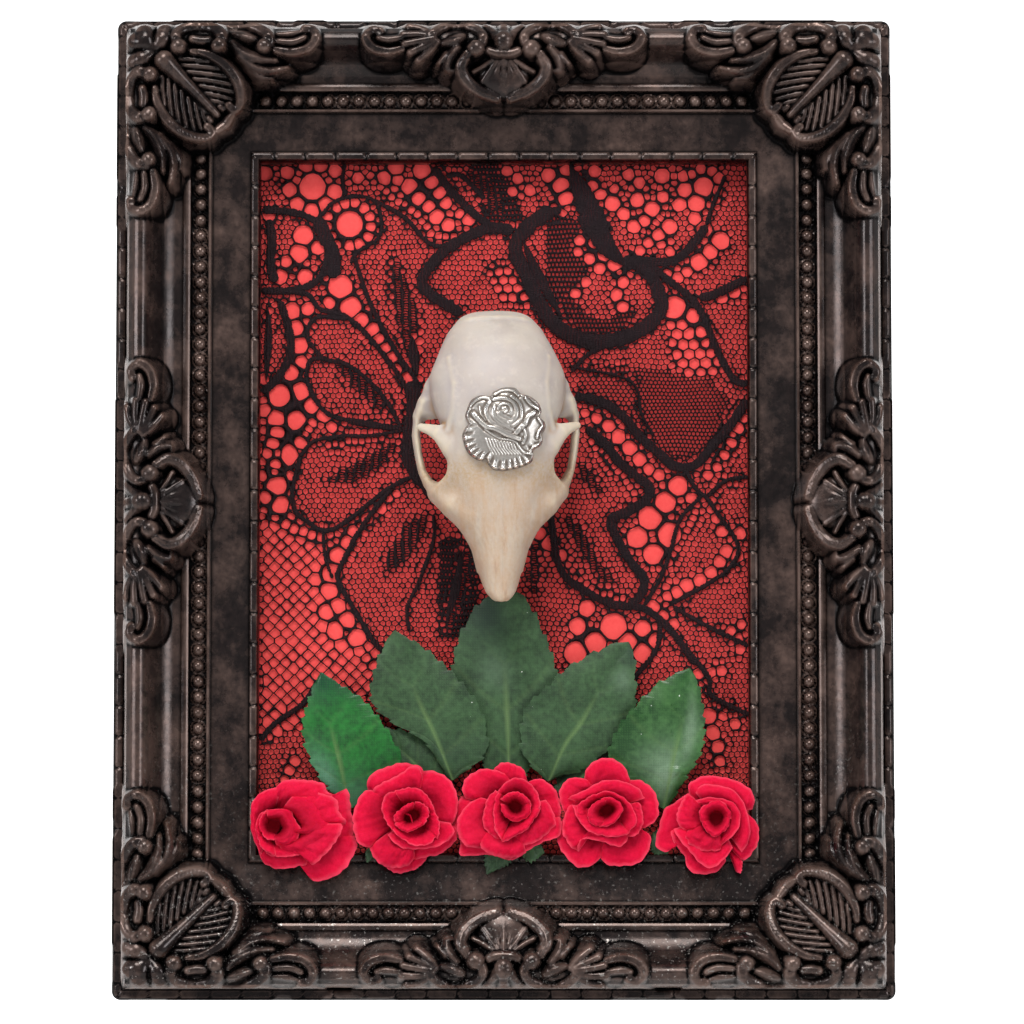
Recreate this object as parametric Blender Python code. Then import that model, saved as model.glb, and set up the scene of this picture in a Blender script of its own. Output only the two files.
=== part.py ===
"""Squirrel skull on lace in an ornate wall frame, with leaves and paper roses.

Upright wall piece: the back of the frame lies in the plane y = 0 and the front faces -y, with +z up.
The origin is the middle of the top rail's back face, where the piece bears on its wall.
Lengths below are millimetres and become metres when a mesh is made. Most shapes are drawn as
(across, out, up): across to the right, out from the wall towards the viewer, up.
"""

import math

import bmesh
import bpy
import numpy as np

MM = 0.001
GAP = 0.3

# Frame: outer size, and the distances from its outer edge to each feature of the moulding
FRAME_WIDTH = 160.0
FRAME_HEIGHT = 202.0
REBATE_EDGE = 27.0
SIGHT_EDGE = 29.8
BEAD_LINE = 17.7
BAND_OUT = 8.0
LIP_BACK_OUT = 5.6
FRAME_CENTRE_DROP = FRAME_HEIGHT / 2 - REBATE_EDGE / 2

# Backing board, red card and lace behind the opening
BOARD_BACK_OUT = 2.0
BOARD_THICKNESS = 2.5
LACE_THICKNESS = 0.5
BOARD_FRONT_OUT = BOARD_BACK_OUT + BOARD_THICKNESS
LACE_FRONT_OUT = BOARD_FRONT_OUT + GAP + LACE_THICKNESS
REST_OUT = LACE_FRONT_OUT + GAP

# Skull: place of its nose on the board, lean and roll of its axis, grid for its surface
SKULL_LENGTH = 59.0
NOSE_ACROSS = -1.7
NOSE_UP = -19.8
SKULL_LEAN = math.radians(1.1)
SKULL_ROLL = math.radians(4.5)
BONE_STEP = 0.55
BONE_TRIANGLES = 4000

# Incisors: an arc in the side view, seen as (along the skull, height)
INCISOR_CENTRE = (10.8, 6.9)
INCISOR_BEND = 7.5
INCISOR_DEPTH = 2.3
INCISOR_WIDTH = 1.7
INCISOR_OFFSET = 1.05
INCISOR_ROOT_ANGLE = 158.0
INCISOR_TIP_ANGLE = 238.0
SOCKET_CLEARANCE = 0.45

# Ornament on the moulding
ORNAMENT_STEP = 0.55
STEP_EDGE = 3.4
OVERHANG_OUT = 15.0
CORNER_TRIANGLES = 620
CREST_TRIANGLES = 560
ORNAMENT_CLEARANCE = 0.42
BEAD_PITCH = 3.2
BEAD_RADIUS = 1.25
BEAD_GAP_AT_CREST = 6.0
BEAD_END_FROM_CORNER = 27.2

# Paper roses, set in a row: centre across, centre up, radius, turn of the bud, bud shift
ROSES = (
    ("rose_far_left", -40.6, -66.3, 10.2, 0.3, (-4.2, 0.4)),
    ("rose_left", -19.8, -63.9, 10.2, 1.2, (0.8, 0.1)),
    ("rose_middle", 0.7, -63.1, 10.1, 2.3, (1.5, 0.9)),
    ("rose_right", 21.2, -63.1, 10.1, 3.1, (0.0, 0.3)),
    ("rose_far_right", 41.3, -65.2, 10.0, 4.4, (2.0, 0.7)),
)

# Fabric leaves: base and tip on the board, half widths left and right, height out at base and tip
LEAVES = (
    ("leaf_middle", (1.0, -58.4), (-0.6, -17.6), 11.0, 11.0, 6.1, 7.0),
    ("leaf_left", (-10.4, -56.2), (-22.4, -25.6), 9.6, 10.2, 7.7, 8.6),
    ("leaf_right", (9.2, -56.4), (25.6, -28.0), 9.4, 10.6, 7.7, 8.6),
    ("leaf_far_left", (-31.4, -62.0), (-37.4, -34.2), 8.6, 8.0, 7.7, 8.8),
    ("leaf_far_right", (32.6, -62.0), (38.0, -33.4), 9.2, 8.6, 9.1, 10.0),
    ("leaf_under_left", (-12.6, -59.6), (-27.0, -45.0), 4.6, 5.0, 6.2, 6.5),
    ("leaf_under_right", (12.6, -59.6), (26.0, -45.4), 5.0, 4.6, 6.2, 6.5),
)
LEAF_THICKNESS = 0.6
LEAF_ROWS = 10

# Cast rose charm on the forehead: centre along the skull, half sizes, thickness at rim and middle
CHARM_ALONG = 33.5
CHARM_ACROSS = 0.4
CHARM_HALF_WIDTH = 8.3
CHARM_HALF_HEIGHT = 8.3
CHARM_RIM = 1.0
CHARM_CROWN = 2.7

COLOURS = {
    "frame_resin": ((0.036, 0.027, 0.024), 0.42, 0.35),
    "hardboard": ((0.30, 0.20, 0.12), 0.85, 0.0),
    "lace_black": ((0.012, 0.010, 0.013), 0.80, 0.0),
    "bone": ((0.78, 0.70, 0.58), 0.55, 0.0),
    "tooth": ((0.80, 0.52, 0.22), 0.35, 0.0),
    "pewter": ((0.62, 0.61, 0.60), 0.30, 1.0),
    "leaf_fabric": ((0.035, 0.10, 0.045), 0.65, 0.0),
    "rose_paper": ((0.62, 0.010, 0.050), 0.75, 0.0),
    "hanger_steel": ((0.60, 0.58, 0.54), 0.35, 1.0),
}


def clear_scene():
    for thing in list(bpy.data.objects):
        bpy.data.objects.remove(thing)


def material(name):
    found = bpy.data.materials.get(name)
    if found:
        return found
    colour, roughness, metallic = COLOURS[name]
    made = bpy.data.materials.new(name)
    made.use_nodes = True
    shader = made.node_tree.nodes["Principled BSDF"]
    shader.inputs["Base Color"].default_value = (*colour, 1.0)
    shader.inputs["Roughness"].default_value = roughness
    shader.inputs["Metallic"].default_value = metallic
    return made


def largest_piece(mesh_data):
    """Keep only the closed surface with the most faces."""
    left = set(mesh_data.faces)
    pieces = []
    while left:
        start = left.pop()
        piece = [start]
        for face in piece:
            for edge in face.edges:
                for other in edge.link_faces:
                    if other in left:
                        left.remove(other)
                        piece.append(other)
        pieces.append(piece)
    pieces.sort(key=len)
    for piece in pieces[:-1]:
        corners = {vertex for face in piece for vertex in face.verts}
        bmesh.ops.delete(mesh_data, geom=list(corners), context="VERTS")


def solid(name, points, faces, slot, centre=(0.0, 0.0, 0.0), smooth_angle=40.0):
    """A closed object from (across, out, up) points in millimetres, placed at its centre."""
    points = np.asarray(points, dtype=float)
    local = np.column_stack((points[:, 0], -points[:, 1], points[:, 2])) * MM
    data = bpy.data.meshes.new(name)
    data.from_pydata(local.tolist(), [], [tuple(face) for face in faces])
    edit = bmesh.new()
    edit.from_mesh(data)
    largest_piece(edit)
    bmesh.ops.recalc_face_normals(edit, faces=edit.faces)
    edit.to_mesh(data)
    edit.free()
    data.shade_smooth()
    data.set_sharp_from_angle(angle=math.radians(smooth_angle))
    data.materials.append(material(slot))
    made = bpy.data.objects.new(name, data)
    made.location = (centre[0] * MM, -centre[1] * MM, centre[2] * MM)
    bpy.context.collection.objects.link(made)
    made.parent = bpy.data.objects["frame_centre"]
    return made


def box(name, low, high, slot):
    """A plain plate between two corners."""
    low = np.array(low, dtype=float)
    high = np.array(high, dtype=float)
    middle = (low + high) / 2
    half = (high - low) / 2
    signs = np.array([(x, y, z) for x in (-1, 1) for y in (-1, 1) for z in (-1, 1)])
    faces = ((0, 1, 3, 2), (4, 6, 7, 5), (0, 4, 5, 1), (2, 3, 7, 6), (0, 2, 6, 4), (1, 5, 7, 3))
    return solid(name, signs * half, faces, slot, middle)


def plate(name, outline, low_out, high_out, slot, centre=(0.0, 0.0, 0.0)):
    """A flat plate of an outline in the plane of the wall."""
    count = len(outline)
    points = [(x, low_out, z) for x, z in outline] + [(x, high_out, z) for x, z in outline]
    faces = [tuple(range(count)), tuple(range(count, 2 * count))]
    for i in range(count):
        after = (i + 1) % count
        faces.append((i, after, count + after, count + i))
    return solid(name, points, faces, slot, centre)


def reduce_to(piece, triangles):
    """Thin a dense surface out to about the given number of triangles."""
    count = sum(len(face.vertices) - 2 for face in piece.data.polygons)
    thin = piece.modifiers.new("thin", "DECIMATE")
    thin.ratio = min(1.0, triangles / count)
    thin.use_collapse_triangulate = True


# Fields: each gives a signed distance, negative inside, for arrays of points

def smooth_join(a, b, reach):
    mix = np.clip(0.5 + 0.5 * (b - a) / reach, 0.0, 1.0)
    return b + (a - b) * mix - reach * mix * (1.0 - mix)


def smooth_cut(a, b, reach):
    return -smooth_join(-a, b, reach)


def ellipsoid(x, s, h, centre, radii):
    parts = [(value - c, r) for value, c, r in zip((x, s, h), centre, radii)]
    near = np.sqrt(sum((d / r) ** 2 for d, r in parts))
    slope = np.sqrt(sum((d / r**2) ** 2 for d, r in parts)) + 1e-9
    return near * (near - 1.0) / slope


def limb(x, s, h, points, squash=1.0):
    """A chain of tapered round rods through (x, s, h, radius), stretched in h by squash."""
    best = None
    for (x0, s0, h0, r0), (x1, s1, h1, r1) in zip(points, points[1:]):
        run = (x1 - x0, s1 - s0, (h1 - h0) / squash)
        length = sum(value * value for value in run) + 1e-9
        away = (x - x0, s - s0, (h - h0) / squash)
        share = np.clip(sum(a * b for a, b in zip(away, run)) / length, 0.0, 1.0)
        gap = np.sqrt(sum((a - share * b) ** 2 for a, b in zip(away, run)))
        here = gap - (r0 + (r1 - r0) * share)
        best = here if best is None else np.minimum(best, here)
    return best


def smooth_table(rows, samples=240):
    """Rows of (station, values...) read along one smooth curve through them."""
    rows = np.array(rows, dtype=float)
    at = np.linspace(rows[0, 0], rows[-1, 0], samples)
    slopes = np.gradient(rows[:, 1:], rows[:, 0], axis=0)
    span = np.clip(np.searchsorted(rows[:, 0], at, side="right") - 1, 0, len(rows) - 2)
    width = rows[span + 1, 0] - rows[span, 0]
    t = ((at - rows[span, 0]) / width)[:, None]
    width = width[:, None]
    value = ((1 + 2 * t) * (1 - t) ** 2 * rows[span, 1:] + t * (1 - t) ** 2 * width * slopes[span]
             + t**2 * (3 - 2 * t) * rows[span + 1, 1:] + t**2 * (t - 1) * width * slopes[span + 1])
    return at, value


CUBE = [(i, j, k) for i in (0, 1) for j in (0, 1) for k in (0, 1)]


def one_sheet(pattern):
    """Whether a cell's inside corners hang together, and its outside corners too."""
    for wanted in (0, 1):
        group = [corner for n, corner in enumerate(CUBE) if (pattern >> n) & 1 == wanted]
        if not group:
            continue
        reached = [group[0]]
        for corner in reached:
            for other in group:
                apart = sum(abs(a - b) for a, b in zip(corner, other))
                if apart == 1 and other not in reached:
                    reached.append(other)
        if len(reached) < len(group):
            return False
    return True


def trim_thin_spots(values):
    """Open up the cells that two sheets of the surface would share."""
    simple = np.array([one_sheet(pattern) for pattern in range(256)])
    cells = tuple(n - 1 for n in values.shape)
    for _ in range(40):
        pattern = np.zeros(cells, dtype=int)
        for n, (i, j, k) in enumerate(CUBE):
            corner = values[i:cells[0] + i, j:cells[1] + j, k:cells[2] + k] < 0
            pattern |= corner.astype(int) << n
        crowded = np.argwhere(~simple[pattern])
        if not len(crowded):
            break
        for offset in CUBE:
            at = tuple((crowded + offset).T)
            values[at] = np.maximum(values[at], 0.02)


def surface_net(values, low, step):
    """Points and quads of the surface where the grid of values is zero."""
    trim_thin_spots(values)
    cells = tuple(n - 1 for n in values.shape)
    total = np.zeros(cells + (3,))
    count = np.zeros(cells)
    crossings = []
    for axis in range(3):
        across, up = [k for k in range(3) if k != axis]
        here = np.moveaxis(np.moveaxis(values, axis, 0)[:-1], 0, axis)
        after = np.moveaxis(np.moveaxis(values, axis, 0)[1:], 0, axis)
        crossing = (here < 0) != (after < 0)
        share = np.where(crossing, here / np.where(crossing, here - after, 1.0), 0.0)
        crossings.append((axis, across, up, crossing, here < 0))
        for i in (0, 1):
            for j in (0, 1):
                pick = [slice(None)] * 3
                pick[across] = slice(i, cells[across] + i)
                pick[up] = slice(j, cells[up] + j)
                hit = crossing[tuple(pick)]
                count += hit
                total[..., axis] += share[tuple(pick)]
                total[..., across] += hit * i
                total[..., up] += hit * j
    used = count > 0
    index = np.full(cells, -1)
    index[used] = np.arange(used.sum())
    points = np.array(low) + step * (np.argwhere(used) + total[used] / count[used][:, None])
    quads = []
    for axis, across, up, crossing, inside in crossings:
        places = np.argwhere(crossing)
        keep = (places[:, across] > 0) & (places[:, up] > 0)
        keep &= (places[:, across] < cells[across]) & (places[:, up] < cells[up])
        places = places[keep]
        corners = []
        for i, j in ((1, 1), (0, 1), (0, 0), (1, 0)):
            at = places.copy()
            at[:, across] -= i
            at[:, up] -= j
            corners.append(index[tuple(at.T)])
        quad = np.column_stack(corners)
        outward = inside[tuple(places.T)] ^ (axis == 1)
        quad[~outward] = quad[~outward][:, ::-1]
        quads.append(quad)
    return points, np.vstack(quads)


def settle(points, field, rounds=3, reach=0.3):
    """Move points along the field's slope onto its zero surface."""
    nudge = 0.05
    for _ in range(rounds):
        value = field(*points.T)
        slope = np.empty_like(points)
        for k in range(3):
            step = np.zeros(3)
            step[k] = nudge
            slope[:, k] = (field(*(points + step).T) - field(*(points - step).T)) / (2 * nudge)
        size = (slope**2).sum(axis=1) + 1e-6
        points = points - np.clip(value / size, -reach, reach)[:, None] * slope
    return points


def grid(low, high, step):
    axes = [np.arange(a, b + step, step) for a, b in zip(low, high)]
    return np.meshgrid(*axes, indexing="ij")


# Cranium: x across, s along from the nose tip to the nape, h up from the resting plane

# station, half width, top, bottom, squareness of the section
CRANIUM_STATIONS = (
    (0.0, 2.0, 17.4, 13.4, 2.2),
    (1.2, 3.0, 18.0, 11.6, 2.3),
    (2.6, 3.55, 18.5, 9.6, 2.4),
    (6.4, 4.55, 19.8, 8.5, 2.5),
    (11.0, 5.8, 21.4, 8.3, 2.5),
    (15.1, 7.2, 22.7, 8.2, 2.5),
    (19.0, 8.2, 23.8, 8.0, 2.7),
    (24.0, 9.6, 25.0, 7.8, 2.9),
    (29.0, 10.0, 26.2, 7.6, 2.9),
    (34.0, 11.2, 27.0, 7.4, 2.5),
    (38.0, 12.8, 26.9, 7.2, 2.3),
    (42.0, 13.7, 26.4, 6.8, 2.2),
    (45.0, 13.8, 25.7, 6.4, 2.2),
    (48.8, 12.4, 24.2, 6.0, 2.3),
    (52.9, 10.5, 21.8, 6.2, 2.4),
    (56.0, 8.6, 19.0, 7.2, 2.4),
    (58.0, 6.6, 16.4, 8.6, 2.3),
    (59.0, 4.6, 14.4, 10.2, 2.1),
)
ARCH = (
    (12.6, 22.4, 11.2, 1.7),
    (14.0, 24.0, 10.2, 1.15),
    (15.2, 26.5, 9.2, 0.85),
    (15.9, 30.0, 8.9, 0.85),
    (16.35, 34.0, 9.4, 0.9),
    (16.0, 37.6, 10.6, 0.95),
    (15.0, 40.4, 11.6, 1.0),
)
ARCH_STRETCH = 2.7
ARCH_SHELF = ((15.2, 37.9, 11.0, 1.3), (13.5, 39.4, 12.2, 2.5), (12.1, 42.6, 13.4, 2.9))
SNOUT_FLARE = ((4.6, 13.6, 14.8, 2.1), (6.6, 16.6, 15.6, 2.8), (9.4, 19.3, 15.4, 2.9), (12.0, 21.6, 12.6, 2.2))
FLARE_STRETCH = 1.7
BROW_SPIKE = ((9.8, 31.4, 20.9, 2.7), (12.3, 33.3, 20.5, 1.6), (14.2, 34.2, 19.5, 1.1), (15.8, 34.8, 18.3, 0.85))
SPIKE_SQUASH = 0.8

# Smooth upper face from the snout out to the cheeks and the rims of the eye openings:
# station, half width, fall from the middle to that edge, depth of its middle in the bone
FACE_STATIONS = (
    (6.0, 4.3, 2.0, 2.8),
    (9.0, 5.0, 2.6, 1.7),
    (12.4, 6.3, 3.0, 1.1),
    (15.8, 7.7, 3.4, 1.0),
    (18.0, 9.4, 4.2, 1.0),
    (20.0, 11.8, 5.6, 1.0),
    (22.0, 13.2, 6.8, 1.0),
    (23.4, 12.6, 5.6, 1.0),
    (25.0, 11.2, 3.6, 1.0),
    (27.0, 10.8, 2.8, 1.0),
    (30.0, 11.4, 3.3, 1.0),
    (32.4, 12.6, 4.0, 1.9),
    (34.4, 13.6, 4.4, 3.2),
)
FACE_CURVE = 2.2
FACE_THICKNESS = 1.9

TEMPLE_RIDGE = ((10.4, 34.0, 22.1, 0.6), (9.3, 38.0, 23.5, 0.5), (9.1, 43.0, 23.5, 0.5), (9.9, 48.4, 20.8, 0.4))
NAPE_RIDGE = ((0.0, 57.0, 17.3, 0.5), (5.2, 56.6, 16.6, 0.5), (8.8, 54.0, 14.2, 0.5), (10.9, 50.8, 11.0, 0.5))
TOOTH_ROW = ((5.2, 23.2, 8.0, 1.5), (5.4, 33.2, 8.0, 1.5))
TOOTH_STATIONS = (22.6, 24.6, 27.0, 29.5, 31.9)
TOOTH_SIZES = (0.8, 1.3, 1.4, 1.4, 1.35)
TOOTH_TIP = 4.5
WING_OF_PALATE = ((2.7, 34.5, 7.6, 0.8), (2.5, 38.0, 5.8, 0.6), (2.6, 41.0, 4.6, 0.5))
EAR_BULLA = ((7.5, 46.6, 5.9), (4.1, 5.3, 4.8))
NAPE_PROCESS = ((9.0, 52.0, 8.0, 1.3), (8.4, 53.0, 3.8, 0.6))
CONDYLE = ((3.7, 56.8, 7.4), (1.9, 1.7, 2.2))
EYE_SOCKET = ((14.6, 27.4, 14.2), (7.6, 5.6, 7.4))
CHEEK_HOLLOW = ((16.6, 34.0, 13.0), (4.1, 2.9, 7.0))
NOSTRIL = ((0.0, -0.9, 13.6), (2.2, 3.7, 2.0))
NAPE_HOLE = ((0.0, 59.8, 9.6), (3.1, 4.6, 2.8))
THROAT = ((0.0, 37.5, 6.2), (1.9, 3.6, 2.6))
EAR_HOLE = ((12.0, 44.6, 9.2), (1.6, 1.1, 1.1))
FACE_HOLE = ((6.9, 15.2, 10.6), (0.9, 1.3, 1.7))
SKULL_LOW = (-18.7, -1.6, 0.3)
SKULL_HIGH = (18.6, 61.0, 28.4)


def incisor_distance(x, s, h, grow):
    """Distance to the bent rod of one incisor and its twin."""
    from_centre_s = s - INCISOR_CENTRE[0]
    from_centre_h = h - INCISOR_CENTRE[1]
    angle = np.degrees(np.arctan2(from_centre_h, from_centre_s)) % 360.0
    angle = np.clip(angle, INCISOR_ROOT_ANGLE, INCISOR_TIP_ANGLE)
    ring_s = INCISOR_BEND * np.cos(np.radians(angle))
    ring_h = INCISOR_BEND * np.sin(np.radians(angle))
    radial = np.hypot(from_centre_s - ring_s, from_centre_h - ring_h)
    across = np.maximum(np.abs(x) - INCISOR_OFFSET - INCISOR_WIDTH / 2, -1.0)
    return np.maximum(across, radial - INCISOR_DEPTH / 2) - grow


def face_field(x, s, h, top):
    at, rows = smooth_table(FACE_STATIONS)
    edge, fall, depth = (np.interp(s, at, rows[:, k]) for k in range(3))
    above = 0.8 * (h - top + depth + fall * (x / edge) ** FACE_CURVE)
    face = -smooth_join(-above, above + FACE_THICKNESS, 0.5)
    face = -smooth_join(-face, 0.8 * (edge - x), 0.8)
    return np.maximum(face, np.maximum(FACE_STATIONS[0][0] - s, s - FACE_STATIONS[-1][0]))


def cranium_field(x, s, h):
    """The whole bone, alike on both sides of x = 0."""
    x = np.abs(x)
    at, rows = smooth_table(CRANIUM_STATIONS)
    half, top, bottom, power = (np.interp(s, at, rows[:, k]) for k in range(4))
    middle = (top + bottom) / 2
    tall = (top - bottom) / 2
    round_out = (x / half) ** power + (np.abs(h - middle) / tall) ** power
    bone = (round_out ** (1.0 / power) - 1.0) * np.minimum(half, tall)
    bone = -smooth_join(-bone, s + 0.2, 0.8)
    bone = -smooth_join(-bone, SKULL_LENGTH - s, 1.2)
    bone = smooth_cut(bone, ellipsoid(x, s, h, *EYE_SOCKET), 1.2)
    bone = smooth_cut(bone, ellipsoid(x, s, h, *CHEEK_HOLLOW), 1.2)
    bone = smooth_join(bone, limb(x, s, h, SNOUT_FLARE, FLARE_STRETCH), 2.0)
    bone = smooth_join(bone, limb(x, s, h, ARCH, ARCH_STRETCH), 1.2)
    bone = smooth_join(bone, limb(x, s, h, ARCH_SHELF, 0.9), 1.4)
    bone = smooth_join(bone, limb(x, s, h, BROW_SPIKE, SPIKE_SQUASH), 1.0)
    bone = smooth_join(bone, face_field(x, s, h, top), 1.6)
    bone = smooth_join(bone, limb(x, s, h, TEMPLE_RIDGE), 0.8)
    bone = smooth_join(bone, limb(x, s, h, NAPE_RIDGE), 1.0)
    bone = smooth_join(bone, limb(x, s, h, TOOTH_ROW, 1.4), 1.2)
    bone = smooth_join(bone, limb(x, s, h, WING_OF_PALATE, 1.6), 0.8)
    bone = smooth_join(bone, ellipsoid(x, s, h, *EAR_BULLA), 0.9)
    bone = smooth_join(bone, limb(x, s, h, NAPE_PROCESS), 0.9)
    bone = smooth_join(bone, ellipsoid(x, s, h, *CONDYLE), 0.7)
    for station, size in zip(TOOTH_STATIONS, TOOTH_SIZES):
        crown = ellipsoid(x, s, h, (5.35, station, 6.2), (size, size, 2.4))
        bone = smooth_join(bone, np.maximum(crown, TOOTH_TIP - h), 0.4)
    for hole in (NOSTRIL, NAPE_HOLE, THROAT, EAR_HOLE, FACE_HOLE):
        bone = smooth_cut(bone, ellipsoid(x, s, h, *hole), 0.5)
    return np.maximum(bone, -incisor_distance(x, s, h, SOCKET_CLEARANCE))


def skull_place(piece):
    piece.location = (NOSE_ACROSS * MM, -REST_OUT * MM, NOSE_UP * MM)
    piece.rotation_euler = (0.0, -SKULL_LEAN, SKULL_ROLL)


def build_cranium():
    values = cranium_field(*grid(SKULL_LOW, SKULL_HIGH, BONE_STEP))
    points, faces = surface_net(values, SKULL_LOW, BONE_STEP)
    points = settle(points, cranium_field)
    bone = solid("cranium", points[:, [0, 2, 1]], faces, "bone", smooth_angle=60.0)
    reduce_to(bone, BONE_TRIANGLES)
    skull_place(bone)


def build_incisors():
    """Each incisor is a bent bar of rounded section that ends in a chisel."""
    rings = 9
    sides = 8
    for name, side in (("incisor_left", -1.0), ("incisor_right", 1.0)):
        points = []
        for i in range(rings):
            share = i / (rings - 1)
            angle = math.radians(INCISOR_ROOT_ANGLE + (INCISOR_TIP_ANGLE - INCISOR_ROOT_ANGLE) * share)
            deep = INCISOR_DEPTH / 2 * (1.0 if share < 0.7 else 1.0 - 0.8 * (share - 0.7) / 0.3)
            for j in range(sides):
                turn = 2 * math.pi * (j + 0.5) / sides
                radius = INCISOR_BEND + deep * math.cos(turn)
                across = side * INCISOR_OFFSET + INCISOR_WIDTH / 2 * math.sin(turn)
                along = INCISOR_CENTRE[0] + radius * math.cos(angle)
                height = INCISOR_CENTRE[1] + radius * math.sin(angle)
                points.append((across, height, along))
        faces = [tuple(range(sides)), tuple(range((rings - 1) * sides, rings * sides))]
        for i in range(rings - 1):
            for j in range(sides):
                after = (j + 1) % sides
                faces.append((i * sides + j, i * sides + after, (i + 1) * sides + after, (i + 1) * sides + j))
        skull_place(solid(name, points, faces, "tooth"))


# Moulding

# distance in from the outer edge, distance out from the wall
MOULDING_FRONT = (
    (0.0, 7.2),
    (0.5, BAND_OUT),
    (2.2, BAND_OUT),
    (2.5, 7.6),
    (2.7, 13.6),
    (3.4, 17.4),
    (4.6, 19.6),
    (5.8, 20.2),
    (7.0, 19.6),
    (8.0, 18.0),
    (9.0, 15.9),
    (10.4, 14.2),
    (12.4, 13.0),
    (14.2, 12.8),
    (14.9, 13.8),
    (15.9, 13.8),
    (16.2, 11.9),
    (19.2, 11.9),
    (19.4, 13.0),
    (20.0, 13.0),
    (20.5, 11.6),
    (27.8, 10.4),
    (28.1, 11.0),
    (29.5, 11.0),
    (SIGHT_EDGE, 10.4),
)


def moulding_out(inward):
    """How far out from the wall the moulding's face stands, at a distance in from its outer edge."""
    steps = np.array(MOULDING_FRONT)
    return np.interp(inward, steps[:, 0], steps[:, 1])


def clear_of_moulding():
    """A table of the lowest height that keeps the ornament clear of the moulding."""
    inward = np.arange(0.0, SIGHT_EDGE, 0.05)
    lowest = np.where(inward < STEP_EDGE, OVERHANG_OUT, 0.0)
    for shift in np.arange(-ORNAMENT_CLEARANCE, ORNAMENT_CLEARANCE + 0.01, 0.06):
        lift = math.sqrt(max(ORNAMENT_CLEARANCE**2 - shift**2, 0.0))
        lowest = np.maximum(lowest, moulding_out(inward + shift) + lift)
    return inward, lowest


def build_moulding():
    section = [(0.0, 0.0), *MOULDING_FRONT, (SIGHT_EDGE, LIP_BACK_OUT), (REBATE_EDGE, LIP_BACK_OUT), (REBATE_EDGE, 0.0)]
    count = len(section)
    points = []
    for side_x, side_z in ((-1, -1), (1, -1), (1, 1), (-1, 1)):
        for inward, out in section:
            points.append((side_x * (FRAME_WIDTH / 2 - inward), out, side_z * (FRAME_HEIGHT / 2 - inward)))
    faces = []
    for corner in range(4):
        after = (corner + 1) % 4
        for i in range(count):
            j = (i + 1) % count
            faces.append((corner * count + i, corner * count + j, after * count + j, after * count + i))
    solid("frame_moulding", points, faces, "frame_resin")


# Ornament: round-topped strokes on a bed whose height falls from the outer edge to the flat

BED_OUT = ((0.0, 2.0, 3.4, 6.0, 9.0, 12.0, 16.0, 20.0, 24.0, 30.0),
           (9.0, 12.0, 18.6, 20.8, 20.4, 19.2, 17.4, 15.6, 13.4, 11.6))
FLAT = 0.3

# each stroke: its points as (in, in or along, radius), then its lift over the bed and its rise
CORNER_HALF = (
    (((6.3, 10.8, 1.5), (4.2, 11.2, 1.2), (3.3, 13.4, 1.0), (3.2, 16.4, 1.0), (3.9, 19.4, 1.2), (6.0, 21.0, 1.7)),
     0.6, 1.0),
    (((5.2, 14.2, 0.8), (5.5, 17.4, 0.8)), 0.3, 1.0),
    (((7.6, 14.8, 0.7), (8.6, 18.6, 0.9), (10.9, 22.2, 1.0), (14.5, 24.6, 1.0), (17.9, 25.0, 1.0), (19.2, 23.4, 0.9)),
     0.9, 1.0),
    (((9.6, 13.4, 0.6), (10.4, 18.2, 0.6)), 0.0, 1.0),
    (((11.3, 14.0, 0.6), (12.4, 20.0, 0.6)), 0.0, 1.0),
    (((13.0, 15.6, 0.6), (14.4, 21.8, 0.6)), 0.0, 1.0),
    (((14.8, 17.2, 0.6), (16.4, 22.8, 0.6)), 0.0, 1.0),
    (((4.9, 9.6, 1.8), (8.8, 9.8, 1.2)), -0.2, 0.8),
    (((5.3, 6.4, 1.8), (8.8, 8.6, 1.2)), -0.2, 0.8),
    (((4.2, 22.4, 0.8), (4.0, 25.5, 1.2), (5.0, 29.0, 1.5), (6.4, 31.2, 1.3)), 0.4, 1.0),
    (((6.0, 23.5, 0.7), (7.6, 27.2, 1.1), (8.9, 31.5, 0.9)), 0.2, 1.0),
    (((8.0, 23.5, 0.7), (9.9, 27.5, 1.1), (11.2, 32.0, 0.6)), 0.1, 1.0),
    (((7.6, 31.0, 0.8), (8.6, 35.8, 1.0), (8.2, 39.2, 1.0), (6.2, 41.0, 1.0), (4.3, 40.4, 1.0), (4.3, 39.0, 1.1)),
     0.3, 1.0),
    (((5.9, 31.5, 0.6), (6.2, 36.0, 0.7), (5.6, 38.4, 0.5)), 0.2, 1.0),
    (((6.4, 21.0, 3.2), (7.4, 26.0, 3.6), (7.6, 31.0, 2.6), (6.8, 36.0, 2.2), (6.4, 38.6, 2.0)), 0.2, FLAT),
    (((5.6, 11.0, 2.4), (5.8, 16.0, 2.6), (8.0, 20.0, 2.8), (12.0, 22.6, 2.6)), 0.1, FLAT),
)
CORNER_MIDDLE = (
    (((10.3, 10.3, 2.1), (12.3, 12.3, 1.7), (15.5, 15.4, 1.2), (20.6, 20.4, 0.8)), 1.0, 1.0),
    (((20.2, 24.2, 1.0), (22.6, 22.6, 1.3), (24.2, 20.2, 1.0)), 0.8, 1.0),
    (((6.6, 6.6, 3.4), (9.4, 9.4, 4.4)), 0.2, FLAT),
    (((11.5, 11.5, 5.0), (16.5, 16.5, 7.0), (20.5, 20.5, 4.0)), -1.9, FLAT),
)
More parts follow.
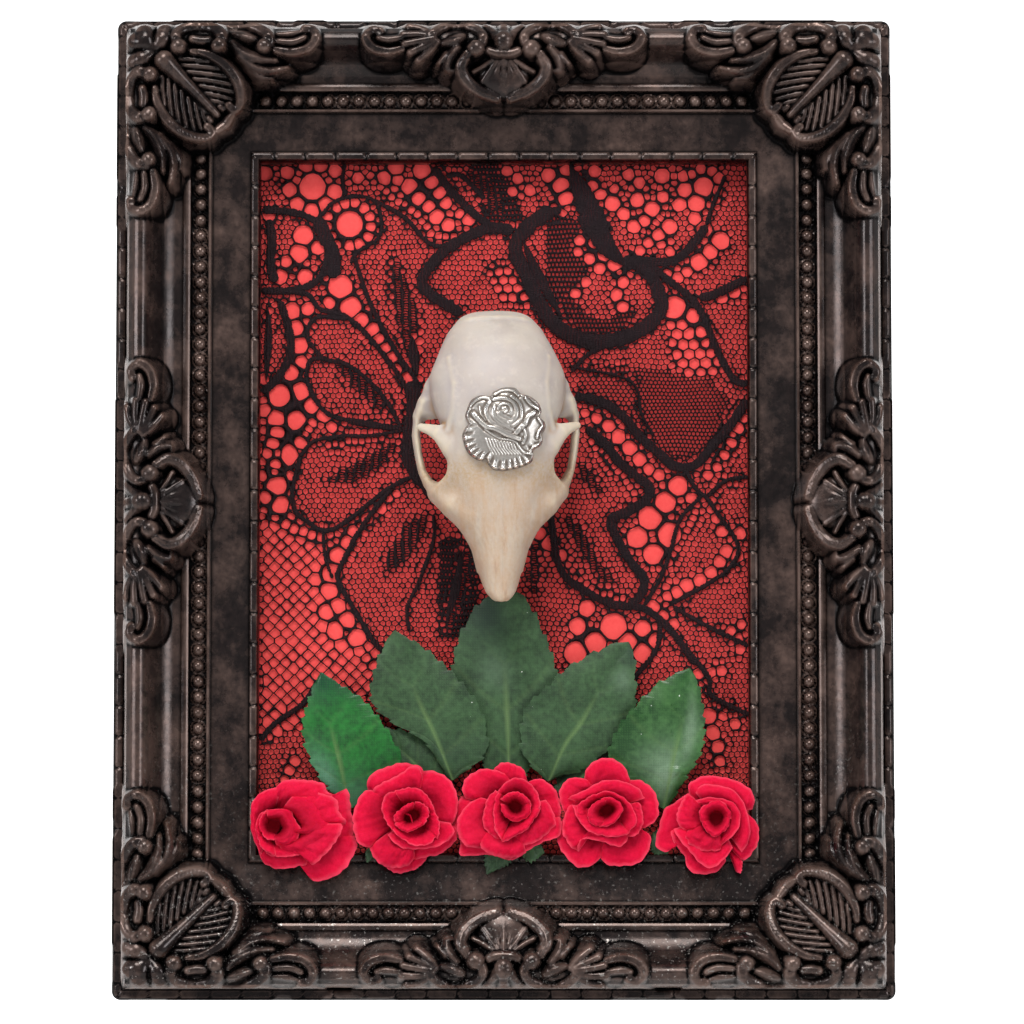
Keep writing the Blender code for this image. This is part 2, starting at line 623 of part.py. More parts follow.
CREST_HALF = (
    (((4.9, 26.8, 0.9), (4.4, 28.0, 0.9), (5.6, 28.7, 0.9), (7.3, 27.4, 1.0), (7.7, 24.4, 1.0), (7.2, 21.0, 0.8)),
     0.3, 1.0),
    (((5.4, 27.0, 0.5), (5.7, 24.2, 0.6), (5.5, 21.0, 0.5)), 0.2, 1.0),
    (((6.0, 15.6, 1.0), (3.8, 19.7, 0.8)), 0.4, 1.0),
    (((6.0, 15.6, 1.0), (5.2, 21.0, 0.8)), 0.4, 1.0),
    (((6.0, 15.6, 1.0), (6.9, 21.2, 0.8)), 0.4, 1.0),
    (((6.0, 15.6, 1.0), (8.6, 19.8, 0.9)), 0.4, 1.0),
    (((6.0, 15.6, 1.0), (10.4, 17.2, 0.8)), 0.4, 1.0),
    (((5.4, 16.5, 1.2), (3.9, 13.0, 1.0), (3.5, 10.2, 0.9), (4.0, 6.9, 1.0), (5.6, 4.9, 1.1), (7.6, 6.6, 1.7)),
     0.6, 1.0),
    (((6.4, 10.5, 1.0), (8.5, 12.2, 1.3), (10.8, 13.3, 0.6)), 0.3, 1.0),
    (((8.0, 9.8, 1.0), (11.2, 10.4, 0.8)), 0.3, 1.0),
    (((9.0, 8.3, 1.2), (11.5, 8.5, 1.3), (15.0, 6.4, 1.2), (17.4, 2.6, 1.1), (17.9, 0.0, 1.2)), 0.7, 1.0),
    (((8.4, 0.6, 0.6), (11.3, 4.6, 0.8)), 0.2, 1.0),
    (((8.6, 0.3, 0.6), (13.4, 3.0, 0.8)), 0.2, 1.0),
    (((4.8, 1.2, 1.3), (3.6, 4.0, 0.7)), 0.3, 1.0),
    (((6.2, 4.0, 3.4), (6.2, 12.0, 3.2), (6.6, 18.0, 3.0), (6.2, 23.0, 2.0), (6.0, 26.4, 1.8)), 0.2, FLAT),
)
CREST_MIDDLE = (
    (((4.8, 0.0, 1.9), (6.6, 0.0, 1.7)), 0.5, 1.0),
    (((4.2, 0.0, 1.1), (3.3, 0.0, 0.8)), 0.5, 1.0),
    (((8.8, 0.0, 0.7), (16.2, 0.0, 0.9)), 0.3, 1.0),
    (((5.0, 0.0, 3.0), (9.0, 0.0, 6.0), (12.0, 0.0, 6.0), (15.0, 0.0, 3.6)), -1.3, FLAT),
)


def swapped(strokes):
    return tuple((tuple((b, a, r) for a, b, r in points), *rest) for points, *rest in strokes)


def mirrored(strokes):
    return tuple((tuple((a, -b, r) for a, b, r in points), *rest) for points, *rest in strokes)


def stroke_field(a, b, out, strokes, nearest_edge):
    """Round-topped ridges that stand on the moulding, joined softly."""
    best = None
    for points, lift, rise in strokes:
        for (a0, b0, r0), (a1, b1, r1) in zip(points, points[1:]):
            run_a = a1 - a0
            run_b = b1 - b0
            share = ((a - a0) * run_a + (b - b0) * run_b) / (run_a**2 + run_b**2)
            share = np.clip(share, 0.0, 1.0)
            radius = r0 + (r1 - r0) * share
            centre_a = a0 + run_a * share
            centre_b = b0 + run_b * share
            crest = np.interp(nearest_edge(centre_a, centre_b), *BED_OUT) + lift
            flat = np.hypot(a - centre_a, b - centre_b)
            here = np.hypot(flat, np.maximum(out - crest, 0.0) / rise) - radius
            best = here if best is None else smooth_join(best, here, 0.5)
    return best


def ornament_mesh(strokes, low, high, nearest_edge):
    clear = clear_of_moulding()

    def field(a, b, out):
        body = stroke_field(a, b, out, strokes, nearest_edge)
        return np.maximum(body, np.interp(nearest_edge(a, b), *clear) - out)

    values = field(*grid(low, high, ORNAMENT_STEP))
    points, faces = surface_net(values, low, ORNAMENT_STEP)
    return points, faces


def build_corners():
    strokes = CORNER_HALF + swapped(CORNER_HALF) + CORNER_MIDDLE
    points, faces = ornament_mesh(strokes, (0.6, 0.6, 7.0), (43.4, 43.4, 24.0), np.minimum)
    a, b, out = points.T
    for name, side_x, side_z in (
        ("corner_top_left", -1, 1),
        ("corner_top_right", 1, 1),
        ("corner_bottom_left", -1, -1),
        ("corner_bottom_right", 1, -1),
    ):
        shape = np.column_stack((-side_x * a, out, -side_z * b))
        centre = (side_x * FRAME_WIDTH / 2, 0.0, side_z * FRAME_HEIGHT / 2)
        reduce_to(solid(name, shape, faces, "frame_resin", centre, 60.0), CORNER_TRIANGLES)


def build_crests():
    strokes = CREST_HALF + mirrored(CREST_HALF) + CREST_MIDDLE
    points, faces = ornament_mesh(strokes, (0.6, -30.6, 7.0), (20.2, 30.6, 24.0), lambda a, b: a)
    a, b, out = points.T
    for name, shape, centre in (
        ("crest_top", (b, out, -a), (0.0, 0.0, FRAME_HEIGHT / 2)),
        ("crest_bottom", (b, out, a), (0.0, 0.0, -FRAME_HEIGHT / 2)),
        ("crest_left", (a, out, b), (-FRAME_WIDTH / 2, 0.0, 0.0)),
        ("crest_right", (-a, out, b), (FRAME_WIDTH / 2, 0.0, 0.0)),
    ):
        reduce_to(solid(name, np.column_stack(shape), faces, "frame_resin", centre, 60.0), CREST_TRIANGLES)


def bead_string(name, length, centre, upright):
    """A half-round string of beads, pinched between one bead and the next."""
    count = max(2, round(length / BEAD_PITCH))
    pitch = length / count
    floor_out = moulding_out(BEAD_LINE) + GAP
    sections = []
    for i in range(2 * count + 1):
        along = -length / 2 + i * pitch / 2
        size = 1.0 if i % 2 else 0.3
        half = BEAD_RADIUS * (1.0 if i % 2 else 0.45)
        top = floor_out + 0.35 + 1.45 * size
        for across, out in ((-half, floor_out), (-0.62 * half, top), (0.62 * half, top), (half, floor_out)):
            sections.append((across, out, along) if upright else (along, out, across))
    faces = [(0, 1, 2, 3), tuple(range(8 * count, 8 * count + 4))]
    for i in range(2 * count):
        for j in range(4):
            after = (j + 1) % 4
            faces.append((4 * i + j, 4 * i + after, 4 * i + 4 + after, 4 * i + 4 + j))
    solid(name, sections, faces, "frame_resin", centre)


def build_bead_strings():
    across_end = FRAME_WIDTH / 2 - BEAD_END_FROM_CORNER
    up_end = FRAME_HEIGHT / 2 - BEAD_END_FROM_CORNER
    across_middle = (across_end + BEAD_GAP_AT_CREST) / 2
    up_middle = (up_end + BEAD_GAP_AT_CREST) / 2
    for word, side in (("left", -1), ("right", 1)):
        for rail, height in (("top", 1), ("bottom", -1)):
            level = height * (FRAME_HEIGHT / 2 - BEAD_LINE)
            bead_string(f"beads_{rail}_{word}", across_end - BEAD_GAP_AT_CREST, (side * across_middle, 0.0, level), False)
    for word, side in (("upper", 1), ("lower", -1)):
        for rail, place in (("left", -1), ("right", 1)):
            edge = place * (FRAME_WIDTH / 2 - BEAD_LINE)
            bead_string(f"beads_{rail}_{word}", up_end - BEAD_GAP_AT_CREST, (edge, 0.0, side * up_middle), True)


# Back: board with the red card, lace, hanger and the points that hold the board

HANGER_UP = 66.0
HANGER_WIDTH = 44.0
HANGER_HEIGHT = 9.0
HANGER_TEETH = 11
POINT_THICKNESS = 0.6
POINT_WIDTH = 7.0
POINT_REACH = 7.0


def build_board_and_lace():
    half_across = FRAME_WIDTH / 2 - REBATE_EDGE - GAP
    half_up = FRAME_HEIGHT / 2 - REBATE_EDGE - GAP
    box("backing_board", (-half_across, BOARD_BACK_OUT, -half_up), (half_across, BOARD_FRONT_OUT, half_up), "hardboard")
    lace_back = BOARD_FRONT_OUT + GAP
    box("lace_panel", (-half_across, lace_back, -half_up), (half_across, LACE_FRONT_OUT, half_up), "lace_black")


def build_hanger():
    """A plate on the back of the board with a toothed lower edge."""
    half = HANGER_WIDTH / 2
    outline = [(-half, HANGER_HEIGHT / 2), (-half, -HANGER_HEIGHT / 4), (-half + 5.0, -HANGER_HEIGHT / 2)]
    pitch = (HANGER_WIDTH - 12.0) / HANGER_TEETH
    for i in range(HANGER_TEETH):
        start = -half + 6.0 + i * pitch
        outline.append((start, -HANGER_HEIGHT / 2))
        outline.append((start + pitch / 2, -HANGER_HEIGHT / 2 + 1.8))
    outline += [(half - 5.0, -HANGER_HEIGHT / 2), (half, -HANGER_HEIGHT / 4), (half, HANGER_HEIGHT / 2)]
    plate("hanger", outline, BOARD_BACK_OUT - GAP - 0.8, BOARD_BACK_OUT - GAP, "hanger_steel", (0.0, 0.0, HANGER_UP))


def build_points():
    """Six flat points from the rebate's wall over the back of the board."""
    high_out = BOARD_BACK_OUT - GAP
    low_out = high_out - POINT_THICKNESS
    edge_across = FRAME_WIDTH / 2 - REBATE_EDGE - GAP
    edge_up = FRAME_HEIGHT / 2 - REBATE_EDGE - GAP
    half = POINT_WIDTH / 2
    outline = ((0.0, -half), (POINT_REACH * 0.55, -half), (POINT_REACH, 0.0), (POINT_REACH * 0.55, half), (0.0, half))
    for word, level in (("upper", 38.0), ("lower", -38.0)):
        right = [(-reach, wide) for reach, wide in outline]
        plate(f"point_left_{word}", outline, low_out, high_out, "hanger_steel", (-edge_across, 0.0, level))
        plate(f"point_right_{word}", right, low_out, high_out, "hanger_steel", (edge_across, 0.0, level))
    for word, side in (("left", -28.0), ("right", 28.0)):
        lower = [(wide, reach) for reach, wide in outline]
        plate(f"point_bottom_{word}", lower, low_out, high_out, "hanger_steel", (side, 0.0, -edge_up))


# Leaves, roses and charm

def build_leaf(name, base, tip, half_left, half_right, base_out, tip_out):
    """A thin toothed leaf, cupped along its middle vein."""
    base = np.array(base)
    tip = np.array(tip)
    along = tip - base
    length = np.linalg.norm(along)
    along = along / length
    left = np.array((-along[1], along[0]))
    rows = []
    for i in range(LEAF_ROWS + 1):
        share = i / LEAF_ROWS
        swell = math.sin(math.pi * share**0.85) ** 0.75 if 0 < share < 1 else 0.0
        tooth = 1.0 if i % 2 else 0.93
        centre = base + along * length * share
        lift = base_out + (tip_out - base_out) * share + 0.5 * math.sin(math.pi * share)
        for side, half in ((1, half_left), (0, 0.0), (-1, half_right)):
            wide = max(half * swell * tooth, 0.35) * side
            place = centre + left * wide + along * abs(wide) * 0.12
            rows.append((place[0], lift + (0.35 * swell if side else 0.0), place[1]))
    rows = np.array(rows)
    count = len(rows)
    offset = np.array((0.0, LEAF_THICKNESS / 2, 0.0))
    faces = []
    for i in range(LEAF_ROWS):
        for j in range(2):
            a = 3 * i + j
            for triangle in ((a, a + 1, a + 4), (a, a + 4, a + 3)):
                faces.append(triangle)
                faces.append(tuple(count + corner for corner in reversed(triangle)))
    rim = [3 * i for i in range(LEAF_ROWS + 1)] + [3 * LEAF_ROWS + 1]
    rim += [3 * i + 2 for i in range(LEAF_ROWS, -1, -1)] + [1]
    for a, b in zip(rim, rim[1:] + rim[:1]):
        faces.append((a, b, count + b))
        faces.append((a, count + b, count + a))
    centre = (base[0], base_out, base[1])
    solid(name, np.vstack((rows + offset, rows - offset)) - centre, faces, "leaf_fabric", centre)


# ring radius as a share of the rose's radius, height above the lace, depth of its lobes
ROSE_RINGS = (
    (0.29, 0.3, 0.0),
    (0.35, 3.2, 0.0),
    (0.41, 6.3, 0.0),
    (0.84, 7.7, 0.04),
    (0.97, 9.0, 0.05),
    (0.90, 10.3, 0.05),
    (0.66, 9.5, 0.04),
    (0.60, 12.0, 0.05),
    (0.42, 11.0, 0.04),
    (0.36, 13.4, 0.08),
    (0.16, 12.2, 0.10),
)
ROSE_SIDES = 16


def build_rose(name, across, up, radius, turn, bud_shift):
    points = []
    for ring, (share, height, lobe) in enumerate(ROSE_RINGS):
        inner = max(0.0, (ring - 4) / (len(ROSE_RINGS) - 5))
        for j in range(ROSE_SIDES):
            angle = 2 * math.pi * j / ROSE_SIDES
            wave = 1.0 + lobe * math.cos(5 * angle + turn + 2.2 * ring) if ring < 7 else 1.0
            wave = 1.0 + lobe * math.cos(3 * angle + turn + ring) if ring >= 7 else wave
            reach = radius * share * wave
            points.append((
                reach * math.cos(angle) + bud_shift[0] * inner,
                height + 0.35 * math.cos(5 * angle + turn) * (ring > 3),
                reach * math.sin(angle) + bud_shift[1] * inner,
            ))
    rings = len(ROSE_RINGS)
    points.append((bud_shift[0], 11.6, bud_shift[1]))
    faces = [tuple(range(ROSE_SIDES))]
    for i in range(rings - 1):
        for j in range(ROSE_SIDES):
            after = (j + 1) % ROSE_SIDES
            a = i * ROSE_SIDES
            faces.append((a + j, a + after, a + ROSE_SIDES + after, a + ROSE_SIDES + j))
    last = (rings - 1) * ROSE_SIDES
    for j in range(ROSE_SIDES):
        faces.append((last + j, last + (j + 1) % ROSE_SIDES, rings * ROSE_SIDES))
    solid(name, points, faces, "rose_paper", (across, LACE_FRONT_OUT, up))


CHARM_SIDES = 28
# share of the radius, share of the crown height
CHARM_RINGS = ((1.0, 0.0), (0.93, 0.35), (0.72, 0.50), (0.62, 0.80), (0.36, 0.82), (0.28, 1.0))


def skull_top(x, s):
    """Height of the bone's upper face, found by halving."""
    low = np.full_like(x, 16.0)
    high = np.full_like(x, 32.0)
    for _ in range(24):
        middle = (low + high) / 2
        inside = cranium_field(x, s, middle) < 0
        low = np.where(inside, middle, low)
        high = np.where(inside, high, middle)
    return high


def build_charm():
    """A cast rose with a scalloped edge, bedded on the forehead."""
    turns = np.arange(CHARM_SIDES) * 2 * math.pi / CHARM_SIDES
    scallop = 1.0 + 0.04 * np.cos(7 * turns)
    across = []
    along = []
    rise = []
    for share, crown in CHARM_RINGS:
        across.append(CHARM_ACROSS + CHARM_HALF_WIDTH * share * scallop * np.cos(turns))
        along.append(CHARM_ALONG + CHARM_HALF_HEIGHT * share * scallop * np.sin(turns))
        rise.append(np.full(CHARM_SIDES, CHARM_RIM + (CHARM_CROWN - CHARM_RIM) * crown))
    across = np.concatenate(across + [np.array([CHARM_ACROSS])])
    along = np.concatenate(along + [np.array([CHARM_ALONG])])
    rise = np.concatenate(rise + [np.array([CHARM_CROWN - 0.3])])
    under = skull_top(across, along) + GAP + 0.15
    count = len(across)
    points = np.vstack((np.column_stack((across, under + rise, along)), np.column_stack((across, under, along))))
    faces = []
    for i in range(len(CHARM_RINGS) - 1):
        for j in range(CHARM_SIDES):
            a = i * CHARM_SIDES + j
            b = i * CHARM_SIDES + (j + 1) % CHARM_SIDES
            for triangle in ((a, b, b + CHARM_SIDES), (a, b + CHARM_SIDES, a + CHARM_SIDES)):
                faces.append(triangle)
                faces.append(tuple(count + corner for corner in reversed(triangle)))
    last = (len(CHARM_RINGS) - 1) * CHARM_SIDES
    for j in range(CHARM_SIDES):
        after = (j + 1) % CHARM_SIDES
        faces.append((last + j, last + after, count - 1))
        faces.append((count + last + after, count + last + j, 2 * count - 1))
        faces.append((j, count + j, count + after))
        faces.append((j, count + after, after))
    skull_place(solid("rose_charm", points, faces, "pewter"))


clear_scene()
centre = bpy.data.objects.new("frame_centre", None)
centre.location = (0.0, 0.0, -FRAME_CENTRE_DROP * MM)
bpy.context.collection.objects.link(centre)

build_moulding()
build_corners()
build_crests()
build_bead_strings()
build_board_and_lace()
build_hanger()
build_points()
build_cranium()
build_incisors()
build_charm()
for leaf in LEAVES:
    build_leaf(*leaf)
for rose in ROSES:
    build_rose(*rose)
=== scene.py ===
"""Squirrel skull on lace in an ornate wall frame, with fabric leaves and paper roses.

Lengths are millimetres until a mesh is made. Most shapes are drawn as (across, out, up) from the middle
of the frame: across to the right, out from the wall towards the viewer, up.
"""
import math

import bpy
import numpy as np
from mathutils import Matrix, Vector
from mathutils.kdtree import KDTree


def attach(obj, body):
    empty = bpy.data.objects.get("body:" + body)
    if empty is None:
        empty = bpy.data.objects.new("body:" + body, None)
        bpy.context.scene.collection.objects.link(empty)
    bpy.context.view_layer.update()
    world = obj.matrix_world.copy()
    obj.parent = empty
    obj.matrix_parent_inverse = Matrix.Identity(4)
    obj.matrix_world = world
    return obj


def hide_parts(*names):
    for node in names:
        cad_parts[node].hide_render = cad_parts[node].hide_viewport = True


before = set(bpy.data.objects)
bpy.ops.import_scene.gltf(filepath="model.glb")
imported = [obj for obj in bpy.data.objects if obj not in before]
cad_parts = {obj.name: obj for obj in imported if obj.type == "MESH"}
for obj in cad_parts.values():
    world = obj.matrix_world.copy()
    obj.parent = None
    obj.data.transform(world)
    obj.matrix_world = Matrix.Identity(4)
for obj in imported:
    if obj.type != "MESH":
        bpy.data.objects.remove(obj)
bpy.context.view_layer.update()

MM = 0.001
FRAME_WIDTH = 160.0
FRAME_HEIGHT = 202.0
REBATE_EDGE = 27.0
SIGHT_EDGE = 29.8
BEAD_LINE = 17.7
BAND_OUT = 8.0
LIP_BACK_OUT = 5.6
FRAME_CENTRE_DROP = FRAME_HEIGHT / 2 - REBATE_EDGE / 2
BOARD_BACK_OUT = 2.0
BOARD_FRONT_OUT = 4.5
LACE_FRONT_OUT = 5.3
REST_OUT = 5.6


# Meshes

def to_world(points):
    points = np.asarray(points, dtype=float)
    return np.column_stack((points[:, 0], -points[:, 1], points[:, 2] - FRAME_CENTRE_DROP)) * MM


def facing_out(points, faces):
    """The faces turned so that a closed surface faces outwards."""
    corners = [points[faces[:, k]] for k in range(faces.shape[1])]
    volume = np.einsum("ij,ij->", corners[0], np.cross(corners[1], corners[2]))
    if faces.shape[1] == 4:
        volume += np.einsum("ij,ij->", corners[0], np.cross(corners[2], corners[3]))
    return faces[:, ::-1] if volume < 0 else faces


def make_piece(name, points, faces, finish, nodes=(), values=None, smooth=60.0, placed=None):
    """A visible piece from (across, out, up) points, or from points already in metres under a matrix."""
    world = to_world(points) if placed is None else np.asarray(points, dtype=float)
    faces = facing_out(world, np.asarray(faces))
    sides = faces.shape[1]
    data = bpy.data.meshes.new(name)
    data.vertices.add(len(world))
    data.vertices.foreach_set("co", world.astype(np.float32).ravel())
    data.loops.add(faces.size)
    data.loops.foreach_set("vertex_index", faces.astype(np.int32).ravel())
    data.polygons.add(len(faces))
    data.polygons.foreach_set("loop_start", np.arange(0, faces.size, sides, dtype=np.int32))
    data.update(calc_edges=True)
    data.shade_smooth()
    if smooth < 180.0:
        data.set_sharp_from_angle(angle=math.radians(smooth))
    for word, numbers in (values or {}).items():
        layer = data.attributes.new(word, "FLOAT", "POINT")
        layer.data.foreach_set("value", np.asarray(numbers, dtype=np.float32))
    data.materials.append(finish)
    made = bpy.data.objects.new(name, data)
    if placed is not None:
        made.matrix_world = placed
    bpy.context.scene.collection.objects.link(made)
    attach(made, "root")
    if nodes:
        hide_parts(*nodes)
    return made


def grid_faces(rows, columns, closed=False):
    """Quads of a grid of points stored row by row; closed joins each row's last point to its first."""
    i, j = np.meshgrid(np.arange(rows - 1), np.arange(columns if closed else columns - 1), indexing="ij")
    after = (j + 1) % columns
    quads = (i * columns + j, i * columns + after, (i + 1) * columns + after, (i + 1) * columns + j)
    return np.stack(quads, axis=-1).reshape(-1, 4)


def triangles(quads):
    return np.vstack((quads[:, [0, 1, 2]], quads[:, [0, 2, 3]]))


def fan(ring, centre):
    """Triangles from each edge of a closed ring of points to one centre."""
    return np.column_stack((ring, np.roll(ring, -1), np.full(len(ring), centre)))


def tube(rings, sides):
    """Triangles of rings of points stored one after another, then the centre points of both ends."""
    count = rings * sides
    low = fan(np.arange(sides), count)[:, [1, 0, 2]]
    high = fan(np.arange(count - sides, count), count + 1)
    return np.vstack((triangles(grid_faces(rings, sides, closed=True)), low, high))


def shell_faces(rows, columns):
    """Faces of a closed sheet: a grid of front points, the same grid of back points and the edge."""
    count = rows * columns
    quads = grid_faces(rows, columns)
    rim = list(range(columns)) + [(k + 1) * columns - 1 for k in range(1, rows)]
    rim += [count - 1 - k for k in range(1, columns)]
    rim += [(rows - 1 - k) * columns for k in range(1, rows - 1)]
    rim = np.array(rim)
    after = np.roll(rim, -1)
    edge = np.column_stack((rim, rim + count, after + count, after))
    return np.vstack((quads, quads[:, ::-1] + count, edge))


def thick_sheet(points, rows, columns, thickness):
    """A closed sheet from a grid of points, grown by half its thickness to both sides."""
    points = points.reshape(rows, columns, 3)
    slope_a = np.gradient(points, axis=0)
    slope_b = np.gradient(points, axis=1)
    normal = np.cross(slope_a, slope_b)
    normal /= np.linalg.norm(normal, axis=-1, keepdims=True) + 1e-9
    front = (points + normal * thickness / 2).reshape(-1, 3)
    back = (points - normal * thickness / 2).reshape(-1, 3)
    return np.vstack((front, back)), shell_faces(rows, columns)


def ramp(value, start, end):
    """0 to 1 as the value goes from start to end, which may be the lower of the two."""
    return np.clip((value - start) / (end - start), 0.0, 1.0)


def smooth_max(a, b, reach):
    near = np.maximum(reach - np.abs(a - b), 0.0) / reach
    return np.maximum(a, b) + near * near * reach / 4


def wave_noise(x, y, seed, scale, octaves=3):
    """Smooth seeded noise between about -1 and 1 from a few crossing waves."""
    rng = np.random.default_rng(seed)
    total = np.zeros_like(x, dtype=float)
    size = 1.0
    for _ in range(octaves):
        for _ in range(4):
            turn = rng.uniform(0, 2 * math.pi)
            shift = rng.uniform(0, 2 * math.pi)
            run = scale * rng.uniform(0.7, 1.3)
            total += size * np.sin((x * math.cos(turn) + y * math.sin(turn)) / run * 2 * math.pi
                                   + shift) / 4
        size *= 0.55
        scale *= 0.5
    return total


# Finishes

class Nodes:
    """Small helper that builds a material's nodes; noise and cells take scales in cycles to the metre."""

    def __init__(self, name):
        self.material = bpy.data.materials.new(name)
        self.material.use_nodes = True
        self.tree = self.material.node_tree
        self.shader = self.tree.nodes["Principled BSDF"]
        self.where = self.add("ShaderNodeTexCoord").outputs["Object"]

    def add(self, kind, settings=None, **inputs):
        made = self.tree.nodes.new(kind)
        for word, value in (settings or {}).items():
            setattr(made, word, value)
        for word, value in inputs.items():
            self.give(made.inputs[word.replace("_", " ")], value)
        return made

    def give(self, socket, value):
        if isinstance(value, bpy.types.NodeSocket):
            self.tree.links.new(value, socket)
        elif isinstance(value, tuple) and len(value) == 3 and socket.type == "RGBA":
            socket.default_value = (*value, 1.0)
        else:
            socket.default_value = value

    def set(self, **inputs):
        for word, value in inputs.items():
            self.give(self.shader.inputs[word.replace("_", " ")], value)

    def axes(self):
        """The place across and up or along a piece, in metres."""
        apart = self.add("ShaderNodeSeparateXYZ", Vector=self.where).outputs
        return apart["X"], apart["Z"]

    def noise(self, scale, detail=4.0, roughness=0.55, stretch=None, distortion=0.0):
        where = self.where
        if stretch:
            where = self.add("ShaderNodeMapping", Vector=where, Scale=stretch).outputs["Vector"]
        made = self.add("ShaderNodeTexNoise", Vector=where, Scale=scale, Detail=detail, Roughness=roughness,
                        Distortion=distortion)
        return made.outputs["Fac"]

    def cells(self, scale):
        return self.add("ShaderNodeTexVoronoi", Vector=self.where, Scale=scale).outputs["Distance"]

    def weave(self, direction):
        settings = {"wave_type": "BANDS", "bands_direction": direction}
        made = self.add("ShaderNodeTexWave", settings, Vector=self.where, Scale=640.0, Distortion=2.2,
                        Detail=2.0,
                        Detail_Scale=1.4)
        return made.outputs["Fac"]

    def value(self, name):
        return self.add("ShaderNodeAttribute", {"attribute_name": name}).outputs["Fac"]

    def span(self, value, low, high, to_low=0.0, to_high=1.0):
        made = self.add("ShaderNodeMapRange", Value=value)
        for word, number in zip(("From Min", "From Max", "To Min", "To Max"), (low, high, to_low, to_high)):
            made.inputs[word].default_value = number
        return made.outputs["Result"]

    def maths(self, kind, a, b=0.5):
        made = self.add("ShaderNodeMath", {"operation": kind})
        self.give(made.inputs[0], a)
        self.give(made.inputs[1], b)
        return made.outputs["Value"]

    def times(self, a, b):
        return self.maths("MULTIPLY", a, b)

    def plus(self, a, b):
        return self.maths("ADD", a, b)

    def minus(self, a, b):
        return self.maths("SUBTRACT", a, b)

    def mix(self, share, a, b):
        made = self.add("ShaderNodeMix", {"data_type": "RGBA"})
        self.give(made.inputs["Factor"], share)
        self.give(made.inputs["A"], a)
        self.give(made.inputs["B"], b)
        return made.outputs["Result"]

    def bump(self, height, distance, strength=1.0, under=None):
        made = self.add("ShaderNodeBump", Height=height, Distance=distance, Strength=strength)
        if under:
            self.give(made.inputs["Normal"], under)
        self.give(self.shader.inputs["Normal"], made.outputs["Normal"])
        return made.outputs["Normal"]


def frame_finish():
    """Black paint over bronze: brown where the bronze shows or is blotched, painted highlights on bar edges and
    bead seats, painted shade in the hollows, specks of dust.
    """
    n = Nodes("frame_resin")
    relief_tone = n.value("relief_tone")
    patch = n.noise(120.0, 7.0, 0.68)
    fine = n.noise(750.0, 4.0, 0.6)
    wide = n.noise(45.0, 6.0, 0.70, stretch=(1.0, 1.0, 0.55))
    dark = n.mix(n.span(fine, 0.35, 0.7), (0.0080, 0.0056, 0.0060), (0.023, 0.0150, 0.0145))
    brown = n.mix(n.span(fine, 0.3, 0.7), (0.054, 0.0330, 0.0280), (0.125, 0.078, 0.064))
    blotch = n.plus(n.times(patch, 0.5), n.times(wide, 0.5))
    colour = n.mix(n.span(blotch, 0.455, 0.60), dark, brown)
    # bronze brown from wear on raised parts, and painted highlights on the bars' edges and the beads' seats
    rubbed_and_painted_highlight = n.span(n.plus(relief_tone, n.times(patch, 0.30)), 0.26, 0.78)
    colour = n.mix(rubbed_and_painted_highlight, colour, n.mix(n.span(patch, 0.4, 0.6), (0.105, 0.060, 0.046),
                                         (0.195, 0.130, 0.108)))
    # painted shade: the hollows darkened to black and given less reflection
    hollow = n.span(relief_tone, -0.03, -0.28)
    colour = n.mix(hollow, colour, (0.0030, 0.0026, 0.0030))
    dust = n.times(n.span(n.noise(1400.0, 3.0, 0.6), 0.61, 0.68), n.value("dust"))
    colour = n.mix(dust, colour, (0.25, 0.23, 0.215))
    smooth = n.minus(1.0, n.times(n.value("bead"), 0.5))
    rough = n.times(n.span(patch, 0.35, 0.65, 0.19, 0.36), smooth)
    n.set(Base_Color=colour, Metallic=0.40, Roughness=rough)
    n.set(Specular_IOR_Level=n.span(hollow, 0.0, 1.0, 0.55, 0.10), Specular_Tint=(1.0, 0.93, 0.90))
    n.bump(n.plus(fine, n.times(patch, 0.6)), 0.00007, 0.6)
    return n.material


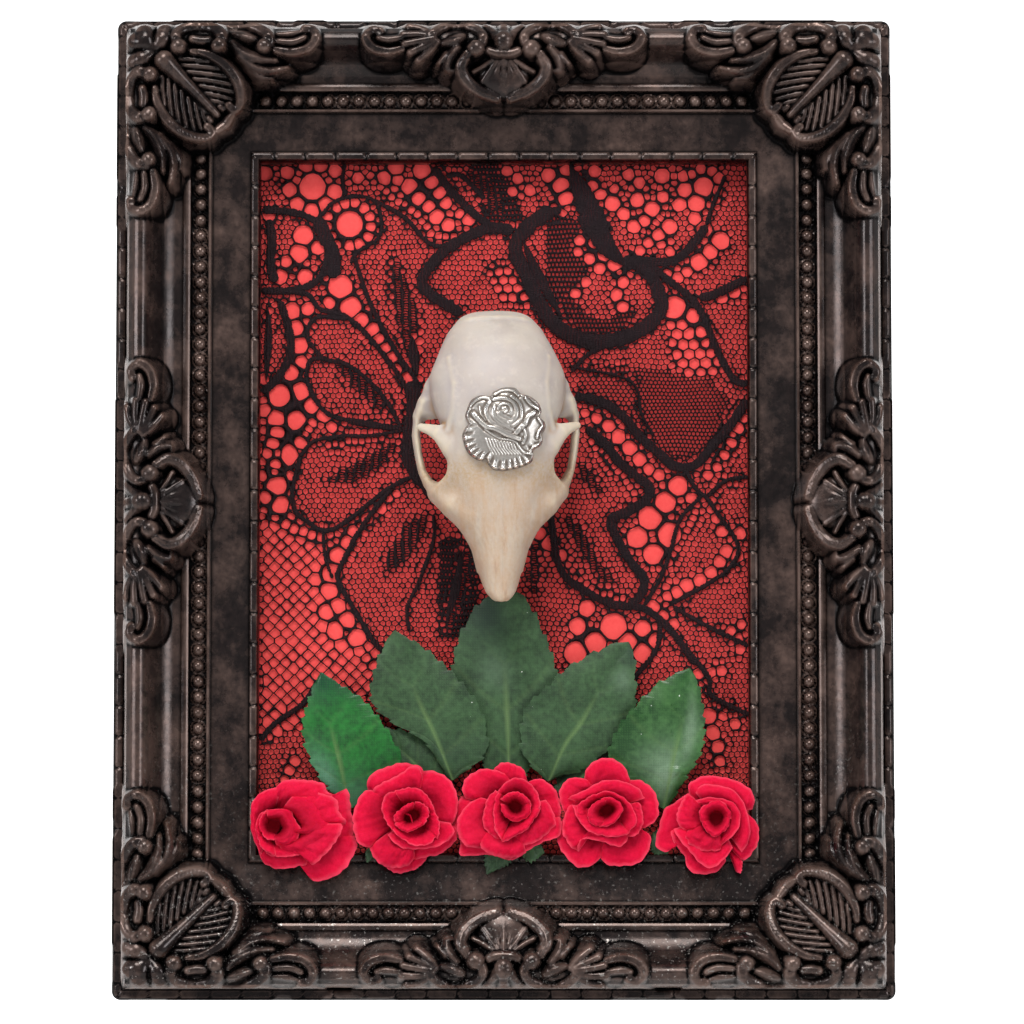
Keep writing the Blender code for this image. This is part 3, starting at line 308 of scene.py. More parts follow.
def bone_finish():
    """Cleaned bone: greyish cream, tan and porous along the snout, stained along seams, with painted shade in
    its hollows.
    """
    n = Nodes("bone")
    across, along = n.axes()
    cloud = n.noise(110.0, 5.0, 0.55)
    patch = n.noise(45.0, 3.0, 0.5)
    streak = n.noise(620.0, 6.0, 0.62, stretch=(1.0, 0.35, 0.16))
    grain = n.noise(1500.0, 4.0, 0.65)
    fine = n.noise(420.0, 4.0, 0.6)
    colour = n.mix(n.span(cloud, 0.32, 0.68), (0.445, 0.385, 0.350), (0.59, 0.53, 0.475))
    colour = n.mix(n.span(patch, 0.40, 0.62, 0.0, 0.70), colour, (0.435, 0.378, 0.372))
    colour = n.mix(n.span(fine, 0.52, 0.72, 0.0, 0.45), colour, (0.64, 0.575, 0.51))
    colour = n.mix(n.span(grain, 0.56, 0.72, 0.0, 0.22), colour, (0.40, 0.33, 0.30))
    colour = n.mix(n.times(n.value("ridge"), 0.75), colour, (0.70, 0.60, 0.45))
    snout = n.span(along, 0.0275, 0.0215)
    tan = n.times(snout, n.span(n.plus(streak, n.times(grain, 0.35)), 0.52, 0.82))
    warm = n.span(along, 0.036, 0.022)
    colour = n.mix(n.times(warm, 0.5), colour, (0.66, 0.51, 0.36))
    colour = n.mix(n.times(tan, 0.8), colour, (0.55, 0.37, 0.24))
    glue = n.times(n.span(along, 0.0205, 0.0245), n.span(along, 0.0295, 0.0265))
    glue = n.times(glue, n.span(grain, 0.40, 0.62))
    colour = n.mix(n.times(glue, 0.6), colour, (0.52, 0.34, 0.17))
    middle = n.span(n.maths("ABSOLUTE", across), 0.0046, 0.0012)
    dark_streak = n.times(snout, n.span(streak, 0.58, 0.72))
    dark_streak = n.times(dark_streak, n.span(middle, 0.0, 1.0, 0.12, 1.0))
    colour = n.mix(n.times(dark_streak, 0.50), colour, (0.40, 0.25, 0.19))
    wobble = n.times(n.minus(n.noise(900.0, 3.0, 0.7), 0.5), 0.0009)
    seam = n.span(n.maths("ABSOLUTE", n.plus(across, wobble)), 0.00018, 0.00005)
    seam = n.times(seam, n.span(along, 0.024, 0.018, 0.06, 1.0))
    colour = n.mix(n.times(seam, 0.12), colour, (0.40, 0.29, 0.22))
    # painted shade: browner and darker in the bone's hollows
    colour = n.mix(n.times(n.value("hollow"), 0.9), colour, (0.40, 0.24, 0.12))
    pores = n.span(n.cells(2300.0), 0.04, 0.30)
    n.set(Base_Color=colour, Roughness=n.span(cloud, 0.3, 0.7, 0.40, 0.56), Specular_IOR_Level=0.45)
    n.set(Subsurface_Weight=0.22, Subsurface_Radius=(0.0022, 0.0014, 0.0009), Subsurface_Scale=1.0)
    ridged = n.times(streak, n.span(snout, 0.0, 1.0, 0.25, 1.6))
    relief = n.plus(ridged, n.times(cloud, 0.6))
    under = n.bump(n.minus(relief, n.times(seam, 0.2)), 0.00014, 0.6)
    n.bump(n.times(pores, n.span(snout, 0.0, 1.0, 0.35, 1.0)), 0.00005, 0.5, under)
    return n.material


def tooth_finish():
    """Enamel of a rodent's front tooth, orange with fine lines along it."""
    n = Nodes("tooth")
    colour = n.mix(n.span(n.noise(300.0), 0.35, 0.7), (0.72, 0.36, 0.09), (0.82, 0.50, 0.18))
    n.set(Base_Color=colour, Roughness=0.28, Subsurface_Weight=0.1,
          Subsurface_Radius=(0.001, 0.0006, 0.0003))
    n.bump(n.noise(900.0, 4.0, 0.6, stretch=(1.0, 0.2, 0.2)), 0.00003, 0.5)
    return n.material


def pewter_finish():
    """Cast pewter, bright on its ridges and tarnished grey brown in its hollows."""
    n = Nodes("pewter")
    relief_tone = n.value("relief_tone")
    grain = n.noise(1800.0, 5.0, 0.6)
    share = n.span(n.plus(relief_tone, n.times(grain, 0.07)), -0.03, 0.14)
    colour = n.mix(share, (0.20, 0.165, 0.140), (0.90, 0.865, 0.82))
    n.set(Base_Color=colour, Metallic=n.span(share, 0.0, 0.6, 0.55, 1.0))
    n.set(Roughness=n.span(share, 0.0, 1.0, 0.50, 0.19))
    n.bump(n.plus(grain, n.noise(700.0, 3.0, 0.5)), 0.00005, 0.7)
    return n.material


def lace_finish():
    """Black knitted thread in ribs, with dark red showing through its pores."""
    n = Nodes("lace_black")
    fibre = n.noise(5200.0, 3.0, 0.7)
    across, up = n.axes()
    sway = n.times(n.noise(500.0, 2.0, 0.5), 0.0016)
    ribs = n.maths("SINE", n.times(n.plus(across, sway), 9500.0))
    rungs = n.maths("SINE", n.times(n.plus(up, sway), 19000.0))
    knit = n.plus(n.times(ribs, 0.6), n.times(rungs, 0.4))
    colour = n.mix(n.span(fibre, 0.35, 0.7), (0.0060, 0.0022, 0.0034), (0.0200, 0.0090, 0.0125))
    pore = n.times(n.span(knit, -0.35, -0.75), n.span(n.noise(260.0, 3.0, 0.5), 0.40, 0.62))
    colour = n.mix(n.times(pore, 0.8), colour, (0.060, 0.004, 0.006))
    glint = n.span(n.noise(2600.0, 2.0, 0.5), 0.70, 0.78)
    n.set(Base_Color=colour, Roughness=n.minus(0.72, n.times(glint, 0.40)))
    n.set(Specular_IOR_Level=0.22)
    n.bump(n.plus(n.times(knit, 0.5), fibre), 0.00016, 1.0)
    return n.material


def card_finish():
    """Bright red card with a faint fibre."""
    n = Nodes("red_card")
    fibre = n.noise(1400.0, 5.0, 0.65)
    colour = n.mix(n.span(fibre, 0.3, 0.7), (0.865, 0.070, 0.068), (0.90, 0.092, 0.086))
    n.set(Base_Color=colour, Roughness=0.8, Specular_IOR_Level=0.25)
    n.bump(fibre, 0.00002, 0.4)
    return n.material


def board_finish():
    """Brown pressed board, blotched and fibrous."""
    n = Nodes("hardboard")
    fibre = n.noise(800.0, 6.0, 0.7)
    blotch = n.noise(60.0, 3.0, 0.5)
    colour = n.mix(n.span(fibre, 0.3, 0.7), (0.20, 0.125, 0.07), (0.34, 0.225, 0.135))
    colour = n.mix(n.span(blotch, 0.4, 0.7, 0.0, 0.5), colour, (0.16, 0.10, 0.06))
    n.set(Base_Color=colour, Roughness=0.82, Specular_IOR_Level=0.25)
    n.bump(fibre, 0.00008, 0.6)
    return n.material


def leaf_finish(name, deep, light, shine, pale_and_painted_sheen, dark):
    """Printed woven cloth: green, with paler veins, a weave, tinted parts, painted shade and painted sheen, and
    specks of dried glue.
    """
    n = Nodes(name)
    weave = n.times(n.weave("X"), n.weave("Z"))
    cloud = n.plus(n.times(n.noise(110.0, 4.0, 0.6), 0.6), n.times(n.noise(900.0), 0.4))
    colour = n.mix(n.span(cloud, 0.40, 0.60), deep, light)
    # darker parts, painted shade on the middle leaf's top
    colour = n.mix(n.value("dark"), colour, dark)
    # paler parts, painted sheen on the two far leaves
    colour = n.mix(n.times(n.value("pale_and_painted_sheen"), n.span(cloud, 0.36, 0.60, 0.65, 1.0)), colour, pale_and_painted_sheen)
    colour = n.mix(n.times(n.value("vein"), 0.75), colour, (0.125, 0.220, 0.070))
    colour = n.mix(n.span(weave, 0.1, 0.8, 0.0, 0.30), colour, light)
    speck = n.span(n.noise(1000.0, 2.0, 0.5), 0.765, 0.785)
    colour = n.mix(speck, colour, (0.60, 0.64, 0.58))
    rough = n.span(n.noise(240.0), 0.35, 0.65, shine, shine + 0.16)
    rough = n.times(rough, n.minus(1.0, n.times(n.value("gloss"), 0.8)))
    n.set(Base_Color=colour, Roughness=rough, Specular_IOR_Level=0.45, Sheen_Weight=0.1)
    n.bump(weave, 0.00003, 0.5)
    return n.material


def rose_finish():
    """Crimson paper, with a painted highlight towards the petals' rims and painted shade where they are rolled
    together.
    """
    n = Nodes("rose_paper")
    fibre = n.noise(1500.0, 5.0, 0.7)
    crease = n.noise(260.0, 5.0, 0.65, distortion=0.6)
    colour = n.mix(n.span(fibre, 0.3, 0.7), (0.60, 0.001, 0.026), (0.74, 0.005, 0.050))
    colour = n.mix(n.span(crease, 0.45, 0.7, 0.0, 0.35), colour, (0.80, 0.018, 0.07))
    # painted highlight along the petals' rims
    colour = n.mix(n.times(n.value("rim"), 0.6), colour, (0.90, 0.085, 0.15))
    # painted shade deep in the rose, at the petals' roots and on the core
    colour = n.mix(n.times(n.value("deep"), 0.80), colour, (0.16, 0.0, 0.005))
    n.set(Base_Color=colour, Roughness=0.78, Specular_IOR_Level=0.12)
    n.set(Subsurface_Weight=0.06, Subsurface_Radius=(0.0012, 0.0002, 0.0002))
    n.bump(n.plus(crease, n.times(fibre, 0.3)), 0.00016, 0.7)
    return n.material


def steel_finish():
    """Bare rolled steel with a brushed grain."""
    n = Nodes("hanger_steel")
    grain = n.noise(600.0, 5.0, 0.6)
    colour = n.mix(n.span(grain, 0.35, 0.7), (0.30, 0.28, 0.25), (0.50, 0.475, 0.44))
    n.set(Base_Color=colour, Metallic=1.0, Roughness=n.span(grain, 0.3, 0.7, 0.28, 0.42))
    n.bump(grain, 0.00004, 0.4)
    return n.material


# Frame: one relief of moulding, beads, ribbons and cast ornament

BAND_WIDTH = 2.2
BAND_STEP = 0.5
# the moulding's front: distance in from the outer edge, distance out from the wall
MOULDING_FRONT = (
    (0.0, 7.2), (0.5, BAND_OUT), (BAND_WIDTH, BAND_OUT), (2.5, 7.6), (2.7, 13.6), (3.4, 17.4), (4.6, 19.6),
    (5.8, 20.2), (7.0, 19.6), (8.0, 18.0), (9.0, 15.9), (10.4, 14.2), (12.4, 13.0), (14.0, 12.8),
    (14.3, 13.3), (15.0, 13.5), (15.6, 13.2), (15.9, 11.9), (19.2, 11.9), (19.4, 12.8), (19.8, 12.8),
    (20.2, 11.6), (27.8, 10.4),
    (28.1, 11.0), (29.5, 11.0), (SIGHT_EDGE, 10.4),
)
# the bed that strokes of ornament lie on: distances in from the edge, and how far out it is there
BED_OUT = ((0.0, 2.0, 3.4, 6.0, 9.0, 12.0, 16.0, 20.0, 24.0, 30.0),
           (9.0, 12.0, 18.6, 20.8, 20.4, 19.2, 17.4, 15.6, 13.4, 11.6))
FLAT = 0.3
SKIRT_SLOPE = 3.2

# strokes of the cast ornament: points as (in, in or along, radius), lift over the bed, rise, section;
# a corner's are drawn in from its two sides, a crest's in from the edge and along from its middle
CORNER_HALF = (
    # scroll with a ball at each end, and the pill inside it
    (((6.6, 13.1, 1.1), (5.2, 13.0, 1.2), (3.9, 14.6, 1.2), (3.3, 17.4, 1.2), (3.7, 20.4, 1.25),
      (5.2, 22.2, 1.4),
      (6.6, 22.4, 1.2)), 0.5, 1.0, "rim"),
    (((7.7, 13.5, 1.55), (7.8, 13.7, 1.5)), 1.1, 1.0, "round"),
    (((7.5, 21.9, 1.6), (7.6, 21.7, 1.5)), 1.1, 1.0, "round"),
    (((6.2, 16.4, 0.8), (6.5, 18.2, 0.85), (6.4, 19.8, 0.75)), 0.3, 1.1, "round"),
    # hooked rim of the shell
    (((8.7, 16.2, 0.55), (9.2, 19.2, 0.8), (10.9, 22.4, 1.05), (13.6, 24.9, 1.15), (16.4, 26.0, 1.15),
      (18.9, 26.0, 1.1), (20.2, 24.9, 1.0), (19.3, 23.7, 0.95)), 0.7, 1.15, "rim"),
    # flutes
    (((10.1, 13.7, 0.45), (10.2, 16.4, 0.5), (10.6, 19.6, 0.5)), 0.0, 1.2, "round"),
    (((11.3, 14.3, 0.5), (11.5, 17.4, 0.55), (12.0, 21.8, 0.55)), 0.0, 1.2, "round"),
    (((12.6, 15.3, 0.5), (12.9, 18.8, 0.55), (13.5, 23.3, 0.55)), 0.0, 1.2, "round"),
    (((13.9, 16.5, 0.5), (14.3, 20.0, 0.55), (15.0, 24.2, 0.55)), 0.0, 1.2, "round"),
    (((15.3, 17.8, 0.5), (15.8, 21.0, 0.55), (16.5, 24.6, 0.55)), 0.0, 1.2, "round"),
    (((16.7, 19.0, 0.5), (17.2, 21.6, 0.5), (17.9, 24.2, 0.5)), 0.0, 1.2, "round"),
    (((18.1, 20.1, 0.4), (18.4, 21.6, 0.45), (18.8, 23.0, 0.4)), 0.0, 1.2, "round"),
    # lobes of the shell at the outer corner
    (((8.2, 8.8, 0.9), (6.6, 9.9, 1.5), (4.9, 10.7, 1.9)), -0.1, 0.75, "round"),
    (((8.4, 7.6, 0.8), (6.8, 6.9, 1.4), (5.0, 6.5, 1.9)), -0.1, 0.75, "round"),
    # arm that runs on from the scroll to a ball, with leaf blades beside it
    (((2.9, 23.6, 0.6), (2.9, 26.4, 0.95), (3.6, 29.2, 1.15), (5.2, 31.6, 1.25), (7.0, 32.1, 1.2)), 0.5,
     1.0, "rim"),
    (((7.6, 31.2, 1.45), (7.5, 31.0, 1.4)), 0.9, 1.0, "round"),
    (((5.0, 24.6, 0.6), (5.6, 27.0, 0.85), (6.2, 29.2, 0.5)), 0.2, 1.1, "crease"),
    (((6.9, 24.4, 0.7), (8.9, 26.6, 1.05), (10.0, 29.6, 1.05), (10.4, 33.2, 0.45)), 0.2, 1.15, "crease"),
    (((9.4, 26.0, 0.6), (11.6, 28.8, 0.95), (12.4, 32.0, 0.85), (11.9, 35.6, 0.4)), 0.3, 1.15, "crease"),
    (((11.6, 27.4, 0.4), (13.4, 30.0, 0.6), (13.8, 32.4, 0.4)), 0.0, 1.1, "crease"),
    # end hook
    (((8.4, 33.4, 0.7), (8.9, 36.8, 0.95), (8.1, 40.0, 1.0), (6.0, 41.6, 1.0), (4.2, 40.9, 1.0),
      (3.9, 39.4, 1.05)),
     0.4, 1.05, "rim"),
    (((6.6, 33.8, 0.6), (6.8, 36.8, 0.75), (6.0, 39.2, 0.6)), 0.3, 1.1, "round"),
    (((5.1, 33.6, 0.45), (5.0, 36.4, 0.6), (4.6, 38.2, 0.45)), 0.1, 1.1, "round"),
)
CORNER_MIDDLE = (
    (((10.6, 10.6, 2.1), (12.4, 12.4, 1.7), (15.6, 15.5, 1.15), (21.2, 21.0, 0.7)), 1.0, 1.05, "round"),
    (((21.0, 24.4, 0.9), (22.9, 22.9, 1.35), (24.4, 21.0, 0.9)), 0.8, 1.1, "round"),
    (((19.4, 21.8, 0.6), (19.8, 22.4, 0.6)), 0.5, 1.1, "round"),
    (((21.8, 19.4, 0.6), (22.4, 19.8, 0.6)), 0.5, 1.1, "round"),
    (((8.3, 8.3, 2.4), (9.6, 9.6, 2.4)), -0.9, FLAT, "round"),
    (((12.0, 12.0, 4.0), (16.5, 16.5, 6.4), (20.0, 20.0, 3.6)), -2.0, FLAT, "round"),
)
CREST_HALF = (
    # balls, stems and their sprays of five fingers
    (((8.1, 5.5, 1.7), (8.3, 5.8, 1.65)), 0.9, 1.0, "round"),
    (((7.2, 4.4, 0.9), (5.4, 4.3, 1.0), (3.7, 6.3, 1.0), (3.0, 9.6, 0.95), (3.6, 12.6, 1.0),
      (5.4, 14.8, 1.1)),
     0.6, 1.05, "rim"),
    (((5.2, 14.4, 0.7), (4.0, 16.8, 0.75), (3.4, 19.4, 0.8)), 0.5, 1.1, "round"),
    (((5.6, 14.4, 0.7), (5.2, 17.4, 0.75), (5.3, 20.6, 0.8)), 0.6, 1.1, "round"),
    (((6.1, 14.3, 0.7), (6.6, 17.2, 0.75), (7.2, 20.2, 0.8)), 0.6, 1.1, "round"),
    (((6.5, 14.1, 0.7), (7.8, 16.6, 0.8), (8.9, 19.0, 0.85)), 0.5, 1.1, "round"),
    (((6.8, 13.6, 0.7), (8.8, 15.4, 0.85), (10.4, 17.4, 0.8)), 0.4, 1.1, "round"),
    # end hook
    (((8.2, 20.8, 0.7), (8.8, 23.8, 0.95), (8.0, 26.8, 1.0), (6.0, 28.2, 1.0), (4.3, 27.0, 1.0),
      (4.5, 25.4, 1.0)),
     0.4, 1.05, "rim"),
    (((5.9, 20.8, 0.55), (6.3, 23.6, 0.7), (5.9, 25.6, 0.5)), 0.3, 1.1, "round"),
    # rim and ribs of the shell
    (((9.4, 7.4, 0.9), (11.8, 8.7, 1.25), (14.4, 7.7, 1.3), (16.6, 4.9, 1.25), (17.9, 1.4, 1.05)), 1.0,
     1.05, "double"),
    (((10.6, 0.7, 0.45), (13.2, 1.5, 0.55), (15.8, 2.2, 0.55)), 0.1, 1.2, "round"),
    (((10.5, 1.4, 0.45), (12.6, 3.0, 0.55), (14.6, 4.4, 0.55)), 0.1, 1.2, "round"),
    (((10.2, 2.2, 0.45), (11.6, 4.2, 0.55), (12.6, 6.2, 0.5)), 0.1, 1.2, "round"),
    # collar and crown of the boss
    (((9.2, 0.0, 1.0), (9.1, 1.6, 1.0), (8.6, 3.0, 0.8)), 0.7, 1.0, "round"),
    (((5.8, 1.3, 1.0), (4.8, 2.3, 0.8), (3.5, 3.6, 0.55)), 0.5, 1.1, "crease"),
    # leaves between the stem and the shell
    (((5.6, 8.4, 0.7), (6.6, 10.2, 1.1), (7.0, 12.4, 0.6)), 0.2, 1.0, "crease"),
    (((8.0, 9.6, 0.8), (10.2, 11.2, 1.1), (12.2, 11.4, 0.8), (12.4, 9.9, 0.5)), 0.4, 1.1, "crease"),
    (((9.2, 11.6, 0.7), (11.0, 13.2, 0.4)), 0.2, 1.1, "crease"),
)
CREST_MIDDLE = (
    (((6.4, 0.0, 1.9), (7.0, 0.0, 1.8)), 0.6, 1.0, "round"),
    (((5.2, 0.0, 1.1), (3.2, 0.0, 0.75)), 0.6, 1.0, "round"),
    (((10.4, 0.0, 0.6), (13.4, 0.0, 0.75), (16.8, 0.0, 0.8)), 0.3, 1.2, "round"),
    (((9.0, 0.0, 3.0), (11.4, 0.0, 5.6), (14.0, 0.0, 4.4)), -1.6, FLAT, "round"),
)
CORNER_REACH = 44.0
CREST_REACH = 31.0
CREST_DEPTH = 21.0
STROKE_BLEND = 0.35
BEAD_PITCH = 3.2
BEAD_RADIUS = 1.22
BEAD_START = 7.4
BEAD_END = 27.0
BEAD_SEAT_OUT = 12.3
BEAD_TALLNESS = 1.15
# the raised rim of the cup that each bead sits in
SEAT_RADIUS = 1.52
SEAT_WIDTH = 0.16
SEAT_RISE = 0.45
SEAT_REACH = 1.6
BAR_PITCH = 6.3
BAR_HALF_LENGTH = 2.86
BAR_RISE = 0.42
# line of each ribbon in from the edge, half the width of its bars
RIBBONS = ((1.25, 0.66), (28.85, 0.70))
# the gap beside the outer ribbon, dark with painted shade
GUTTER = 2.4
GUTTER_HALF = 0.36
GUTTER_TOP = 9.6
# how far the moulding's hollow is softened along it, and where that starts and ends
ROUND_REACH = 1.3
ROUND_FROM = 4.2
ROUND_TO = 13.8
ROUND_FADE = 1.2
# tone of the paint, from black below zero to rubbed above it: painted shade in the ribbon gaps and the gutter,
# painted highlights on the bars' edges and the beads' seats
GAP_PAINTED_SHADE = -0.40
GUTTER_PAINTED_SHADE = -0.45
BAR_EDGE_PAINTED_HIGHLIGHT = 0.27
BAR_TOP_WEAR = 0.02
SEAT_PAINTED_HIGHLIGHT = 0.30
ALONG_STEP = 0.33
INWARD_STEP = 0.30


def swapped(strokes):
    return tuple((tuple((b, a, r) for a, b, r in points), *rest) for points, *rest in strokes)


def section_top(across, radius, rise, section):
    """Height of a stroke's section above its bed, at a distance across from its middle line."""
    share = across / radius
    if section == "crease":
        top = np.maximum(1.0 - share, 0.0) ** 0.8
    else:
        top = np.sqrt(np.maximum(1.0 - share**2, 0.0))
    if section == "rim":
        top = top - 0.40 * np.exp(-((share / 0.42) ** 4))
    if section == "double":
        top = top - 0.34 * np.exp(-(((share - 0.42) / 0.17) ** 2))
    return rise * radius * top


def add_strokes(out, a, b, strokes, nearest_edge):
    """The relief raised where strokes cross it; nearest_edge gives a place's distance in from the edge."""
    for points, lift, rise, section in strokes:
        reach = max(point[2] for point in points) + 3.0
        near = np.ones(a.shape, dtype=bool)
        for value, k in ((a, 0), (b, 1)):
            near &= value > min(point[k] for point in points) - reach
            near &= value < max(point[k] for point in points) + reach
        here_a = a[near]
        here_b = b[near]
        best = np.full(here_a.shape, -50.0)
        if len(points) > 2:
            points = smooth_line(points, 5 * len(points)).tolist()
        for (a0, b0, r0), (a1, b1, r1) in zip(points, points[1:]):
            run_a = a1 - a0
            run_b = b1 - b0
            share = ((here_a - a0) * run_a + (here_b - b0) * run_b) / (run_a**2 + run_b**2)
            share = np.clip(share, 0.0, 1.0)
            centre_a = a0 + run_a * share
            centre_b = b0 + run_b * share
            radius = r0 + (r1 - r0) * share
            across = np.hypot(here_a - centre_a, here_b - centre_b)
            bed = np.interp(nearest_edge(centre_a, centre_b), *BED_OUT) + lift
            skirt = SKIRT_SLOPE * np.maximum(across - radius, 0.0)
            top = bed + section_top(across, radius, rise, section) - skirt
            best = np.maximum(best, top)
        out[near] = smooth_max(out[near], best, STROKE_BLEND)
    return out


def rounded_bar(along, across, half_length, half_width, corner):
    """Distance to a bar with round ends, negative inside."""
    far_along = np.maximum(np.abs(along) - half_length + corner, 0.0)
    far_across = np.maximum(np.abs(across) - half_width + corner, 0.0)
    return np.hypot(far_along, far_across) - corner


def ribbon_bars(inward, along, line):
    """Distance to the nearest bar of the ribbon that runs along a line of the moulding."""
    phase = (along + BAR_PITCH / 2) % BAR_PITCH - BAR_PITCH / 2
    return rounded_bar(phase, inward - line, BAR_HALF_LENGTH, dict(RIBBONS)[line], 0.5)


def frame_places(across, up):
    """Distances in from the nearer side, from the nearer end, from the edge, and along it."""
    a = FRAME_WIDTH / 2 - np.abs(across)
    b = FRAME_HEIGHT / 2 - np.abs(up)
    return a, b, np.minimum(a, b), np.where(a < b, np.abs(up), np.abs(across))


def moulding_out(inward):
    """How far out the plain moulding stands, its hollow softened between the profile's points."""
    steps = np.array(MOULDING_FRONT).T
    out = np.interp(inward, *steps)
    reaches = np.linspace(-ROUND_REACH, ROUND_REACH, 13)
    weights = ROUND_REACH * 1.05 - np.abs(reaches)
    soft = sum(w * np.interp(inward + r, *steps) for w, r in zip(weights, reaches)) / weights.sum()
    share = ramp(inward, ROUND_FROM, ROUND_FROM + ROUND_FADE)
    share = share * ramp(inward, ROUND_TO, ROUND_TO - ROUND_FADE)
    return out + (soft - out) * share


def bead_places(a, b, inward, along):
    """Distance of each place from the middle of the nearest bead."""
    last_bead = np.where(a < b, FRAME_HEIGHT, FRAME_WIDTH) / 2 - BEAD_END
    count = np.floor((last_bead - BEAD_START) / BEAD_PITCH)
    place = np.clip(np.round((along - BEAD_START) / BEAD_PITCH), 0, count)
    return np.hypot(along - BEAD_START - place * BEAD_PITCH, inward - BEAD_LINE)


def frame_relief(across, up):
    """How far out the frame's front stands at each place."""
    a, b, inward, along = frame_places(across, up)
    out = moulding_out(inward)
    for line, _ in RIBBONS:
        bar = ribbon_bars(inward, along, line)
        out += BAR_RISE * np.clip(0.5 - bar / 0.3, 0.0, 1.0) * (np.abs(inward - line) < 1.2)
    away = bead_places(a, b, inward, along)
    beads = BEAD_SEAT_OUT + BEAD_TALLNESS * np.sqrt(np.maximum(BEAD_RADIUS**2 - away**2, 0.0))
    out = np.where(away < BEAD_RADIUS, np.maximum(out, beads), out)
    seats = np.exp(-(((away - SEAT_RADIUS) / SEAT_WIDTH) ** 2)) * (np.abs(inward - BEAD_LINE) < SEAT_REACH)
    out += SEAT_RISE * seats
    corner = (a < CORNER_REACH) & (b < CORNER_REACH)
    strokes = CORNER_HALF + swapped(CORNER_HALF) + CORNER_MIDDLE
    out[corner] = add_strokes(out[corner], a[corner], b[corner], strokes, np.minimum)
    crest = (along < CREST_REACH) & (inward < CREST_DEPTH)
    strokes = CREST_HALF + CREST_MIDDLE
    out[crest] = add_strokes(out[crest], inward[crest], along[crest], strokes, lambda x, y: x)
    beyond_band = np.clip((inward - BAND_WIDTH) / BAND_STEP, 0.0, 1.0)
    return np.where(beyond_band < 1.0, np.minimum(out, BAND_OUT + 0.45 + beyond_band * 12.0), out)


def loop_points(inward, counts):
    """Points round the frame at a distance in from its edge, with the outer corners rounded."""
    half_across = FRAME_WIDTH / 2 - inward
    half_up = FRAME_HEIGHT / 2 - inward
    corners = ((-1, -1), (1, -1), (1, 1), (-1, 1))
    across = []
    up = []
    for k, count in enumerate(counts):
        share = np.arange(count) / count
        (x0, z0), (x1, z1) = corners[k], corners[(k + 1) % 4]
        across.append(half_across * (x0 + (x1 - x0) * share))
        up.append(half_up * (z0 + (z1 - z0) * share))
    return np.concatenate(across), np.concatenate(up)


def round_corners(across, up, radius=1.8):
    """The same places, with those in a corner's outer square drawn in to its circle."""
    over_a = np.abs(across) - (FRAME_WIDTH / 2 - radius)
    over_b = np.abs(up) - (FRAME_HEIGHT / 2 - radius)
    outer = (over_a > 0) & (over_b > 0)
    fit = np.maximum(over_a, over_b) / (np.hypot(over_a, over_b) + 1e-9)
    bent_a = np.sign(across) * (FRAME_WIDTH / 2 - radius + over_a * fit)
    bent_b = np.sign(up) * (FRAME_HEIGHT / 2 - radius + over_b * fit)
    return np.where(outer, bent_a, across), np.where(outer, bent_b, up)


def box_blur(values, rows, columns):
    """Values averaged with their neighbours, some rounds across rows and some along the closed columns."""
    for _ in range(columns):
        values = (np.roll(values, 1, axis=1) + values + np.roll(values, -1, axis=1)) / 3
    for _ in range(rows):
        padded = np.vstack((values[:1], values, values[-1:]))
        values = (padded[:-2] + padded[1:-1] + padded[2:]) / 3
    return values


def frame_wear_and_painted_light(across, up, out):
    """Tone of the paint at each place, from wear with painted shade in ribbon gaps and the gutter and painted
    highlights on bar edges and bead seats, and which places are on a bead.
    """
    a, b, inward, along = frame_places(across, up)
    away = bead_places(a, b, inward, along)
    plain = (a > CORNER_REACH) | (b > CORNER_REACH)
    relief_tone = out - box_blur(out, 5, 4)
    on_seat = plain & (np.abs(away - SEAT_RADIUS) < 0.20) & (np.abs(inward - BEAD_LINE) < SEAT_REACH + 0.1)
    # painted highlight on the rim of each bead's seat
    relief_tone = np.where(on_seat, SEAT_PAINTED_HIGHLIGHT, relief_tone)
    for line, half_width in RIBBONS:
        bar = ribbon_bars(inward, along, line)
        # painted shade between the ribbon's bars, painted highlight on their edges
        lit = np.where(bar > 0.14, GAP_PAINTED_SHADE, np.where(bar > -0.20, BAR_EDGE_PAINTED_HIGHLIGHT, BAR_TOP_WEAR))
        relief_tone = np.where(np.abs(inward - line) < half_width + 0.3, lit, relief_tone)
    # painted shade in the gutter beside the outer ribbon
    in_gutter = (np.abs(inward - GUTTER) < GUTTER_HALF) & (out < GUTTER_TOP)
    return np.where(in_gutter, GUTTER_PAINTED_SHADE, relief_tone), 1.0 * (plain & (away < BEAD_RADIUS))


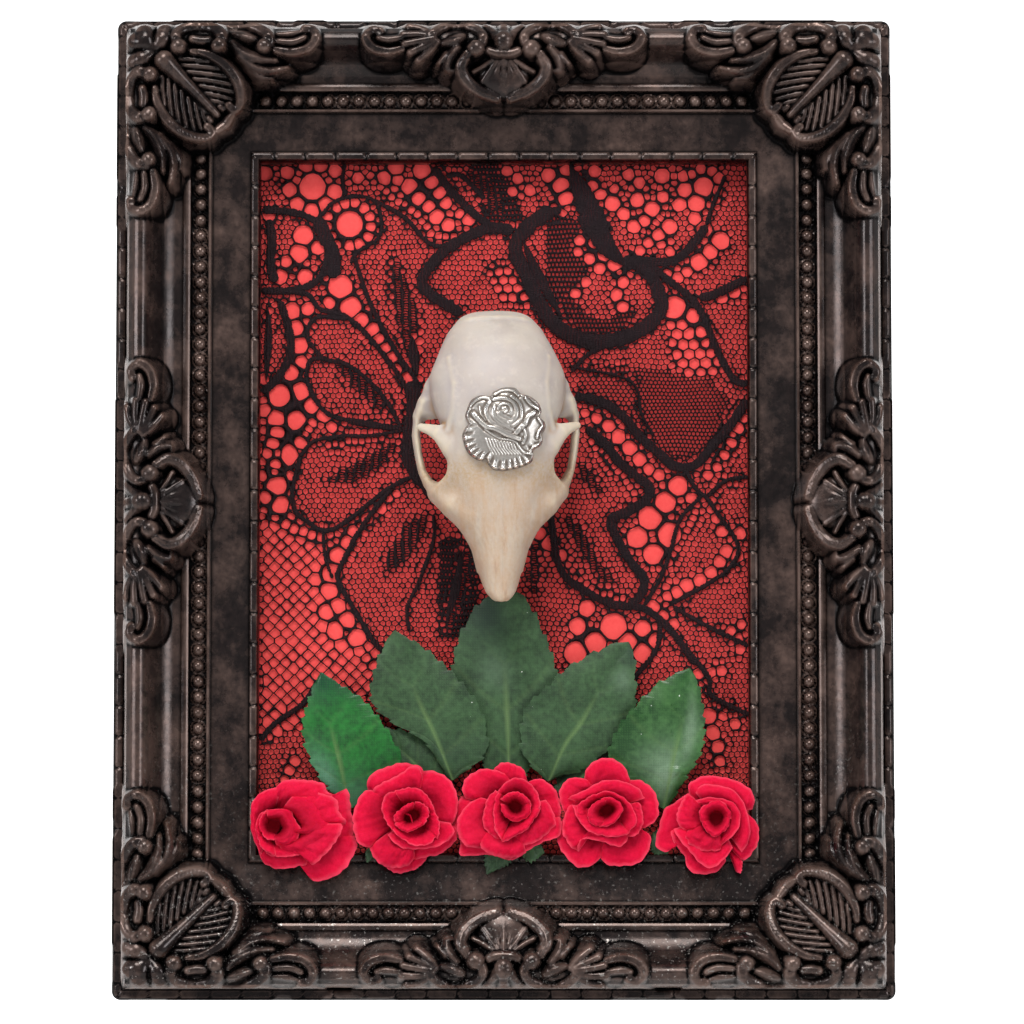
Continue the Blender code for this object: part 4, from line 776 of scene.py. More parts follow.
def build_frame(finish):
    """Loops of points from the outer edge in to the opening, then back out behind the frame."""
    counts = [round(size / ALONG_STEP) for size in (FRAME_WIDTH, FRAME_HEIGHT, FRAME_WIDTH, FRAME_HEIGHT)]
    breaks = [row[0] for row in MOULDING_FRONT]
    inwards = np.unique(np.round(np.concatenate((np.arange(0.0, SIGHT_EDGE, INWARD_STEP), breaks)), 3))
    across, up = np.array([loop_points(inward, counts) for inward in inwards]).transpose(1, 0, 2)
    out = frame_relief(across, up)
    loops = list(np.stack((across, out, up, *frame_wear_and_painted_light(across, up, out)), axis=-1))
    behind = ((SIGHT_EDGE, LIP_BACK_OUT), (REBATE_EDGE, LIP_BACK_OUT), (REBATE_EDGE, 0.4),
              (REBATE_EDGE - 0.4, 0.0),
              (18.0, 0.0), (9.0, 0.0), (0.5, 0.0), (0.0, 0.5), (0.0, 4.0))
    for inward, level in behind:
        x, z = loop_points(inward, counts)
        loops.append(np.stack((x, np.full_like(x, level), z, 0.0 * x, 0.0 * x), axis=-1))
    x, out, z, relief_tone, bead = np.concatenate(loops).T
    x, z = round_corners(x, z)
    count = sum(counts)
    last = np.arange(count) + (len(loops) - 1) * count
    closing = np.column_stack((last, np.roll(last, -1), np.roll(last, -1) % count, last % count))
    faces = np.vstack((grid_faces(len(loops), count, closed=True), closing))
    # dust lies on the raised parts of the lower half
    dust = 0.02 + 0.98 * ramp(z, -40.0, -85.0) * ramp(out, 9.0, 13.0)
    nodes = [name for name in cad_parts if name.startswith(("corner_", "crest_", "beads_"))]
    make_piece("frame", np.column_stack((x, out, z)), faces, finish,
               nodes + ["frame_moulding"],
               {"relief_tone": relief_tone, "bead": bead, "dust": dust}, smooth=48.0)


# Fields of the bone: each gives a signed distance, negative inside, for arrays of points

def smooth_join(a, b, reach):
    """The two shapes together, blended where both are near."""
    mix = np.clip(0.5 + 0.5 * (b - a) / reach, 0.0, 1.0)
    return b + (a - b) * mix - reach * mix * (1.0 - mix)


def smooth_cut(a, b, reach):
    """The first shape less the inside of the second; both arguments are distances."""
    return -smooth_join(-a, b, reach)


def ellipsoid(x, s, h, centre, radii):
    """Near enough the distance to an egg shape's surface."""
    parts = [(value - c, r) for value, c, r in zip((x, s, h), centre, radii)]
    near = np.sqrt(sum((d / r) ** 2 for d, r in parts))
    slope = np.sqrt(sum((d / r**2) ** 2 for d, r in parts)) + 1e-9
    return near * (near - 1.0) / slope


def limb(x, s, h, points, squash=1.0):
    """A chain of tapered round rods through (x, s, h, radius), stretched in h by squash."""
    best = None
    for (x0, s0, h0, r0), (x1, s1, h1, r1) in zip(points, points[1:]):
        run = (x1 - x0, s1 - s0, (h1 - h0) / squash)
        length = sum(value * value for value in run) + 1e-9
        away = (x - x0, s - s0, (h - h0) / squash)
        share = np.clip(sum(a * b for a, b in zip(away, run)) / length, 0.0, 1.0)
        gap = np.sqrt(sum((a - share * b) ** 2 for a, b in zip(away, run)))
        here = gap - (r0 + (r1 - r0) * share)
        best = here if best is None else np.minimum(best, here)
    return best


def smooth_table(rows, samples=240):
    """Rows of (station, values...) read along one smooth curve through them."""
    rows = np.array(rows, dtype=float)
    at = np.linspace(rows[0, 0], rows[-1, 0], samples)
    slopes = np.gradient(rows[:, 1:], rows[:, 0], axis=0)
    span = np.clip(np.searchsorted(rows[:, 0], at, side="right") - 1, 0, len(rows) - 2)
    width = rows[span + 1, 0] - rows[span, 0]
    t = ((at - rows[span, 0]) / width)[:, None]
    width = width[:, None]
    value = ((1 + 2 * t) * (1 - t) ** 2 * rows[span, 1:] + t * (1 - t) ** 2 * width * slopes[span]
             + t**2 * (3 - 2 * t) * rows[span + 1, 1:] + t**2 * (t - 1) * width * slopes[span + 1])
    return at, value


CUBE = [(i, j, k) for i in (0, 1) for j in (0, 1) for k in (0, 1)]


def one_sheet(pattern):
    """Whether a cell's inside corners hang together, and its outside corners too."""
    for wanted in (0, 1):
        group = [corner for n, corner in enumerate(CUBE) if (pattern >> n) & 1 == wanted]
        if not group:
            continue
        reached = [group[0]]
        for corner in reached:
            for other in group:
                apart = sum(abs(a - b) for a, b in zip(corner, other))
                if apart == 1 and other not in reached:
                    reached.append(other)
        if len(reached) < len(group):
            return False
    return True


def trim_thin_spots(values):
    """Open up the cells that two sheets of the surface would share."""
    simple = np.array([one_sheet(pattern) for pattern in range(256)])
    cells = tuple(n - 1 for n in values.shape)
    for _ in range(40):
        pattern = np.zeros(cells, dtype=np.uint8)
        for n, (i, j, k) in enumerate(CUBE):
            corner = values[i:cells[0] + i, j:cells[1] + j, k:cells[2] + k] < 0
            pattern |= corner.astype(np.uint8) << n
        crowded = np.argwhere(~simple[pattern])
        if not len(crowded):
            break
        for offset in CUBE:
            at = tuple((crowded + offset).T)
            values[at] = np.maximum(values[at], 0.02)


def surface_net(values, low, step):
    """Points and quads of the surface where the grid of values is zero."""
    trim_thin_spots(values)
    cells = tuple(n - 1 for n in values.shape)
    total = np.zeros(cells + (3,))
    count = np.zeros(cells)
    crossings = []
    for axis in range(3):
        across, up = [k for k in range(3) if k != axis]
        here = np.moveaxis(np.moveaxis(values, axis, 0)[:-1], 0, axis)
        after = np.moveaxis(np.moveaxis(values, axis, 0)[1:], 0, axis)
        crossing = (here < 0) != (after < 0)
        share = np.where(crossing, here / np.where(crossing, here - after, 1.0), 0.0)
        crossings.append((axis, across, up, crossing, here < 0))
        for i in (0, 1):
            for j in (0, 1):
                pick = [slice(None)] * 3
                pick[across] = slice(i, cells[across] + i)
                pick[up] = slice(j, cells[up] + j)
                hit = crossing[tuple(pick)]
                count += hit
                total[..., axis] += share[tuple(pick)]
                total[..., across] += hit * i
                total[..., up] += hit * j
    used = count > 0
    index = np.full(cells, -1)
    index[used] = np.arange(used.sum())
    points = np.array(low) + step * (np.argwhere(used) + total[used] / count[used][:, None])
    quads = []
    for axis, across, up, crossing, inside in crossings:
        places = np.argwhere(crossing)
        keep = (places[:, across] > 0) & (places[:, up] > 0)
        keep &= (places[:, across] < cells[across]) & (places[:, up] < cells[up])
        places = places[keep]
        corners = []
        for i, j in ((1, 1), (0, 1), (0, 0), (1, 0)):
            at = places.copy()
            at[:, across] -= i
            at[:, up] -= j
            corners.append(index[tuple(at.T)])
        quad = np.column_stack(corners)
        outward = inside[tuple(places.T)] ^ (axis == 1)
        quad[~outward] = quad[~outward][:, ::-1]
        quads.append(quad)
    return points, np.vstack(quads)


def settle(points, field, rounds=3, reach=0.3):
    """Move points along the field's slope onto its zero surface."""
    nudge = 0.05
    for _ in range(rounds):
        value = field(*points.T)
        slope = np.empty_like(points)
        for k in range(3):
            step = np.zeros(3)
            step[k] = nudge
            slope[:, k] = (field(*(points + step).T) - field(*(points - step).T)) / (2 * nudge)
        size = (slope**2).sum(axis=1) + 1e-6
        points = points - np.clip(value / size, -reach, reach)[:, None] * slope
    return points, slope / np.sqrt(size)[:, None]


def grid(low, high, step):
    """Three arrays of places on a regular grid between two corners."""
    axes = [np.arange(a, b + step, step) for a, b in zip(low, high)]
    return np.meshgrid(*axes, indexing="ij")


def hollow_share(points, faces, normal, rounds, depth):
    """0 to 1 for points that lie in a hollow of the surface, from a smoothed copy of it."""
    pairs = np.vstack([faces[:, [k, (k + 1) % faces.shape[1]]] for k in range(faces.shape[1])])
    pairs = np.vstack((pairs, pairs[:, ::-1]))
    count = np.bincount(pairs[:, 0], minlength=len(points))
    soft = points.copy()
    for _ in range(rounds):
        total = [np.bincount(pairs[:, 0], soft[pairs[:, 1], k], minlength=len(points)) for k in range(3)]
        soft = np.column_stack(total) / np.maximum(count, 1)[:, None]
    return np.clip(((soft - points) * normal).sum(axis=1) / depth, -1.0, 1.0)


# Skull: place of its nose on the board, lean and roll of its axis, grid for its surface
SKULL_LENGTH = 59.0
NOSE_ACROSS = -1.7
NOSE_UP = -19.8
SKULL_LEAN = math.radians(1.1)
SKULL_ROLL = math.radians(4.5)

# Incisors: an arc in the side view, seen as (along the skull, height)
INCISOR_CENTRE = (10.8, 6.9)
INCISOR_BEND = 7.5
INCISOR_DEPTH = 2.3
INCISOR_WIDTH = 1.7
INCISOR_OFFSET = 1.05
INCISOR_ROOT_ANGLE = 158.0
INCISOR_TIP_ANGLE = 238.0
SOCKET_CLEARANCE = 0.45
TIP_LENGTH = 3.0
TIP_ROUNDING = 0.5
BONE_STEP = 0.3

# Cranium: x across, s along from the nose tip to the nape, h up from the resting plane

# station, half width, top, bottom, squareness of the section
CRANIUM_STATIONS = (
    (0.0, 2.0, 17.4, 13.4, 2.2),
    (1.2, 3.0, 18.0, 11.6, 2.3),
    (2.6, 3.55, 18.5, 9.6, 2.4),
    (6.4, 4.55, 19.8, 8.5, 2.5),
    (11.0, 5.8, 21.4, 8.3, 2.5),
    (15.1, 7.2, 22.7, 8.2, 2.5),
    (19.0, 8.2, 23.8, 8.0, 2.7),
    (24.0, 9.6, 25.0, 7.8, 2.9),
    (29.0, 10.0, 26.2, 7.6, 2.9),
    (34.0, 11.2, 27.0, 7.4, 2.5),
    (38.0, 12.8, 26.9, 7.2, 2.3),
    (42.0, 13.7, 26.4, 6.8, 2.2),
    (45.0, 13.8, 25.7, 6.4, 2.2),
    (48.8, 12.4, 24.2, 6.0, 2.3),
    (52.9, 10.5, 21.8, 6.2, 2.4),
    (56.0, 8.6, 19.0, 7.2, 2.4),
    (58.0, 6.6, 16.4, 8.6, 2.3),
    (59.0, 4.6, 14.4, 10.2, 2.1),
)
ARCH = (
    (12.6, 22.4, 11.2, 1.7),
    (14.0, 24.0, 10.2, 1.15),
    (15.2, 26.5, 9.2, 0.85),
    (15.9, 30.0, 8.9, 0.85),
    (16.35, 34.0, 9.4, 0.9),
    (16.0, 37.6, 10.6, 0.95),
    (15.0, 40.4, 11.6, 1.0),
)
ARCH_STRETCH = 2.7
ARCH_SHELF = ((15.2, 37.9, 11.0, 1.3), (13.5, 39.4, 12.2, 2.5), (12.1, 42.6, 13.4, 2.9))
SNOUT_FLARE = ((4.6, 13.6, 14.8, 2.1), (6.6, 16.6, 15.6, 2.8), (9.4, 19.3, 15.4, 2.9),
               (12.0, 21.6, 12.6, 2.2))
FLARE_STRETCH = 1.7
BROW_SPIKE = ((9.8, 31.4, 20.9, 2.7), (12.3, 33.3, 20.5, 1.6), (14.2, 34.2, 19.5, 1.1),
              (15.8, 34.8, 18.3, 0.85))
SPIKE_SQUASH = 0.8

# Smooth upper face from the snout out to the cheeks and the rims of the eye openings:
# station, half width, fall from the middle to that edge, depth of its middle in the bone
FACE_STATIONS = (
    (6.0, 4.3, 2.0, 2.8),
    (9.0, 5.0, 2.6, 1.7),
    (12.4, 6.3, 3.0, 1.1),
    (15.8, 7.7, 3.4, 1.0),
    (18.0, 9.4, 4.2, 1.0),
    (20.0, 11.8, 5.6, 1.0),
    (22.0, 13.2, 6.8, 1.0),
    (23.4, 12.6, 5.6, 1.0),
    (25.0, 11.2, 3.6, 1.0),
    (27.0, 10.8, 2.8, 1.0),
    (30.0, 11.4, 3.3, 1.0),
    (32.4, 12.6, 4.0, 1.9),
    (34.4, 13.6, 4.4, 3.2),
)
FACE_CURVE = 2.2
FACE_THICKNESS = 1.9

TEMPLE_RIDGE = ((10.4, 34.0, 22.1, 0.6), (9.3, 38.0, 23.5, 0.5), (9.1, 43.0, 23.5, 0.5),
                (9.9, 48.4, 20.8, 0.4))
NAPE_RIDGE = ((0.0, 57.0, 17.3, 0.5), (5.2, 56.6, 16.6, 0.5), (8.8, 54.0, 14.2, 0.5),
              (10.9, 50.8, 11.0, 0.5))
TOOTH_ROW = ((5.2, 23.2, 8.0, 1.5), (5.4, 33.2, 8.0, 1.5))
TOOTH_STATIONS = (22.6, 24.6, 27.0, 29.5, 31.9)
TOOTH_SIZES = (0.8, 1.3, 1.4, 1.4, 1.35)
TOOTH_ACROSS = 5.35
TOOTH_MIDDLE = 6.2
TOOTH_HALF_HEIGHT = 2.4
TOOTH_TIP = 4.5
WING_OF_PALATE = ((2.7, 34.5, 7.6, 0.8), (2.5, 38.0, 5.8, 0.6), (2.6, 41.0, 4.6, 0.5))
EAR_BULLA = ((7.5, 46.6, 5.9), (4.1, 5.3, 4.8))
NAPE_PROCESS = ((9.0, 52.0, 8.0, 1.3), (8.4, 53.0, 3.8, 0.6))
CONDYLE = ((3.7, 56.8, 7.4), (1.9, 1.7, 2.2))
EYE_SOCKET = ((14.6, 27.4, 14.2), (7.6, 5.6, 7.4))
CHEEK_HOLLOW = ((16.6, 34.0, 13.0), (4.1, 2.9, 7.0))
NOSTRIL = ((0.0, -0.9, 13.6), (2.2, 3.7, 2.0))
NAPE_HOLE = ((0.0, 59.8, 9.6), (3.1, 4.6, 2.8))
THROAT = ((0.0, 37.5, 6.2), (1.9, 3.6, 2.6))
EAR_HOLE = ((12.0, 44.6, 9.2), (1.6, 1.1, 1.1))
FACE_HOLE = ((6.9, 15.2, 10.6), (0.9, 1.3, 1.7))
SKULL_LOW = (-18.7, -1.6, 0.3)
SKULL_HIGH = (18.6, 61.0, 28.4)


def incisor_distance(x, s, h, grow):
    """Distance to the bent rod of one incisor and its twin."""
    from_centre_s = s - INCISOR_CENTRE[0]
    from_centre_h = h - INCISOR_CENTRE[1]
    angle = np.degrees(np.arctan2(from_centre_h, from_centre_s)) % 360.0
    angle = np.clip(angle, INCISOR_ROOT_ANGLE, INCISOR_TIP_ANGLE)
    ring_s = INCISOR_BEND * np.cos(np.radians(angle))
    ring_h = INCISOR_BEND * np.sin(np.radians(angle))
    radial = np.hypot(from_centre_s - ring_s, from_centre_h - ring_h)
    across = np.maximum(np.abs(x) - INCISOR_OFFSET - INCISOR_WIDTH / 2, -1.0)
    return np.maximum(across, radial - INCISOR_DEPTH / 2) - grow


def face_field(x, s, h, top):
    """The curved shield of bone from the snout to the brow, under the given top line."""
    at, rows = smooth_table(FACE_STATIONS)
    edge, fall, depth = (np.interp(s, at, rows[:, k]) for k in range(3))
    above = 0.8 * (h - top + depth + fall * (x / edge) ** FACE_CURVE)
    face = -smooth_join(-above, above + FACE_THICKNESS, 0.5)
    face = -smooth_join(-face, 0.8 * (edge - x), 0.8)
    return np.maximum(face, np.maximum(FACE_STATIONS[0][0] - s, s - FACE_STATIONS[-1][0]))


def cranium_field(x, s, h):
    """The whole bone, alike on both sides of x = 0."""
    x = np.abs(x)
    at, rows = smooth_table(CRANIUM_STATIONS)
    half, top, bottom, power = (np.interp(s, at, rows[:, k]) for k in range(4))
    middle = (top + bottom) / 2
    tall = (top - bottom) / 2
    round_out = (x / half) ** power + (np.abs(h - middle) / tall) ** power
    bone = (round_out ** (1.0 / power) - 1.0) * np.minimum(half, tall)
    bone = -smooth_join(-bone, s + 0.2, 0.8)
    bone = -smooth_join(-bone, SKULL_LENGTH - s, 1.2)
    bone = smooth_cut(bone, ellipsoid(x, s, h, *EYE_SOCKET), 1.2)
    bone = smooth_cut(bone, ellipsoid(x, s, h, *CHEEK_HOLLOW), 1.2)
    bone = smooth_join(bone, limb(x, s, h, SNOUT_FLARE, FLARE_STRETCH), 2.0)
    bone = smooth_join(bone, limb(x, s, h, ARCH, ARCH_STRETCH), 1.2)
    bone = smooth_join(bone, limb(x, s, h, ARCH_SHELF, 0.9), 1.4)
    bone = smooth_join(bone, limb(x, s, h, BROW_SPIKE, SPIKE_SQUASH), 1.0)
    bone = smooth_join(bone, face_field(x, s, h, top), 1.6)
    bone = smooth_join(bone, limb(x, s, h, TEMPLE_RIDGE), 0.8)
    bone = smooth_join(bone, limb(x, s, h, NAPE_RIDGE), 1.0)
    bone = smooth_join(bone, limb(x, s, h, TOOTH_ROW, 1.4), 1.2)
    bone = smooth_join(bone, limb(x, s, h, WING_OF_PALATE, 1.6), 0.8)
    bone = smooth_join(bone, ellipsoid(x, s, h, *EAR_BULLA), 0.9)
    bone = smooth_join(bone, limb(x, s, h, NAPE_PROCESS), 0.9)
    bone = smooth_join(bone, ellipsoid(x, s, h, *CONDYLE), 0.7)
    for station, size in zip(TOOTH_STATIONS, TOOTH_SIZES):
        crown = ellipsoid(x, s, h, (TOOTH_ACROSS, station, TOOTH_MIDDLE), (size, size, TOOTH_HALF_HEIGHT))
        bone = smooth_join(bone, np.maximum(crown, TOOTH_TIP - h), 0.4)
    for hole in (NOSTRIL, NAPE_HOLE, THROAT, EAR_HOLE, FACE_HOLE):
        bone = smooth_cut(bone, ellipsoid(x, s, h, *hole), 0.5)
    return np.maximum(bone, -incisor_distance(x, s, h, SOCKET_CLEARANCE))


def skull_top(x, s):
    """Height of the bone's upper face, found by halving."""
    low = np.full_like(x, 16.0)
    high = np.full_like(x, 32.0)
    for _ in range(24):
        middle = (low + high) / 2
        inside = cranium_field(x, s, middle) < 0
        low = np.where(inside, middle, low)
        high = np.where(inside, high, middle)
    return high


# Skull

def skull_matrix():
    """Where the skull's own axes lie in the world."""
    nose = Vector((NOSE_ACROSS, -REST_OUT, NOSE_UP - FRAME_CENTRE_DROP)) * MM
    turned = Matrix.Rotation(SKULL_ROLL, 4, "Z") @ Matrix.Rotation(-SKULL_LEAN, 4, "Y")
    return Matrix.Translation(nose) @ turned


def on_skull(points):
    """(x, s, h) of the bone as local metres."""
    return np.column_stack((points[:, 0], -points[:, 2], points[:, 1])) * MM


def build_cranium(finish):
    """The bone's surface, pitted along the snout and gently uneven elsewhere."""
    values = cranium_field(*grid(SKULL_LOW, SKULL_HIGH, BONE_STEP))
    points, faces = surface_net(values, SKULL_LOW, BONE_STEP)
    points, normal = settle(points, cranium_field)
    x, s, h = points.T
    rough = wave_noise(x + h * 0.4, s * 0.35, 11, 1.6, 3) * np.clip((27.0 - s) / 10.0, 0.15, 1.0)
    lumps = wave_noise(x + h * 0.7, s + h * 0.3, 12, 7.0, 2)
    points = points - normal * (0.05 + 0.07 * np.abs(rough) - 0.03 * lumps)[:, None]
    # the tip of the nose is rounded in plan
    near_tip = ramp(s, s.min() + TIP_LENGTH, s.min()) ** 1.5
    points[:, 1] -= TIP_ROUNDING * near_tip * (1.0 - np.minimum((x / 2.5) ** 2, 2.4))
    # how far each point lies in a hollow, for the painted shade there and the lighter ridges
    hollow = hollow_share(points, faces, normal, 14, 0.22)
    values = {"hollow": np.maximum(hollow, 0.0), "ridge": np.clip(-1.4 * hollow, 0.0, 1.0)}
    make_piece("cranium", on_skull(points), faces, finish, ["cranium"], values, 180.0,
               skull_matrix())


def build_incisors(finish):
    """Each incisor is a bent bar of rounded section that ends in a worn chisel."""
    rings = 48
    sides = 24
    share = np.linspace(0.0, 1.0, rings)[:, None]
    turn = np.linspace(0.0, 2 * math.pi, sides, endpoint=False)[None, :]
    angle = np.radians(INCISOR_ROOT_ANGLE + (INCISOR_TIP_ANGLE - INCISOR_ROOT_ANGLE) * share)
    deep = INCISOR_DEPTH / 2 * np.where(share < 0.7, 1.0, 1.0 - 0.8 * (share - 0.7) / 0.3)
    squared = 1.0 / (np.abs(np.cos(turn)) ** 3 + np.abs(np.sin(turn)) ** 3) ** (1 / 3) * 0.95
    radius = INCISOR_BEND + deep * np.cos(turn) * squared + (INCISOR_DEPTH / 2 - deep)
    for name, side in (("incisor_left", -1.0), ("incisor_right", 1.0)):
        across = side * INCISOR_OFFSET + INCISOR_WIDTH / 2 * np.sin(turn) * squared + 0 * share
        along = INCISOR_CENTRE[0] + radius * np.cos(angle)
        height = INCISOR_CENTRE[1] + radius * np.sin(angle)
        points = np.column_stack((across.ravel(), along.ravel(), height.ravel()))
        ends = np.array([points[:sides].mean(axis=0), points[-sides:].mean(axis=0)])
        points = on_skull(np.vstack((points, ends)))
        make_piece(name, points, tube(rings, sides), finish, [name], None, 50.0, skull_matrix())


# Curves

def smooth_line(points, count):
    """A smooth curve of any dimension through the points."""
    points = np.array(points, dtype=float)
    before = 2 * points[0] - points[1]
    beyond = 2 * points[-1] - points[-2]
    padded = np.vstack((before, points, beyond))
    at = np.linspace(0, len(points) - 1, count)
    i = np.minimum(at.astype(int), len(points) - 2)
    t = (at - i)[:, None]
    p0, p1, p2, p3 = (padded[i + k] for k in range(4))
    bend = 2 * p0 - 5 * p1 + 4 * p2 - p3
    twist = 3 * p1 - p0 - 3 * p2 + p3
    return 0.5 * (2 * p1 + (p2 - p0) * t + bend * t**2 + twist * t**3)


def even_line(points, count):
    """The same curve with its points evenly spaced."""
    fine = smooth_line(points, max(count * 4, 200))
    steps = np.concatenate(([0.0], np.cumsum(np.linalg.norm(np.diff(fine, axis=0), axis=1))))
    at = np.linspace(0, steps[-1], count)
    return np.column_stack([np.interp(at, steps, fine[:, k]) for k in range(fine.shape[1])])


# Charm: a rose cast in relief, drawn in millimetres across and up from its middle

CHARM_CENTRE = (0.4, 33.5)
CHARM_RIM = 1.0
CHARM_CROWN = 2.7
BONE_GAP = 0.45
CHARM_OUTLINE = (
    (-2.1, 7.4), (-0.2, 8.2), (2.2, 8.2), (3.3, 7.1), (5.4, 6.4), (7.0, 5.1), (7.6, 3.5), (7.1, 2.4),
    (8.2, 1.4), (8.4, 0.1), (7.7, -1.1), (7.8, -2.4), (7.2, -3.5), (5.8, -4.4), (5.8, -5.8), (5.2, -6.9),
    (2.8, -7.9), (0.0, -8.4), (-2.2, -8.2), (-3.3, -7.2), (-3.8, -6.1), (-5.0, -6.4), (-6.6, -5.5),
    (-7.7, -4.1), (-8.3, -2.1), (-8.4, -0.9), (-7.7, 0.5), (-7.2, 1.1), (-7.8, 2.6), (-7.4, 4.1),
    (-6.5, 5.9), (-4.5, 6.8), (-3.0, 6.5),
)
# raised petal rims: points, half width, height
CHARM_RIDGES = (
    (((-2.3, 5.8), (-0.2, 6.0), (1.6, 5.2), (2.5, 3.7), (2.3, 2.3), (1.3, 1.4)), 0.42, 0.75),
    (((1.4, 6.4), (2.8, 5.3), (3.4, 3.7), (3.3, 2.0), (2.5, 0.9), (1.6, 0.2)), 0.36, 0.60),
    (((-1.4, 3.8), (-1.0, 4.6), (-0.2, 4.9), (0.9, 4.6), (1.3, 3.7), (0.9, 2.8)), 0.30, 0.85),
    (((-1.0, 3.3), (-0.5, 2.6), (1.1, 1.9)), 0.26, 0.80),
    (((-0.5, 3.9), (0.2, 4.1), (0.5, 3.5), (0.0, 3.1)), 0.20, 0.80),
    (((-3.0, 5.4), (-3.8, 3.9), (-3.6, 2.4), (-2.7, 1.1), (-0.9, 0.1), (1.6, -1.1)), 0.40, 0.55),
    (((-2.2, 4.3), (-2.3, 2.9), (-1.7, 1.6), (-0.2, 0.5), (1.6, -0.4)), 0.34, 0.70),
    (((-5.0, 4.4), (-4.7, 2.9), (-3.9, 1.6)), 0.22, 0.25),
    (((-6.3, 3.0), (-5.0, 1.5), (-3.7, 0.3), (-2.0, -0.1), (0.1, -1.2), (1.6, -1.8), (3.0, -2.2)), 0.50,
     0.75),
    (((-4.0, -0.2), (-2.7, -1.1), (-0.9, -2.1), (1.1, -2.4), (2.2, -2.9), (3.0, -4.0), (3.9, -4.9),
      (5.4, -5.1)),
     0.24, 0.35),
    (((6.0, 3.1), (4.8, 2.3), (4.1, 0.9), (2.9, -0.2), (2.3, -0.9)), 0.55, 0.70),
    (((4.4, 6.0), (5.4, 4.8), (6.9, 3.9)), 0.34, 0.45),
    (((3.7, 0.2), (4.2, -1.6), (3.6, -3.0)), 0.34, 0.30),
    (((7.0, 1.9), (7.8, 0.6), (6.9, -0.8), (6.6, -1.8)), 0.34, 0.45),
    (((7.0, -3.1), (5.8, -3.8), (5.2, -4.6)), 0.30, 0.40),
    (((-6.9, 4.6), (-5.9, 5.6), (-4.4, 6.2), (-3.0, 5.9)), 0.30, 0.35),
    (((-1.9, 6.8), (-0.3, 7.6), (1.8, 7.5), (2.8, 6.6)), 0.30, 0.40),
)
CHARM_HATCH = 11
CHARM_FLUTES = 34


def line_distance(x, y, points):
    """Distance from each place to a chain of points."""
    best = np.full(x.shape, 1e9)
    for (x0, y0), (x1, y1) in zip(points, points[1:]):
        run_x = x1 - x0
        run_y = y1 - y0
        share = np.clip(((x - x0) * run_x + (y - y0) * run_y) / (run_x**2 + run_y**2 + 1e-9), 0.0, 1.0)
        best = np.minimum(best, np.hypot(x - x0 - run_x * share, y - y0 - run_y * share))
    return best


def charm_relief(x, y, share):
    """Height of the rose above its plate."""
    angle = np.arctan2(y, x)
    bud = np.exp(-(np.hypot(x - 0.2, y - 3.0) / 3.6) ** 4)
    out = 0.25 + 0.55 * bud + 0.25 * np.exp(-(np.hypot(x + 0.3, y - 0.6) / 5.6) ** 4)
    out += 0.32 * np.exp(-(((share - 0.955) / 0.035) ** 2))
    flutes = ramp(share, 0.72, 0.82) * ramp(share, 1.0, 0.96)
    low_side = ramp(y, -2.0, -4.0) + ramp(x, -4.0, -6.0) * ramp(y, 1.5, -0.5)
    waves = np.cos(angle * CHARM_FLUTES + 1.5 * np.sin(angle * 5))
    out += 0.20 * flutes * np.clip(low_side, 0.0, 1.0) * waves
    for i in range(CHARM_HATCH):
        start = -3.9 + 0.62 * i
        top = -2.1 - 0.10 * i
        stroke = ((start, top), (start + 0.5, top - 1.4), (start + 1.5, -5.2))
        out += 0.16 * np.exp(-((line_distance(x, y, stroke) / 0.15) ** 2))
    for points, half, height in CHARM_RIDGES:
        away = line_distance(x, y, even_line(points, 24))
        rounded = 0.75 * half * (np.sqrt(np.maximum(1 - (away / half) ** 2, 0.0)) - 1)
        out = np.maximum(out, 0.25 + height + rounded - 3.0 * np.maximum(away - half, 0.0))
        out -= 0.12 * np.exp(-(((away - half * 1.5) / 0.22) ** 2))
    return out


def charm_edge(turn):
    """Distance from the charm's middle to its outline in each direction."""
    line = even_line(CHARM_OUTLINE + CHARM_OUTLINE[:1], 400)
    angle = np.unwrap(np.arctan2(line[:, 1], line[:, 0])) % (2 * math.pi)
    order = np.argsort(angle)
    return np.interp(turn, angle[order], np.hypot(*line.T)[order], period=2 * math.pi)


def build_charm(finish):
    """Rings of points from the middle out to the outline, over a back that follows the bone."""
    rings = 112
    sides = 340
    turn = np.linspace(0.0, 2 * math.pi, sides, endpoint=False)
    share = np.linspace(0.0, 1.0, rings)[1:, None]
    x = share * charm_edge(turn) * np.cos(turn)
    y = share * charm_edge(turn) * np.sin(turn)
    relief = charm_relief(x, y, share)
    skull_x = (CHARM_CENTRE[0] + x).ravel()
    skull_s = (CHARM_CENTRE[1] + y).ravel()
    base = skull_top(skull_x, skull_s).reshape(x.shape) + BONE_GAP
    round_edge = np.sqrt(np.clip((1.0 - share) / 0.05, 0.0, 1.0))
    height = base + 0.25 + (CHARM_RIM - 0.45 + relief) * (0.35 + 0.65 * round_edge)
    height = np.minimum(height, base + CHARM_CROWN - 0.12)
    relief_tone = relief - box_blur(relief, 7, 9)
    front = np.column_stack((skull_x, skull_s, height.ravel()))
    back = np.column_stack((skull_x, skull_s, base.ravel()))
    middle = ((*CHARM_CENTRE, height[0].mean()), (*CHARM_CENTRE, base[0].mean()))
    count = len(front)
    body = triangles(grid_faces(rings - 1, sides, closed=True))
    inmost = np.arange(sides)
    rim = np.arange(count - sides, count)
    rim_after = np.roll(rim, -1)
    edge = np.column_stack((rim_after, rim, rim + count, rim_after + count))
    middles = (fan(inmost, 2 * count), fan(inmost + count, 2 * count + 1)[:, ::-1])
    faces = np.vstack((body[:, ::-1], body + count, *middles, triangles(edge)))
    values = {"relief_tone": np.concatenate((relief_tone.ravel(), np.zeros(count + 2)))}
    points = on_skull(np.vstack((front, back, middle)))
    make_piece("rose_charm", points, faces, finish, ["rose_charm"], values, 180.0, skull_matrix())


# Fabric leaves

